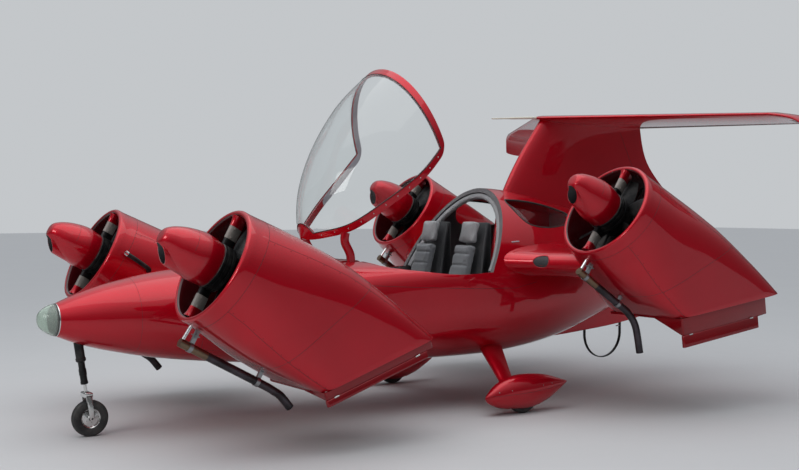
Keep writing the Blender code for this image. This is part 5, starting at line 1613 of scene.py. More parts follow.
@dataclass
class Canopy:
    """Bubble glass in a red frame on two gooseneck arms, standing open."""

    finishes: Finishes
    lines: CanopyLines
    depth: float = 0.022
    glass_depth: float = 0.006
    glass_gap: float = 0.001
    arm_offset: float = 0.300
    arm_width: float = 0.040
    arm_depth: float = 0.060
    eye_radius: float = 0.034
    knee: tuple = (2.215, 1.130)

    def places(self, gap: float) -> tuple[list[float], Callable[[int, float], float], int]:
        """Grid lines along the canopy and round it, and how many round it."""
        tip = self.lines.tip_share + gap / self.lines.length
        arch = 1.0 - (self.lines.frame_width + gap) / self.lines.length
        alongs = [tip * index / 4 for index in range(4)]
        alongs += [blend(tip, arch, index / 44) for index in range(45)]
        alongs += [blend(arch, 1.0, index / 4) for index in range(1, 5)]
        rows = self.lines.rows()

        def angle(column: int, along: float) -> float:
            """Angle of a grid line at a place along the canopy."""
            height = self.lines.edge_angle(rows, along)
            edge = height + gap
            if column <= 4:
                return edge * column / 4
            if column >= 60:
                return math.pi - edge * (64 - column) / 4
            return blend(edge, math.pi - edge, (column - 4) / 56)

        return alongs, angle, 64

    def skin(self, gap: float, glass: bool, offset: float, thick: float) -> Mesh:
        """Frame or glass part of the canopy, as a closed shell standing open.

        Args:
            gap: how far the glass stays off the frame.
            glass: take the cells inside the frame, not the frame's own.
            offset: how far its outside lies under the canopy's.
            thick: thickness of the shell.

        Returns:
            The shell's mesh.
        """
        alongs, angle, columns = self.places(gap)
        rows = self.lines.rows()
        bm = bmesh.new()
        bmesh.ops.create_grid(bm, x_segments=columns, y_segments=len(alongs) - 1, size=1.0)
        keep_rows = range(4, len(alongs) - 5)
        doomed = []
        for face in bm.faces:
            middle = face.calc_center_median()
            column = int((middle.x + 1.0) / 2.0 * columns)
            row = int((middle.y + 1.0) / 2.0 * (len(alongs) - 1))
            inside = row in keep_rows and 4 <= column < columns - 4
            if inside != glass:
                doomed.append(face)
        bmesh.ops.delete(bm, geom=doomed, context="FACES")
        inner = {}
        for vert in bm.verts:
            column = round((vert.co.x + 1.0) / 2.0 * columns)
            row = round((vert.co.y + 1.0) / 2.0 * (len(alongs) - 1))
            turn = angle(column, alongs[row])
            vert.co = self.lines.swing(self.lines.point(rows, alongs[row], turn, offset))
            inner[vert.index] = (row, turn)
        bmesh.ops.recalc_face_normals(bm, faces=bm.faces)
        crown = max(bm.faces, key=lambda face: face.calc_center_median().z)
        if crown.normal.z < 0:
            bmesh.ops.reverse_faces(bm, faces=bm.faces)
        bmesh.ops.solidify(bm, geom=bm.faces[:], thickness=thick)
        return bm

    def arm(self, side: Side) -> Mesh:
        """Gooseneck arm from its hinge eye up to the frame."""
        rail = next(row for row in self.lines.rows() if row[1] >= self.arm_offset)
        top = self.lines.swing(Vector((rail[1], rail[2], rail[3])))
        eye = Vector((0.0, aft(self.lines.hinge_station), self.lines.hinge_height))
        knee = Vector((0.0, aft(self.knee[0]), self.knee[1]))
        line = [(eye.y, eye.z, self.arm_depth * 0.46), (eye.y + 0.055, eye.z + 0.018, 0.024),
                (eye.y + 0.125, eye.z + 0.048, 0.026), (knee.y - 0.006, knee.z - 0.018, 0.030),
                (knee.y - 0.002, knee.z + 0.060, 0.030), (top.y + 0.012, top.z - 0.060, 0.030),
                (top.y + 0.016, top.z + 0.008, 0.030)]
        dense = curve_rows(line, 6)
        sections = []
        middle = side.value * self.arm_offset
        for index, (y, z, half) in enumerate(dense):
            after = dense[min(index + 1, len(dense) - 1)]
            before = dense[max(index - 1, 0)]
            along = Vector((0.0, after[0] - before[0], after[1] - before[1])).normalized()
            up = Vector((0.0, -along.z, along.y))
            ring = []
            for step in range(24):
                across, rise = oval(math.tau * step / 24, 5.0)
                ring.append(Vector((middle + across * self.arm_width / 2, y, z)) + up * rise * half)
            sections.append(ring)
        eye_boss = bar(eye + Vector((middle - self.arm_width / 2, 0, 0)),
                       eye + Vector((middle + self.arm_width / 2, 0, 0)), self.eye_radius, 32,
                       edge=0.004)
        return join([loft(sections), eye_boss])

    def build(self) -> None:
        """Make the frame, the glass, its seal and the arms."""
        frame = join([softened(self.skin(0.0, False, 0.0, self.depth), 0.004)]
                     + [self.arm(side) for side in Side])
        place_piece(frame, "canopy_rim", self.finishes.paint, "canopy", ("canopy_frame",),
                    sharp=46.0)
        place_piece(self.skin(self.glass_gap, True, 0.0, self.glass_depth), "canopy_bubble",
                    self.finishes.glass, "canopy", ("canopy_glass",))
        place_piece(self.skin(0.0, False, self.depth + 0.0005, 0.0012), "canopy_trim",
                    self.finishes.trim, "canopy", sharp=60.0)
        rows = self.lines.rows()
        alongs, angle, columns = self.places(0.0)
        inner = alongs[4:-4]
        loop = [self.lines.swing(self.lines.point(rows, along, angle(4, along), 0.0015))
                for along in inner]
        loop += [self.lines.swing(self.lines.point(rows, inner[-1], angle(column, inner[-1]), 0.0015))
                 for column in range(5, columns - 4)]
        loop += [self.lines.swing(self.lines.point(rows, along, angle(columns - 4, along), 0.0015))
                 for along in reversed(inner)]
        loop += [self.lines.swing(self.lines.point(rows, inner[0], angle(column, inner[0]), 0.0015))
                 for column in range(columns - 5, 4, -1)]
        place_piece(pipe(loop, 0.0035, 8, True), "canopy_seal", self.finishes.gasket, "canopy")
        heads = []
        for along in inner[2:-1:4]:
            for column in (2, columns - 2):
                spot = self.lines.point(rows, along, angle(column, along), 0.0)
                deeper = self.lines.point(rows, along, angle(column, along), 0.01)
                out = (self.lines.swing(spot) - self.lines.swing(deeper)).normalized()
                heads.append(screw_head(self.lines.swing(spot) + out * 0.0002, out, 0.0050))
        place_piece(join(heads), "canopy_screws", self.finishes.bright, "canopy")


@dataclass
class Cabin:
    """Padded rim, two front seats, rear bench, panel and hinge tube."""

    finishes: Finishes
    body: Fuselage
    rim_width: float = 0.050
    rim_depth: float = 0.045
    seat_offset: float = 0.270
    seat_width: float = 0.390
    seat_station: float = 2.780
    seat_height: float = 0.980
    bench_station: float = 3.650
    bench_height: float = 0.800
    bench_width: float = 0.760
    panel_station: float = 2.460
    panel_lean: float = math.radians(14.0)
    hinge_radius: float = 0.018

    def rim_points(self, count: int) -> Places:
        """Line on the cabin's inner wall in the hoop plane, from left foot to right foot."""
        lines = self.body.lines
        half = []
        for index in range(count + 1):
            share = index / count
            angle = blend(math.radians(6.0), math.radians(90.0), share)
            height = 1.2
            for _ in range(14):
                station = self.body.hoop_station_at(height) + 0.012
                hull = lines.hull(station)
                ring = lines.ring(station, self.body.wall + self.rim_width / 2)
                best = min((point for point in ring if point.x >= -1e-6), key=lambda point: abs(
                    math.atan2(point.z - hull[2] - 0.10, max(point.x, 1e-6)) - angle))
                if abs(best.z - height) < 0.001:
                    break
                height = best.z
            half.append(Vector((best.x, aft(station), best.z)))
        half[-1].x = 0.0
        smooth = resample(half, count)
        return smooth + [Vector((-point.x, point.y, point.z)) for point in reversed(smooth[:-1])]

    def rim(self) -> None:
        """Padded rim round the cabin's front edge, with a sewn seam along it."""
        points = self.rim_points(30)
        dense = [Vector(row) for row in curve_rows([tuple(point) for point in points], 3)]
        back = Vector((0.0, math.cos(self.body.hoop_lean), -math.sin(self.body.hoop_lean)))
        sections = []
        for index, point in enumerate(dense):
            along = (dense[min(index + 1, len(dense) - 1)] - dense[max(index - 1, 0)]).normalized()
            out = back.cross(along).normalized()
            puff = 1.0 + 0.025 * math.sin(index * 0.9) + 0.015 * math.sin(index * 2.3)
            ring = []
            for step in range(28):
                across, rise = oval(math.tau * step / 28, 2.8)
                pinch = 1.0 - 0.16 * math.exp(-(((step - 14) % 28 - 14) / 1.1) ** 2)
                ring.append(point + back * (self.rim_depth / 2 * 0.97 * (1.0 + rise * puff * pinch)
                                            - 0.004)
                            + out * (self.rim_width / 2 * 0.95 * across * puff))
            sections.append(ring)
        made = place_piece(loft(sections), "cabin_rim_pad", self.finishes.vinyl, BODY,
                           ("cabin_hoop",), sharp=80.0)

    def cushion(self, name: str, low: Vector, high: Vector, crown: float, cloth: Material,
                turn: Matrix, channels: int, nodes: Sequence[str] = (),
                taper: float = 0.0) -> bpy.types.Object:
        """Padded block: simulated swell, then sewn channels.

        Args:
            name: name of the cushion.
            low: lowest corner before it is turned into place.
            high: highest corner before it is turned into place.
            crown: most that its skin may swell.
            cloth: its finish.
            turn: transform that puts it in place.
            channels: number of sewn channels across it.
            nodes: CAD nodes that it stands for.
            taper: how much narrower its far end is, as a share.

        Returns:
            The cushion.
        """
        inset = crown * 0.8
        bm = brick(low + Vector((inset,) * 3), high - Vector((inset,) * 3))
        size = high - low
        bmesh.ops.bevel(bm, geom=bm.edges[:], offset=min(size) * 0.22, offset_type="OFFSET",
                        segments=4, profile=0.5, affect="EDGES", material=-1)
        for vert in bm.verts:
            share = (vert.co.y - low.y) / size.y
            vert.co.x = blend(vert.co.x, (low.x + high.x) / 2, taper * share)
        soft = place_piece(bm, name, cloth, BODY, nodes, sharp=180.0)
        remesh = soft.modifiers.new("voxels", "REMESH")
        remesh.mode = "VOXEL"
        remesh.voxel_size = 0.0065
        remesh.use_smooth_shade = True
        apply_modifiers(soft)
        swell(soft, crown)
        sew(soft, low, high, channels)
        soft.data.transform(turn)
        round_off = soft.modifiers.new("smooth", "SUBSURF")
        round_off.levels = 1
        round_off.render_levels = 1
        return soft

    def seat(self, side: Side) -> None:
        """Front seat: cushion, back, head pad, side bolsters and a dark shell."""
        middle = side.value * self.seat_offset
        half = self.seat_width / 2
        start = aft(self.seat_station)
        floor = self.body.floor
        label = side.label
        shell_line = [(start + 0.055, floor + 0.02), (start + 0.045, floor + 0.15),
                      (start + 0.40, floor + 0.11), (start + 0.50, floor + 0.30),
                      (start + 0.60, floor + 0.80), (start + 0.645, floor + 0.96),
                      (start + 0.685, floor + 0.955), (start + 0.64, floor + 0.50),
                      (start + 0.56, floor + 0.02)]
        shell = panel([Vector((middle - half * 0.86, y, z)) for y, z in shell_line],
                      Vector((half * 1.72, 0.0, 0.0)))
        for vert in shell.verts:
            up = (vert.co.z - floor) / self.seat_height
            vert.co.x = blend(vert.co.x, middle, max(0.0, 2 * up - 1) * 0.42
                              + max(0.0, 1 - 9 * up) * 0.62)
        place_piece(softened(shell, 0.012, 3, 30.0), "seat_shell_" + label, self.finishes.lining,
                    BODY)
        base = Matrix.Translation((middle, start + 0.01, floor + 0.168)) @ Matrix.Rotation(
            math.radians(-5.0), 4, "X")
        self.cushion("seat_pad_" + label, Vector((-half * 0.70, 0.0, 0.0)),
                     Vector((half * 0.70, 0.42, 0.10)), 0.012, self.finishes.cloth, base, 4,
                     ("seat_" + label,))
        back = Matrix.Translation((middle, start + 0.405, floor + 0.245)) @ Matrix.Rotation(
            math.radians(74.0), 4, "X")
        self.cushion("seat_back_" + label, Vector((-half * 0.74, 0.0, 0.0)),
                     Vector((half * 0.74, 0.56, 0.085)), 0.012, self.finishes.cloth, back, 6,
                     taper=0.25)
        head = Matrix.Translation((middle, start + 0.560, floor + 0.785)) @ Matrix.Rotation(
            math.radians(76.0), 4, "X")
        self.cushion("seat_head_" + label, Vector((-half * 0.50, 0.0, 0.0)),
                     Vector((half * 0.50, 0.180, 0.075)), 0.010, self.finishes.vinyl, head, 1)
        for edge in (-1.0, 1.0):
            low_bolster = Matrix.Translation((middle + edge * half * 0.83, start + 0.02,
                                              floor + 0.165)) @ Matrix.Rotation(
                math.radians(-5.0), 4, "X")
            self.cushion("seat_bolster_%s_%s" % (label, "out" if edge > 0 else "in"),
                         Vector((-0.030, 0.0, 0.0)), Vector((0.030, 0.40, 0.125)), 0.008,
                         self.finishes.vinyl, low_bolster, 1)

    def bench(self) -> None:
        """Rear bench: base, cushion and back in two places."""
        start = aft(self.bench_station)
        floor = self.body.floor
        half = self.bench_width / 2
        line = [(start + 0.035, floor + 0.01), (start + 0.020, floor + 0.18),
                (start + 0.30, floor + 0.17), (start + 0.37, floor + 0.33),
                (start + 0.47, floor + 0.76), (start + 0.54, floor + 0.77),
                (start + 0.50, floor + 0.40), (start + 0.43, floor + 0.21), (start + 0.28, floor)]
        base = panel([Vector((-half * 0.84, y, z)) for y, z in line],
                     Vector((half * 1.68, 0.0, 0.0)))
        for vert in base.verts:
            up = (vert.co.z - floor) / self.bench_height
            vert.co.x *= 1.0 - max(0.0, 2 * up - 1) * 0.42 - max(0.0, 1 - 9 * up) * 0.60
        place_piece(softened(base, 0.012, 3, 30.0), "bench_base", self.finishes.lining, BODY)
        seat = Matrix.Translation((0.0, start + 0.008, floor + 0.172)) @ Matrix.Rotation(
            math.radians(-6.0), 4, "X")
        self.cushion("bench_pad", Vector((-half * 0.90, 0.0, 0.0)), Vector((half * 0.90, 0.33, 0.09)),
                     0.012, self.finishes.cloth, seat, 3, ("rear_bench",))
        back = Matrix.Translation((0.0, start + 0.335, floor + 0.262)) @ Matrix.Rotation(
            math.radians(75.0), 4, "X")
        self.cushion("bench_back", Vector((-half * 0.86, 0.0, 0.0)), Vector((half * 0.86, 0.46, 0.08)),
                     0.012, self.finishes.cloth, back, 5, taper=0.30)

    def panel_front(self) -> None:
        """Instrument panel with shroud, two screens and dials."""
        lean = math.tan(self.panel_lean)
        y = aft(self.panel_station)
        profile = [(y, 1.050), (y - 0.090, 1.050), (y - 0.090, 0.870), (y - 0.110, 0.780),
                   (y - 0.270 * lean, 0.780)]
        wide = 0.56
        face = panel([Vector((-wide, a, b)) for a, b in profile], Vector((wide * 2, 0, 0)))
        room = self.body.lines.solid(self.body.room_start, self.body.room_end,
                                     self.body.wall + 0.001, self.body.floor)
        face = carved(face, [("INTERSECT", room)])
        place_piece(softened(face, 0.006, 2, 40.0), "panel_face", self.finishes.lining, BODY,
                    ("instrument_panel",))
        out = Vector((0.0, math.cos(self.panel_lean), -math.sin(self.panel_lean)))
        up = Vector((0.0, math.sin(self.panel_lean), math.cos(self.panel_lean)))
        screens = []
        for middle in (-0.22, 0.22):
            centre = Vector((middle, y - 0.115 * lean - 0.0005, 0.935))
            corners = [centre + Vector((a * 0.115, 0, 0)) + up * b * 0.065 - out * 0.004
                       for a, b in ((-1, -1), (1, -1), (1, 1), (-1, 1))]
            screens.append(softened(panel(corners, out * 0.009), 0.003, 2, 30.0))
        place_piece(join(screens), "panel_screens", self.finishes.screen, BODY)
        dials = []
        for index in range(6):
            centre = Vector(((index - 2.5) * 0.055, y - 0.215 * lean, 0.830))
            dials.append(lathe([(-0.002, 0.020), (0.004, 0.020), (0.006, 0.017), (0.0035, 0.016),
                                (0.0035, 0.004), (0.008, 0.003), (0.008, 0.0)], 28, centre, out))
        place_piece(join(dials), "panel_dials", self.finishes.grey_plate, BODY)

    def hinge(self) -> None:
        """Tube that the canopy's arms turn on, with its end brackets."""
        hull = self.body.lines.hull(2.024)
        ring = self.body.lines.ring(2.024, self.body.wall + 0.001)
        reach = max(point.x for point in ring if abs(point.z - 1.030) < 0.03)
        left = Vector((reach - 0.002, aft(2.024), 1.030))
        right = Vector((-left.x, left.y, left.z))
        collars = [bar(Vector((edge * (reach - 0.004), left.y, left.z)),
                       Vector((edge * (reach - 0.024), left.y, left.z)), 0.030, 32, edge=0.003)
                   for edge in (-1.0, 1.0)]
        place_piece(join([bar(left, right, self.hinge_radius - 0.0003, 32, edge=0.002)] + collars),
                    "hinge_tube", self.finishes.bright, BODY, ("canopy_hinge_tube",))
        LOG.info("hinge tube at hull half width %.3f", hull[0])

    def build(self) -> None:
        """Make every piece of the cabin."""
        self.rim()
        for side in Side:
            self.seat(side)
        self.bench()
        self.panel_front()
        self.hinge()


def apply_modifiers(made: bpy.types.Object) -> None:
    """Replace an object's mesh by what its modifiers make of it."""
    graph = bpy.context.evaluated_depsgraph_get()
    result = bpy.data.meshes.new_from_object(made.evaluated_get(graph))
    made.modifiers.clear()
    old = made.data
    materials = list(old.materials)
    made.data = result
    result.materials.clear()
    for material in materials:
        result.materials.append(material)
    result.name = old.name
    bpy.data.meshes.remove(old)
    made.data.shade_smooth()


def swell(made: bpy.types.Object, cap: float) -> None:
    """Blow a closed piece up like a stuffed cushion.

    Args:
        made: the piece, already remeshed.
        cap: most that any point may move.
    """
    start = [vert.co.copy() for vert in made.data.vertices]
    cloth = made.modifiers.new("stuffing", "CLOTH")
    cloth.settings.use_pressure = True
    cloth.settings.uniform_pressure_force = 4.0
    cloth.settings.effector_weights.gravity = 0.0
    cloth.settings.quality = 4
    cloth.settings.tension_stiffness = 12.0
    cloth.collision_settings.use_collision = False
    scene = bpy.context.scene
    cloth.point_cache.frame_start = 1
    cloth.point_cache.frame_end = 20
    for frame in range(1, 21):
        scene.frame_set(frame)
    apply_modifiers(made)
    scene.frame_set(1)
    for vert, old in zip(made.data.vertices, start):
        move = vert.co - old
        if move.length > cap:
            vert.co = old + move.normalized() * cap


def sew(made: bpy.types.Object, low: Vector, high: Vector, channels: int) -> None:
    """Pull sewn channels and a piping seam into a cushion.

    Args:
        made: the cushion before it is turned into place.
        low: its lowest corner.
        high: its highest corner.
        channels: number of channels along it.
    """
    size = high - low
    for vert in made.data.vertices:
        share = (vert.co.y - low.y) / size.y
        top = ease((vert.co.z - low.z) / size.z)
        if channels > 1:
            place = share * channels
            gap = abs(place - round(place)) / channels * size.y
            vert.co.z -= 0.010 * top * math.exp(-(gap / 0.009) ** 2)
        edge = min(vert.co.x - low.x, high.x - vert.co.x)
        vert.co.z -= 0.004 * top * math.exp(-((edge - size.x * 0.10) / 0.006) ** 2)


def aerofoil(front: float, chord: float, thickness: float, count: int = 26) -> list:
    """Symmetrical aerofoil as (along, across) pairs, round nose first and back along.

    Args:
        front: place of its nose.
        chord: its length.
        thickness: greatest half thickness times about two.
        count: spaces on each side.

    Returns:
        The closed outline without a doubled nose point.
    """
    points = []
    for index in range(count + 1):
        share = 0.5 - 0.5 * math.cos(math.pi * index / count)
        half = thickness * (1.48 * math.sqrt(share) - 0.63 * share - 1.76 * share ** 2
                            + 1.42 * share ** 3 - 0.50 * share ** 4)
        points.append((front + share * chord, half))
    return points + [(along, -half) for along, half in reversed(points[1:])]


@dataclass
class Tail:
    """Fin, T-tail wing with its pitot tube, ventral keel and the hoop below it."""

    finishes: Finishes
    surface: Surface
    fin_foot: float = 1.060
    fin_height: float = 1.225
    fin_station: float = 3.750
    fin_chord: float = 2.790
    fin_thickness: float = 0.190
    half_span: float = 1.880
    wing_station: float = 4.218
    root_chord: float = 1.280
    sweep: float = 1.160
    wing_height: float = 2.296
    droop: float = 0.190
    wing_thickness: float = 0.070
    incidence: float = 0.045
    pitot_length: float = 0.460
    pitot_drop: float = 0.026
    keel_station: float = 4.230
    keel_length: float = 1.900
    keel_low: float = 0.430
    keel_height: float = 0.440
    keel_thickness: float = 0.050
    hoop_station: float = 4.781
    hoop_span: float = 0.431
    hoop_low: float = 0.207
    hoop_width: float = 0.028
    hoop_thickness: float = 0.010
    # height, leading edge, trailing edge, thickness
    fin_shares: tuple = (
        (0.00, 0.000, 1.000, 1.00), (0.20, 0.010, 0.890, 1.00), (0.45, 0.035, 0.755, 0.95),
        (0.72, 0.100, 0.640, 0.80), (1.00, 0.190, 0.605, 0.72),
    )
    # span, leading edge, chord, drop
    wing_shares: tuple = (
        (1.000, 1.020, 0.34, 1.00), (0.975, 0.985, 0.45, 0.62), (0.930, 0.930, 0.52, 0.30),
        (0.860, 0.860, 0.57, 0.15), (0.000, 0.000, 1.00, 0.00),
    )
    keel_shares: tuple = (
        (0.00, 0.18), (0.06, 0.02), (0.25, 0.06), (0.55, 0.20), (0.85, 0.50), (1.00, 1.00),
        (0.85, 1.10), (0.40, 0.90), (0.10, 0.50),
    )

    def fin(self) -> None:
        """Swept fin with a rudder seam and a filleted foot."""
        rings = []
        for up, forward, back, thick in curve_rows(self.fin_shares, 7):
            front = aft(self.fin_station + forward * self.fin_chord)
            chord = (back - forward) * self.fin_chord
            height = self.fin_foot + up * self.fin_height
            flare = 0.10 * max(0.0, 1.0 - (height - self.fin_foot - 0.14) / 0.16) ** 2
            rings.append([Vector((across * (1.0 + flare * 4), along, height))
                          for along, across in aerofoil(front, chord,
                                                        thick * self.fin_thickness)])
        place_piece(loft(rings), "tail_fin", self.finishes.paint, BODY, ("fin",),
                    sharp=60.0)
        skin = loft(rings)
        face = Surface(skin)
        skin.free()
        for side in Side:
            line = [face.cast(Vector((side.value, y, z)), Vector((-side.value, 0, 0)))
                    for y, z in along_points(((aft(5.62), 1.36), (aft(5.17), 2.20)), 40)]
            made = seam_line(line, 0.0022, 0.0012)
            if made:
                place_piece(made, "rudder_seam_" + side.label, self.finishes.seam, BODY)

    def wing_ring(self, side: float, row: tuple[float, ...]) -> Places:
        """One section of the wing."""
        span, sweep, chord, drop = row
        front = aft(self.wing_station + sweep * self.sweep)
        length = chord * self.root_chord
        ring = []
        for along, across in aerofoil(front, length, self.wing_thickness * math.sqrt(chord)):
            height = self.wing_height - drop * self.droop + across
            height -= self.incidence * (along - front) / length
            ring.append(Vector((side * span * self.half_span, along, height)))
        return ring

    def wing(self) -> None:
        """Swept wing on top of the fin, with elevator seams."""
        dense = curve_rows(self.wing_shares[:4], 5)[:-1]
        dense += [tuple(blend(a, b, index / 16) for a, b in zip(self.wing_shares[3],
                                                               self.wing_shares[4]))
                  for index in range(17)]
        rings = [self.wing_ring(1.0, row) for row in dense]
        rings += [self.wing_ring(-1.0, row) for row in reversed(dense[:-1])]
        place_piece(loft(rings), "wing_skin", self.finishes.paint, BODY, ("tail_wing",),
                    sharp=60.0)
        skin = loft(rings)
        face = Surface(skin)
        skin.free()
        for side in Side:
            for name, low in (("top", False), ("under", True)):
                start = Vector((0.0, 0.0, 1.5 if low else 3.0))
                along = Vector((0.0, 0.0, 1.0 if low else -1.0))
                inward = sorted(dense)
                spots = []
                for share in range(61):
                    span = blend(0.10, 0.90, share / 60)
                    row = row_at(inward, span)
                    front = aft(self.wing_station + row[1] * self.sweep)
                    spots.append((side.value * span * self.half_span,
                                  front + row[2] * self.root_chord * 0.74))
                hits = [face.cast(Vector((x, y, start.z)), along) for x, y in spots]
                made = seam_line(hits, 0.0020, 0.0011)
                if made:
                    place_piece(made, "elevator_seam_%s_%s" % (name, side.label),
                                self.finishes.seam, BODY)

    def pitot(self) -> None:
        """Cream pitot tube with a metal collar, ahead of the wing."""
        nose = Vector((0.0, aft(self.wing_station), self.wing_height))
        front = nose - Vector((0.0, self.pitot_length, self.pitot_drop))
        along = (front - nose).normalized()
        length = (front - nose).length
        profile = [(-0.010, 0.0), (-0.010, 0.0108), (0.02, 0.0108), (length * 0.55, 0.0092),
                   (length * 0.60, 0.0066), (length - 0.030, 0.0058), (length - 0.002, 0.0052),
                   (length - 0.0005, 0.0046), (length - 0.006, 0.0028), (length - 0.020, 0.0)]
        place_piece(lathe(profile, 28, nose, along), "air_speed_tube", self.finishes.cream, BODY,
                    ("pitot_tube",))
        collar = [(0.0, 0.008), (0.0, 0.0108), (0.012, 0.0109), (0.016, 0.0088)]
        place_piece(lathe(collar, 28, nose + along * 0.018, along), "air_speed_collar",
                    self.finishes.bright, BODY)

    def keel(self) -> None:
        """Thin keel below the tail with rounded edges."""
        line = [(aft(self.keel_station + along * self.keel_length),
                 self.keel_low + up * self.keel_height)
                for along, up in closed_curve(self.keel_shares, 5)]
        half = self.keel_thickness / 2
        blade = panel([Vector((-half, y, z)) for y, z in line], Vector((half * 2, 0, 0)))
        place_piece(softened(blade, 0.012, 4, 50.0), "under_keel", self.finishes.paint, BODY,
                    ("ventral_keel",))

    def hoop(self) -> None:
        """Flat black sprung band in a U."""
        radius = self.hoop_span / 2
        centre = aft(self.hoop_station) + radius
        base = self.hoop_low + radius
        top = self.keel_low + self.keel_height / 2
        line = [(centre - radius, top + 0.03), (centre - radius, base + 0.05)]
        line += [(centre + radius * math.cos(math.pi + math.pi * index / 40),
                  base + radius * math.sin(math.pi + math.pi * index / 40)) for index in range(41)]
        line += [(centre + radius, base + 0.05), (centre + radius, top + 0.09)]
        sections = []
        for index, (y, z) in enumerate(line):
            after = line[min(index + 1, len(line) - 1)]
            before = line[max(index - 1, 0)]
            along = Vector((0.0, after[0] - before[0], after[1] - before[1])).normalized()
            inward = Vector((0.0, -along.z, along.y))
            ring = []
            for step in range(16):
                across, rise = oval(math.tau * step / 16, 4.5)
                ring.append(Vector((across * self.hoop_width / 2, y, z))
                            + inward * self.hoop_thickness / 2 * (1 + rise))
            sections.append(ring)
        place_piece(loft(sections), "tail_skid_band", self.finishes.black, BODY, ("tail_hoop",))

    def build(self) -> None:
        """Make the whole tail."""
        self.fin()
        self.wing()
        self.pitot()
        self.keel()
        self.hoop()


@dataclass
class NacelleBuild:
    """One nacelle on one side: duct, vane box, pod, mount, exhaust and both fans."""

    finishes: Finishes
    lines: Nacelle
    side: Side
    strut_chord: float = 0.085
    strut_thickness: float = 0.034
    fan_radius: float = 0.333
    fan_hub_length: float = 0.070
    fan_spacing: float = 0.020
    blades: tuple = (6, 5)
    blade_chord: float = 0.105
    root_pitch: float = math.radians(48.0)
    tip_pitch: float = math.radians(24.0)
    pod_length: float = 0.375
    pod_radius: float = 0.158
    pod_shares: tuple = (
        (0.000, 0.16, 0.10), (0.012, 0.32, 0.24), (0.060, 0.46, 0.36), (0.180, 0.65, 0.52),
        (0.400, 0.86, 0.78), (0.700, 1.00, 0.97), (1.000, 0.93, 0.93),
    )
    intake_radius: float = 0.055
    intake_wall: float = 0.007
    intake_front: float = 0.315
    intake_drop: float = 0.088
    intake_depth: float = 0.120
    intake_slant: float = 0.80
    pipe_radius: float = 0.027
    pipe_drop: float = 0.120
    pipe_start: float = 0.040
    box_wall: float = 0.016
    box_recess: float = 0.010
    vane_count: int = 6
    notch_length: float = 0.70
    notch_top: float = 0.26

    @property
    def label(self) -> str:
        """Name of this nacelle's place."""
        return self.lines.name + "_" + self.side.label

    def put(self, bm: Mesh, name: str, material: Material,
            nodes: Sequence[str] = (), sharp: float = 38.0,
            second: Optional[Material] = None) -> bpy.types.Object:
        """Put a mesh made in the nacelle's axes in its place."""
        return place_piece(moved(bm, self.lines.place(self.side)), name + "_" + self.label,
                           material, BODY, nodes, sharp, second=second)

    def duct(self) -> None:
        """Duct with a round lip, flat sides towards its slanted exit, painted shade on its inside, and
        its seams.
        """
        lines = self.lines
        rows = lines.rows()
        outer = [lines.ring(row, 0.0) for row in rows]
        inner = [lines.ring(row, lines.wall(row[0])) for row in rows]
        lip = [lines.lip_ring(math.pi * index / 12) for index in range(1, 12)]
        duct = softened(loft(outer[::-1] + lip + inner, closed=True), 0.0022, 2, 60.0)
        # Faces inside the duct take the near-black red: painted shade inside the duct.
        for face in duct.faces:
            centre = face.calc_center_median()
            centre.y = 0.0
            face.material_index = int(centre.length < lines.radius - lines.lip * 0.8
                                      or face.normal.dot(centre) < -0.3 * centre.length
                                      and face.calc_center_median().y > lines.lip)
        self.put(duct, "duct_skin", self.finishes.paint, ("duct_" + self.label,),
                 sharp=50.0, second=self.finishes.duct_inside_painted_shade)
        seams = []
        for share in (0.10, 0.62):
            row = row_at(rows, share)
            seams.append(([lines.ring_point(row, math.tau * index / 140, -0.0002)
                           for index in range(140)], True))
        for degrees in (-38.0, 38.0, 142.0, 218.0):
            line = [lines.ring_point(row_at(rows, blend(0.10, 0.99, index / 60)),
                                     math.radians(degrees), -0.0002) for index in range(61)]
            seams.append((line, False))
        tubes = []
        for line, closed in seams:
            centre = lines.ring_point((0.5, 0.5, 0.5, 2.0), 0.0, lines.radius)
            sunk = [point + (Vector((0.0, point.y, 0.0)) - point).normalized() * 0.0008
                    for point in line]
            tubes.append(pipe(sunk, 0.0014, 6, closed))
        self.put(join(tubes), "duct_seams", self.finishes.seam)
        heads = []
        for degrees in (-36.0, 36.0, 144.0, 216.0):
            for index in range(11):
                row = row_at(rows, blend(0.13, 0.96, index / 10))
                spot = lines.ring_point(row, math.radians(degrees), 0.0)
                beside = lines.ring_point(row, math.radians(degrees + 1.0), 0.0)
                ahead = lines.ring_point(row_at(rows, min(0.99, row[0] + 0.01)),
                                         math.radians(degrees), 0.0)
                out = (ahead - spot).cross(beside - spot).normalized()
                if out.dot(spot - Vector((0.0, spot.y, 0.0))) < 0:
                    out = -out
                heads.append(screw_head(spot + out * 0.0002, out, 0.0038))
        # Screw heads in the darker copy of the red paint: painted shade.
        self.put(join(heads), "duct_screws", self.finishes.painted_shade_red)

    def vane_box(self) -> None:
        """Skirt below the slanted exit with its lower strip, and the exit vanes, both in the darker
        red of painted shade.
        """
        lines = self.lines
        low, along, out, length = lines.exit_lines()
        half = lines.radius - self.box_recess
        wide = lines.radius - self.box_recess / 2

        def ring(depth: float, width: float, wall: float, end: float) -> Places:
            """Rectangle with small round corners across the exit, at a depth below it."""
            start = lines.radius - width + wall
            stop = length - end - wall
            small = 0.014 - wall * 0.4
            points = []
            for quarter, (x, y) in enumerate(((1, 1), (0, 1), (0, 0), (1, 0))):
                middle = Vector(((width - wall - small) * (2 * x - 1), 0, 0))
                middle += along * (stop - small if y else start + small)
                for step in range(6):
                    turn = math.pi / 2 * (quarter + step / 5)
                    points.append(low + out * depth + middle + along * small * math.sin(turn)
                                  + Vector((small * math.cos(turn), 0, 0)))
            return points

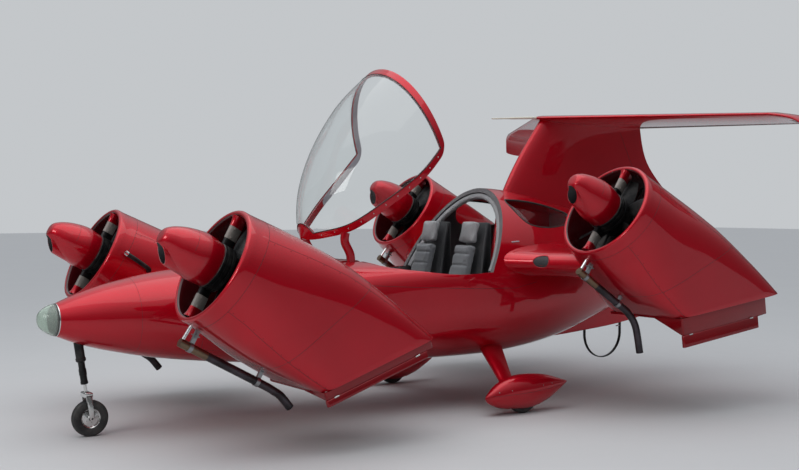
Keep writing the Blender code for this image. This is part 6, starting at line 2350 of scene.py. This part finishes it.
        strip = lines.box_depth
        rings = [ring(0.0006, half, 0.0, lines.box_short),
                 ring(strip - 0.003, half, 0.0, lines.box_short),
                 ring(strip, half, 0.002, lines.box_short),
                 ring(strip + 0.002, wide, 0.002, lines.flap_short),
                 ring(strip + 0.005, wide, 0.0, lines.flap_short),
                 ring(lines.flap_depth - 0.003, wide, 0.0, lines.flap_short),
                 ring(lines.flap_depth, wide, 0.003, lines.flap_short),
                 ring(lines.flap_depth, wide, self.box_wall - 0.003, lines.flap_short),
                 ring(lines.flap_depth - 0.003, wide, self.box_wall, lines.flap_short),
                 ring(strip, wide, self.box_wall, lines.flap_short),
                 ring(0.0006, half, self.box_wall, lines.box_short)]
        notch = self.notch(0.0)
        # The skirt takes the darker copy of the red paint: painted shade under the duct's exit.
        self.put(carved(loft(rings, closed=True), [("DIFFERENCE", notch)]), "vane_skirt",
                 self.finishes.painted_shade_red, ("vane_box_" + self.label,), sharp=40.0)
        usable = length - lines.flap_short
        blades = []
        for index in range(self.vane_count):
            place = low + along * (usable * (index + 1) / (self.vane_count + 1))
            start = place + out * (self.box_wall / 2)
            reach = lines.flap_depth - self.box_wall
            outline = [start + out * a + along * b
                       for a, b in aerofoil(0.0, reach, 0.011, 10)]
            shift = Vector((-half + self.box_wall / 2, 0, 0))
            blades.append(panel([point + shift for point in outline],
                                Vector(((half - self.box_wall / 2) * 2, 0, 0))))
        vanes = carved(join(blades), [("DIFFERENCE", self.notch(0.002))])
        # The vanes take the darker copy of the red paint: painted shade.
        self.put(vanes, "exit_vanes", self.finishes.painted_shade_red)
        hinge = []
        for edge in (-1.0, 1.0):
            for share in (0.10, 0.90):
                spot = low + along * (usable * share) + out * (strip + 0.001)
                spot += Vector((edge * (half + 0.004), 0, 0))
                hinge.append(bar(spot - along * 0.018, spot + along * 0.018, 0.0050, 12, edge=0.001))
        self.put(join(hinge), "vane_hinges", self.finishes.bright)

    def notch(self, grow: float) -> Mesh:
        """Solid that opens the box ahead and inboard, with a slanted face outboard."""
        lines = self.lines
        low, along, out, length = lines.exit_lines()
        half = lines.radius - self.box_recess
        wall = self.box_wall
        deep = lines.flap_depth + wall
        top = wall - grow
        section = ((-lines.radius, top), (half * self.notch_top, top),
                   (half - wall, lines.box_depth), (half - wall, deep), (-lines.radius, deep))
        rings = []
        for run in (-lines.radius, length * self.notch_length):
            rings.append([low + along * run + out * depth
                          + Vector((self.side.value * x, 0, 0)) for x, depth in section])
        return loft(rings)

    def pod_ring(self, row: Sequence[float], y: float, inset: float = 0.0) -> Places:
        """Ring of the pod's body from its row of shares."""
        high, low = row[1] * self.pod_radius, -row[2] * self.pod_radius
        half = (high - low) / 2
        return [Vector(((half - inset) * math.cos(math.tau * index / 64), y,
                        (high + low) / 2 + (half - inset) * math.sin(math.tau * index / 64)))
                for index in range(64)]

    def intake_ring(self, y: float, height: float, radius: float, slant: float) -> Places:
        """Ring of the intake tube, its top leaning ahead."""
        ring = []
        for index in range(64):
            rise = radius * math.sin(math.tau * index / 64)
            ring.append(Vector((radius * math.cos(math.tau * index / 64), y - rise * slant,
                                height + rise)))
        return ring

    def pod(self) -> None:
        """Engine pod with an open intake tube under its nose, painted shade inside the tube, and its
        seams.
        """
        rows = curve_rows(self.pod_shares, 7)
        rings = [self.pod_ring(row, -self.pod_length * (1 - row[0]) - 0.0003) for row in rows]
        radius, front, drop = self.intake_radius, -self.intake_front, -self.intake_drop
        inner = radius - self.intake_wall
        tube = loft([
            self.intake_ring(front, drop, radius - 0.002, self.intake_slant),
            self.intake_ring(front + 0.002, drop, radius, self.intake_slant),
            self.intake_ring(-self.pod_length / 4, inner + self.intake_wall * 2 - self.pod_radius,
                             radius, 0.0)])
        hole = loft([
            self.intake_ring(front - 0.02, drop, inner, self.intake_slant),
            self.intake_ring(front + self.intake_depth, drop, inner, 0.0)])
        body = carved(loft(rings), [("UNION", tube), ("DIFFERENCE", hole)])
        # Faces inside the intake hole take the dark lining: painted shade inside the intake.
        for face in body.faces:
            spot = face.calc_center_median()
            beside = math.hypot(spot.x, spot.z - drop)
            rise = (spot.z - drop) * self.intake_slant
            face.material_index = int(beside < inner + 0.001
                                      and front - rise + 0.003 < spot.y
                                      < front + self.intake_depth + 0.002)
        self.put(softened(body, 0.0030, 3, 42.0), "pod_skin", self.finishes.paint,
                 ("engine_pod_" + self.label,), sharp=44.0,
                 second=self.finishes.lining)
        seams = []
        for along in (0.50, 0.985):
            line = self.pod_ring(row_at(rows, along), -self.pod_length * (1 - along), 0.0008)
            line = line if along > 0.9 else [point for point in line if point.z > -0.03]
            seams.append(pipe(line, 0.0014, 6, along > 0.9))
        self.put(join(seams), "pod_seams", self.finishes.seam)

    def mount(self) -> None:
        """Upright inlet strut with red roots and grey plates, black hub rings, rear body."""
        radius = self.lines.radius - self.lines.lip - 0.001
        chord = self.strut_chord
        blade = [Vector((across, along, -radius)) for along, across in
                 aerofoil(0.001, chord - 0.004, self.strut_thickness, 14)]
        strut = panel(blade, Vector((0, 0, radius * 2)))
        hub_profile = [(0.0, 0.0), (0.0, 0.146), (0.004, 0.150), (0.018, 0.150), (0.020, 0.143),
                       (0.028, 0.143), (0.030, 0.150), (0.052, 0.150), (0.054, 0.143),
                       (0.062, 0.143), (0.064, 0.150), (0.081, 0.150), (0.085, 0.146),
                       (0.085, 0.0)]
        hub = lathe(hub_profile, 64, Vector((0, 0, 0)), Vector((0, 1, 0)))
        rear = chord + self.fan_spacing + 2 * (self.fan_hub_length + self.fan_spacing)
        body_profile = [(0.0, 0.0), (0.0, 0.140), (0.010, 0.149), (0.06, 0.148), (0.14, 0.136),
                        (0.24, 0.112), (0.34, 0.078), (0.40, 0.055), (0.418, 0.040), (0.420, 0.0)]
        body = lathe(body_profile, 56, Vector((0, rear, 0)), Vector((0, 1, 0)))
        shaft = bar(Vector((0, chord / 2, 0)), Vector((0, rear + chord, 0)), 0.0198, 28)
        arm_start = rear + self.fan_spacing
        arm = [Vector((-radius, along, across)) for along, across in
               aerofoil(arm_start, chord, self.strut_thickness, 14)]
        arms = panel(arm, Vector((radius * 2, 0, 0)))
        self.put(join([strut, hub, body, shaft, arms]), "engine_frame", self.finishes.black,
                 ("engine_mount_" + self.label,))
        roots = []
        plates = []
        for end in (-1.0, 1.0):
            rings = []
            for share, grow in ((0.0, 1.0), (0.35, 1.06), (0.7, 1.25), (1.0, 1.75)):
                rings.append((blend(radius * 0.80, radius - 0.002, share), grow))
            roots.append(self.strut_sleeve(end, rings, 0.0045))
            plates.append(self.strut_sleeve(end, ((0.192, 1.0), (radius * 0.805, 1.0)), 0.0028))
            for edge in (-1.0, 1.0):
                spot = Vector((edge * (self.strut_thickness / 2 + 0.0020), 0.030, end * 0.205))
                plates.append(bar(spot, spot + Vector((edge * 0.006, 0, 0)), 0.0060, 6, edge=0.001))
                spot = Vector((edge * (self.strut_thickness / 2 + 0.0020), 0.030, end * 0.265))
                plates.append(bar(spot, spot + Vector((edge * 0.006, 0, 0)), 0.0060, 6, edge=0.001))
        self.put(join(roots), "strut_roots", self.finishes.paint)
        self.put(join(plates), "strut_plates", self.finishes.sleeve)

    def strut_sleeve(self, end: float, rings: Sequence[tuple[float, float]],
                     stand: float) -> Mesh:
        """Sleeve round the inlet strut.

        Args:
            end: 1 above the hub, -1 below it.
            rings: its heights, and how much it is spread there.
            stand: how far it stands off the strut.

        Returns:
            The sleeve's mesh.
        """
        sections = []
        for height, grow in rings:
            outline = aerofoil(0.001 - stand, self.strut_chord - 0.004 + stand * 2,
                               self.strut_thickness + stand * 1.6, 14)
            sections.append([Vector((across * grow, 0.040 + (along - 0.040)
                                     * (1 + (grow - 1) * 0.35), end * height))
                             for along, across in outline])
        return loft(sections)

    def fan(self, number: int) -> None:
        """One fan: hub with a ringed face, and twisted blades."""
        half = self.fan_hub_length / 2
        place = self.strut_chord + self.fan_spacing + number * (self.fan_hub_length
                                                                + self.fan_spacing) + half
        centre = Vector((0.0, place, 0.0))
        hand = 1.0 if number == 0 else -1.0
        profile = [(-half, 0.0206), (-half, 0.108), (-half + 0.006, 0.119), (half - 0.006, 0.119),
                   (half, 0.108), (half, 0.0206), (-half, 0.0206)]
        hub = lathe(profile[:-1], 48, centre, Vector((0, 1, 0)))
        bmesh.ops.holes_fill(hub, edges=hub.edges[:], sides=0)
        shapes = [hub]
        count = self.blades[number]
        for index in range(count):
            sections = []
            for step in range(11):
                share = step / 10
                radius = blend(0.104, self.fan_radius, share)
                pitch = hand * blend(self.root_pitch, self.tip_pitch, share)
                chord = self.blade_chord * (0.80 + 0.30 * math.sin(math.pi * min(share * 1.1, 1.0)))
                if share > 0.95:
                    chord *= 0.80
                across = Vector((math.cos(pitch), math.sin(pitch), 0.0))
                thick = Vector((-math.sin(pitch), math.cos(pitch), 0.0))
                ring = []
                for along, rise in aerofoil(-chord * 0.48, chord,
                                            blend(0.020, 0.0085, share), 9):
                    ring.append(Vector((0.0, place, radius)) + across * (along * hand) + thick * rise)
                sections.append(ring)
            blade = loft(sections)
            turn = Matrix.Rotation(math.tau * index / count, 4, "Y")
            bmesh.ops.transform(blade, matrix=turn, verts=blade.verts)
            shapes.append(blade)
        part = ("front", "rear")[number]
        node = "fan_%s_%s" % (self.label, part)
        made = moved(join(shapes), self.lines.place(self.side))
        place_piece(made, "rotor_%s_%s" % (self.label, part), self.finishes.black, node, (node,),
                    sharp=50.0)

    def breather(self) -> None:
        """Short black tube with a bright end that leans out of the duct's inboard side."""
        inboard = Vector((-self.side.value, 0.0, 0.0))
        start = Vector((-self.side.value * self.lines.radius * 0.97, 0.330, 0.030))
        tip = start + inboard * 0.050 + Vector((0.0, -0.235, 0.035))
        bend = start + inboard * 0.055 + Vector((0.0, -0.030, 0.012))
        line = [Vector(row) for row in curve_rows([tuple(start), tuple(bend), tuple(tip)], 8)]
        self.put(pipe(line, 0.017, 24), "breather_tube", self.finishes.black)
        along = (line[-1] - line[-2]).normalized()
        rim = [(-0.020, 0.0165), (-0.020, 0.0195), (0.004, 0.0205), (0.004, 0.0140),
               (-0.012, 0.0130), (-0.012, 0.0)]
        self.put(lathe(rim, 28, line[-1], along), "breather_end", self.finishes.chrome)

    def exhaust(self) -> None:
        """Exhaust pipe under the duct with its clamps and bracket."""
        lines = self.lines
        drop = -lines.radius - self.pipe_drop
        bend = lines.pipe_bend
        reach = lines.pipe_end_reach
        fall = lines.pipe_end_drop
        line = [(0.0, self.pipe_start, drop), (0.0, self.pipe_start + 0.10, drop),
                (0.0, bend * 0.5, drop), (0.0, bend - 0.05, drop), (0.0, bend + 0.03, drop - 0.004),
                (0.0, bend + reach / 2, drop - fall / 4), (0.0, bend + reach, drop - fall)]
        dense = [Vector(row) for row in curve_rows(line, 7)]
        along = (dense[-1] - dense[-2]).normalized()
        tube = pipe(dense, self.pipe_radius, 28)
        caps = [face for face in tube.faces if len(face.verts) == 28]
        end_cap = max(caps, key=lambda face: face.calc_center_median().y)
        bmesh.ops.inset_region(tube, faces=[end_cap], thickness=0.0035, depth=0.0)
        end_face = max((face for face in tube.faces if len(face.verts) == 28),
                       key=lambda face: face.calc_center_median().y)
        moved_out = bmesh.ops.extrude_discrete_faces(tube, faces=[end_face])["faces"]
        for vert in moved_out[0].verts:
            vert.co -= along * 0.05
        self.put(tube, "exhaust_pipe", self.finishes.pipe, ("exhaust_" + self.label,),
                 sharp=50.0)
        front = [Vector((0.0, self.pipe_start - 0.0006 + 0.20 * index / 10, drop))
                 for index in range(11)]
        self.put(pipe(front, self.pipe_radius + 0.0010, 28), "exhaust_hot_sleeve",
                 self.finishes.bronze)
        metal = []
        for place in (self.pipe_start + 0.060, bend - 0.120):
            centre = Vector((0.0, place + 0.015, drop))
            metal.append(lathe([(-0.013, self.pipe_radius + 0.0005), (-0.013, 0.0315),
                                (0.013, 0.0315), (0.013, self.pipe_radius + 0.0005)], 32, centre,
                               Vector((0, 1, 0))))
            top = -lines.radius + 0.012
            metal.append(softened(brick((-0.011, place, drop + 0.020),
                                        (0.011, place + 0.030, top)), 0.003, 2))
            metal.append(softened(brick((-0.030, place - 0.004, drop + 0.075),
                                        (0.030, place + 0.034, drop + 0.082)), 0.002, 2))
            for edge in (-0.021, 0.021):
                metal.append(bar(Vector((edge, place + 0.015, drop + 0.066)),
                                 Vector((edge, place + 0.015, drop + 0.094)), 0.0055, 6,
                                 edge=0.001))
        self.put(join(metal), "exhaust_clamps", self.finishes.grey_plate)
        stay = bar(Vector((0.0, self.pipe_start + 0.012, drop + 0.024)),
                   Vector((0.0, self.pipe_start + 0.022, -lines.radius + 0.006)), 0.0105, 24)
        self.put(stay, "exhaust_stay", self.finishes.chrome)

    def build(self) -> None:
        """Make the whole nacelle."""
        self.duct()
        self.vane_box()
        self.pod()
        self.mount()
        self.fan(0)
        self.fan(1)
        self.exhaust()
        if self.lines.name == "front":
            self.breather()


def tyre(centre: Vector, radius: float, width: float, bore: float) -> tuple:
    """Tyre with grooved tread, and its rim.

    Args:
        centre: middle of the wheel.
        radius: outer radius.
        width: tyre width.
        bore: radius of the hole on the axle.

    Returns:
        Meshes of the tyre and of the rim.
    """
    half = width / 2
    side = Vector((1.0, 0.0, 0.0))
    start = centre - side * half
    rim_radius = radius * 0.56
    profile = [(half - half * 0.66, rim_radius - 0.003), (half - half * 0.80, rim_radius + 0.004),
               (half - half * 0.95, radius * 0.70), (0.0006, radius * 0.80),
               (half - half * 0.97, radius * 0.88), (half - half * 0.86, radius * 0.955),
               (half - half * 0.62, radius * 0.990), (half - half * 0.46, radius * 0.9955),
               (half - half * 0.42, radius * 0.965), (half - half * 0.34, radius * 0.965),
               (half - half * 0.30, radius * 0.9985), (half - half * 0.10, radius),
               (half - half * 0.06, radius * 0.968)]
    mirrored = [(width - reach, size) for reach, size in reversed(profile)]
    shape = profile + mirrored
    dense = shape + [shape[0]]
    rubber = lathe(dense, 72, start, side)
    rim_profile = [(half - half * 0.60, bore), (half - half * 0.62, bore + 0.006),
                   (half - half * 0.50, bore + 0.010), (half - half * 0.40, rim_radius * 0.50),
                   (half - half * 0.30, rim_radius * 0.80), (half - half * 0.62, rim_radius * 0.93),
                   (half - half * 0.70, rim_radius), (half - half * 0.60, rim_radius + 0.002)]
    far = [(width - reach, size) for reach, size in reversed(rim_profile)]
    hub = lathe(rim_profile + far + [rim_profile[0]], 56, start, side)
    bolts = []
    for edge in (-1.0, 1.0):
        for index in range(5):
            turn = math.tau * index / 5
            spot = centre + Vector((edge * half * 0.36, math.cos(turn) * rim_radius * 0.48,
                                    math.sin(turn) * rim_radius * 0.48))
            bolts.append(bar(spot - side * edge * 0.004, spot + side * edge * 0.006, 0.0045, 6,
                             edge=0.001))
    return rubber, join([hub] + bolts)


@dataclass
class NoseGear:
    """Raked nose strut, light metal fork and nose wheel."""

    finishes: Finishes
    station: float = 0.350
    radius: float = 0.1225
    width: float = 0.070
    rake: float = math.radians(8.5)
    cylinder_low: float = 0.355
    top: float = 0.640
    crown_low: float = 0.262
    blade_gap: float = 0.043
    blade_thickness: float = 0.010

    def on_axis(self, height: float) -> Vector:
        """Point of the steering axis at a height."""
        up = Vector((0.0, -math.sin(self.rake), math.cos(self.rake)))
        centre = Vector((0.0, aft(self.station), self.radius))
        return centre + up * ((height - centre.z) / up.z)

    def strut(self) -> None:
        """Black sleeve and cylinder with collars."""
        up = (self.on_axis(1.0) - self.on_axis(0.0)).normalized()
        base = self.on_axis(self.cylinder_low)
        length = (self.on_axis(self.top) - base).length
        profile = [(0.0, 0.0128), (0.0, 0.0225), (0.003, 0.0255), (0.018, 0.0255), (0.020, 0.0235),
                   (0.060, 0.0235), (0.062, 0.0255), (0.100, 0.0255), (0.110, 0.0225),
                   (0.150, 0.0225), (0.156, 0.031), (0.162, 0.0345), (0.176, 0.0345),
                   (0.180, 0.031), (length - 0.002, 0.031), (length, 0.028), (length, 0.0)]
        made = lathe(profile, 40, base, up)
        place_piece(made, "nose_leg", self.finishes.black, BODY, ("nose_strut",))

    def fork(self) -> None:
        """Light metal fork: stem, crown and two blades, with the axle through them."""
        finish = self.finishes.bright
        stem = bar(self.on_axis(self.crown_low + 0.02), self.on_axis(self.cylinder_low + 0.036),
                   0.0119, 28, edge=0.001)
        centre = Vector((0.0, aft(self.station), self.radius))
        crown = self.on_axis(self.crown_low)
        outer = self.blade_gap + self.blade_thickness
        top = softened(brick((-outer, crown.y - 0.028, crown.z + 0.002),
                             (outer, crown.y + 0.028, crown.z + 0.038)), 0.009, 4)
        blades = []
        for edge in (-1.0, 1.0):
            outline = [(centre.y + 0.0148 * math.cos(math.pi + math.pi * index / 16),
                        centre.z + 0.0148 * math.sin(math.pi + math.pi * index / 16))
                       for index in range(17)]
            outline += [(crown.y + 0.022, crown.z + 0.020), (crown.y - 0.022, crown.z + 0.020)]
            ends = sorted((edge * self.blade_gap, edge * outer))
            blades.append(softened(panel([Vector((ends[0], y, z)) for y, z in outline],
                                         Vector((ends[1] - ends[0], 0, 0))), 0.0025, 2))
        axle = bar(centre - Vector((outer + 0.0, 0, 0)), centre + Vector((outer + 0.0, 0, 0)),
                   0.0088, 24, edge=0.001)
        place_piece(join([stem, top, axle] + blades), "nose_fork_metal", finish, "nose_fork",
                    ("nose_fork",))

    def wheel(self) -> None:
        """Nose wheel: tyre and rim."""
        centre = Vector((0.0, aft(self.station), self.radius))
        rubber, hub = tyre(centre, self.radius, self.width, 0.0095)
        place_piece(rubber, "nose_tyre", self.finishes.rubber, "nose_wheel", ("nose_wheel",))
        place_piece(hub, "nose_rim", self.finishes.bright, "nose_wheel")

    def build(self) -> None:
        """Make the nose gear."""
        self.strut()
        self.fork()
        self.wheel()


@dataclass
class MainGear:
    """Splayed legs, teardrop wheel pants and main wheels."""

    finishes: Finishes
    station: float = 3.354
    track_half: float = 0.896
    radius: float = 0.130
    width: float = 0.064
    running_gap: float = 0.008
    pant_station: float = 3.010
    pant_length: float = 0.780
    pant_half: float = 0.088
    pant_height: float = 0.290
    leg_root: tuple = (0.330, 3.445, 0.520)
    leg_foot: tuple = (0.880, 3.230, 0.220)
    root_chord: float = 0.240
    foot_chord: float = 0.120
    pant_shares: tuple = (
        (0.000, 0.06, 0.49, 0.43), (0.040, 0.36, 0.60, 0.32), (0.150, 0.75, 0.82, 0.19),
        (0.330, 1.00, 0.98, 0.12), (0.520, 0.98, 1.00, 0.11), (0.720, 0.74, 0.94, 0.26),
        (0.880, 0.40, 0.82, 0.48), (1.000, 0.06, 0.72, 0.68),
    )

    def pant(self, side: Side) -> None:
        """Teardrop pant with the wheel well, a seam and screws."""
        middle = side.value * self.track_half
        rings = []
        for along, wide, top, bottom in curve_rows(self.pant_shares, 6):
            high = top * self.pant_height
            low = bottom * self.pant_height
            y = aft(self.pant_station + along * self.pant_length)
            ring = []
            for index in range(56):
                across, up = oval(math.tau * index / 56, 2.2)
                ring.append(Vector((middle + wide * self.pant_half * across, y,
                                    (high + low) / 2 + up * (high - low) / 2)))
            rings.append(ring)
        centre = Vector((middle, aft(self.station), self.radius))
        radius = self.radius + self.running_gap
        half = self.width / 2 + self.running_gap
        outline = [(centre.y + radius * math.cos(math.pi * index / 28),
                    centre.z + radius * math.sin(math.pi * index / 28)) for index in range(29)]
        outline += [(centre.y - radius, -0.4), (centre.y + radius, -0.4)]
        well = panel([Vector((centre.x - half, y, z)) for y, z in outline],
                     Vector((half * 2, 0, 0)))
        skin = carved(loft(rings), [("DIFFERENCE", well)])
        place_piece(softened(skin, 0.0020, 2, 60.0), "pant_skin_" + side.label,
                    self.finishes.paint, BODY, ("wheel_pant_" + side.label,),
                    sharp=44.0)
        face = Surface(loft(rings))
        reach = Vector((self.pant_half * 0.8, 0.0, 0.0))
        place_piece(bar(centre - reach, centre + reach, 0.0118, 24, edge=0.002),
                    "main_axle_" + side.label, self.finishes.bright, BODY)
        seams = []
        for edge in (-1.0, 1.0):
            hits = [face.cast(Vector((middle + edge, aft(station), height)),
                              Vector((-edge, 0, 0)))
                    for station, height in along_points(((3.04, 0.150), (3.40, 0.165),
                                                         (3.70, 0.185)), 50)]
            made = seam_line(hits, 0.0013, 0.0007)
            if made:
                seams.append(made)
        if seams:
            place_piece(join(seams), "pant_seams_" + side.label, self.finishes.seam, BODY)
        heads = []
        for station, height in ((3.10, 0.178), (3.20, 0.188), (3.50, 0.205), (3.60, 0.210)):
            for edge in (-1.0, 1.0):
                hit = face.cast(Vector((middle + edge, aft(station), height)),
                                Vector((-edge, 0, 0)))
                if hit:
                    heads.append(screw_head(hit[0] + hit[1] * 0.0002, hit[1], 0.0042))
        place_piece(join(heads), "pant_screws_" + side.label, self.finishes.grey_plate, BODY)

    def leg(self, side: Side) -> None:
        """Streamlined leg with fairings at both ends."""
        root = Vector((side.value * self.leg_root[0], aft(self.leg_root[1]), self.leg_root[2]))
        foot = Vector((side.value * self.leg_foot[0], aft(self.leg_foot[1]), self.leg_foot[2]))
        down = (foot - root).normalized()
        across = Vector((0.0, 1.0, 0.0)).cross(down).normalized()
        rings = []
        for index in range(25):
            share = index / 24
            centre = root.lerp(foot, share)
            swell_size = 1.0 + 0.9 * max(0.0, 1 - share / 0.16) ** 2 + 0.5 * max(
                0.0, (share - 0.88) / 0.12) ** 2
            chord = blend(self.root_chord, self.foot_chord, share)
            thickness = chord * 0.34 * swell_size
            chord *= 1.0 + (swell_size - 1.0) * 0.30
            rings.append([centre + Vector((0.0, along, 0.0)) + across * half
                          for along, half in aerofoil(-chord / 2, chord, thickness, 18)])
        place_piece(loft(rings), "gear_leg_" + side.label, self.finishes.paint, BODY,
                    ("main_leg_" + side.label,), sharp=60.0)

    def wheel(self, side: Side) -> None:
        """Main wheel: tyre and rim."""
        centre = Vector((side.value * self.track_half, aft(self.station), self.radius))
        rubber, hub = tyre(centre, self.radius, self.width, 0.0125)
        body = "main_wheel_" + side.label
        place_piece(rubber, "main_tyre_" + side.label, self.finishes.rubber, body, (body,))
        place_piece(hub, "main_rim_" + side.label, self.finishes.bright, body)

    def build(self) -> None:
        """Make the main gear on both sides."""
        for side in Side:
            self.pant(side)
            self.leg(side)
            self.wheel(side)


@dataclass
class Studio:
    """Plain pale floor, soft light and the camera of the photograph."""

    floor_colour: tuple = (0.57, 0.575, 0.58)
    backdrop: tuple = (0.55, 0.57, 0.59)
    horizon: tuple = (0.050, 0.055, 0.055)
    zenith: tuple = (1.02, 1.06, 1.12)
    camera_place: tuple = (7.7808, -5.5393, 1.55)
    camera_down: float = math.radians(1.4126)
    camera_turn: float = math.radians(56.715)
    lens: float = 53.35

    def floor(self) -> None:
        """Pale floor, slightly uneven in tone."""
        made = Dresser("pale_floor")
        cloud = made.effect(Effects.cloudiness(), Scale=0.6, Low=0.35, High=0.75)
        made.feed("Base Color", made.mix(made.ranged(cloud.outputs["Mask"], 0.0, 0.3),
                                         self.floor_colour,
                                         tuple(value * 0.93 for value in self.floor_colour)))
        made.feed("Roughness", made.ranged(cloud.outputs["Fine"], 0.72, 0.85))
        bm = bmesh.new()
        bmesh.ops.create_grid(bm, x_segments=8, y_segments=8, size=60.0)
        mesh = bpy.data.meshes.new("studio_floor")
        bm.to_mesh(mesh)
        bm.free()
        mesh.materials.append(made.material)
        plane = bpy.data.objects.new("studio_floor", mesh)
        bpy.context.scene.collection.objects.link(plane)

    def lamp(self, name: str, place: tuple, aim: tuple, size: tuple, power: float,
             colour: tuple = (1.0, 1.0, 1.0)) -> None:
        """Soft rectangular lamp aimed at a point."""
        data = bpy.data.lights.new(name, "AREA")
        data.shape = "RECTANGLE"
        data.size = size[0]
        data.size_y = size[1]
        data.energy = power
        data.color = colour
        lamp = bpy.data.objects.new(name, data)
        lamp.location = place
        lamp.rotation_euler = (Vector(aim) - Vector(place)).to_track_quat("-Z", "Y").to_euler()
        bpy.context.scene.collection.objects.link(lamp)

    def sky(self) -> None:
        """Pale surroundings that reflect as a soft sky above a darker horizon."""
        world = bpy.data.worlds.new("studio_surroundings")
        bpy.context.scene.world = world
        world.use_nodes = True
        nodes = world.node_tree.nodes
        links = world.node_tree.links
        back = nodes["Background"]
        place = nodes.new("ShaderNodeTexCoord")
        split = nodes.new("ShaderNodeSeparateXYZ")
        ramp = nodes.new("ShaderNodeValToRGB")
        rays = nodes.new("ShaderNodeLightPath")
        seen = nodes.new("ShaderNodeMath")
        mix = nodes.new("ShaderNodeMix")
        mix.data_type = "RGBA"
        seen.operation = "MAXIMUM"
        stops = ramp.color_ramp.elements
        stops[0].position = 0.0
        stops[0].color = (*self.horizon, 1.0)
        stops[1].position = 0.95
        stops[1].color = (*self.zenith, 1.0)
        middle = stops.new(0.30)
        middle.color = (*(blend(a, b, 0.16) for a, b in zip(self.horizon, self.zenith)), 1.0)
        links.new(place.outputs["Generated"], split.inputs["Vector"])
        links.new(split.outputs["Z"], ramp.inputs["Fac"])
        links.new(rays.outputs["Is Camera Ray"], seen.inputs[0])
        links.new(rays.outputs["Is Transmission Ray"], seen.inputs[1])
        links.new(seen.outputs["Value"], mix.inputs["Factor"])
        links.new(ramp.outputs["Color"], mix.inputs["A"])
        mix.inputs["B"].default_value = (*self.backdrop, 1.0)
        links.new(mix.outputs["Result"], back.inputs["Color"])
        back.inputs["Strength"].default_value = 1.0

    def camera(self) -> None:
        """Camera where the photographer stood."""
        data = bpy.data.cameras.new("photo_camera")
        data.sensor_width = 36.0
        data.lens = self.lens
        eye = bpy.data.objects.new("photo_camera", data)
        eye.location = self.camera_place
        eye.rotation_euler = (math.pi / 2 - self.camera_down, 0.0, self.camera_turn)
        bpy.context.scene.collection.objects.link(eye)
        bpy.context.scene.camera = eye

    def build(self) -> None:
        """Set the whole studio."""
        self.camera()
        self.floor()
        self.sky()
        bpy.context.scene.view_settings.view_transform = "Standard"
        self.lamp("sky_panel", (0.5, -1.0, 7.5), (0.0, 0.0, 0.8), (7.0, 9.0), 170.0,
                  (1.0, 0.99, 0.97))
        self.lamp("front_panel", (3.5, -10.5, 5.5), (0.2, -0.6, 1.0), (4.0, 3.0), 210.0,
                  (1.0, 0.99, 0.97))


def dress_frame(finishes: Finishes, frame: dict) -> None:
    """Give every CAD node its finish by its material slot, also those that stay hidden.

    Args:
        finishes: the car's finishes.
        frame: the loaded frame.
    """
    by_slot = {"red_paint": finishes.paint, "black_metal": finishes.black,
               "bright_metal": finishes.bright, "grey_cloth": finishes.cloth,
               "clear_plastic": finishes.glass, "tyre_rubber": finishes.rubber,
               "pale_plastic": finishes.nose, "cream_plastic": finishes.cream}
    slots = {part["node"]: part["material_slot"] for part in frame["record"]["subparts"]}
    for name, node in frame["nodes"].items():
        material = by_slot.get(slots.get(name, ""), finishes.black)
        if not node.data.materials:
            node.data.materials.append(material)
        for index in range(len(node.data.materials)):
            node.data.materials[index] = material


def main() -> None:
    """Load the frame and dress the whole car."""
    logging.basicConfig(level=logging.INFO, format="%(message)s")
    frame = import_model()
    finishes = Finishes()
    dress_frame(finishes, frame)
    Studio().build()
    canopy_lines = CanopyLines()
    body = Fuselage(finishes, canopy_lines)
    body.build()
    Canopy(finishes, canopy_lines).build()
    Cabin(finishes, body).build()
    Tail(finishes, body.surface).build()
    for nacelle in (FRONT_NACELLE, REAR_NACELLE):
        for side in Side:
            NacelleBuild(finishes, nacelle, side).build()
    NoseGear(finishes).build()
    MainGear(finishes).build()


if __name__ == "__main__":
    main()
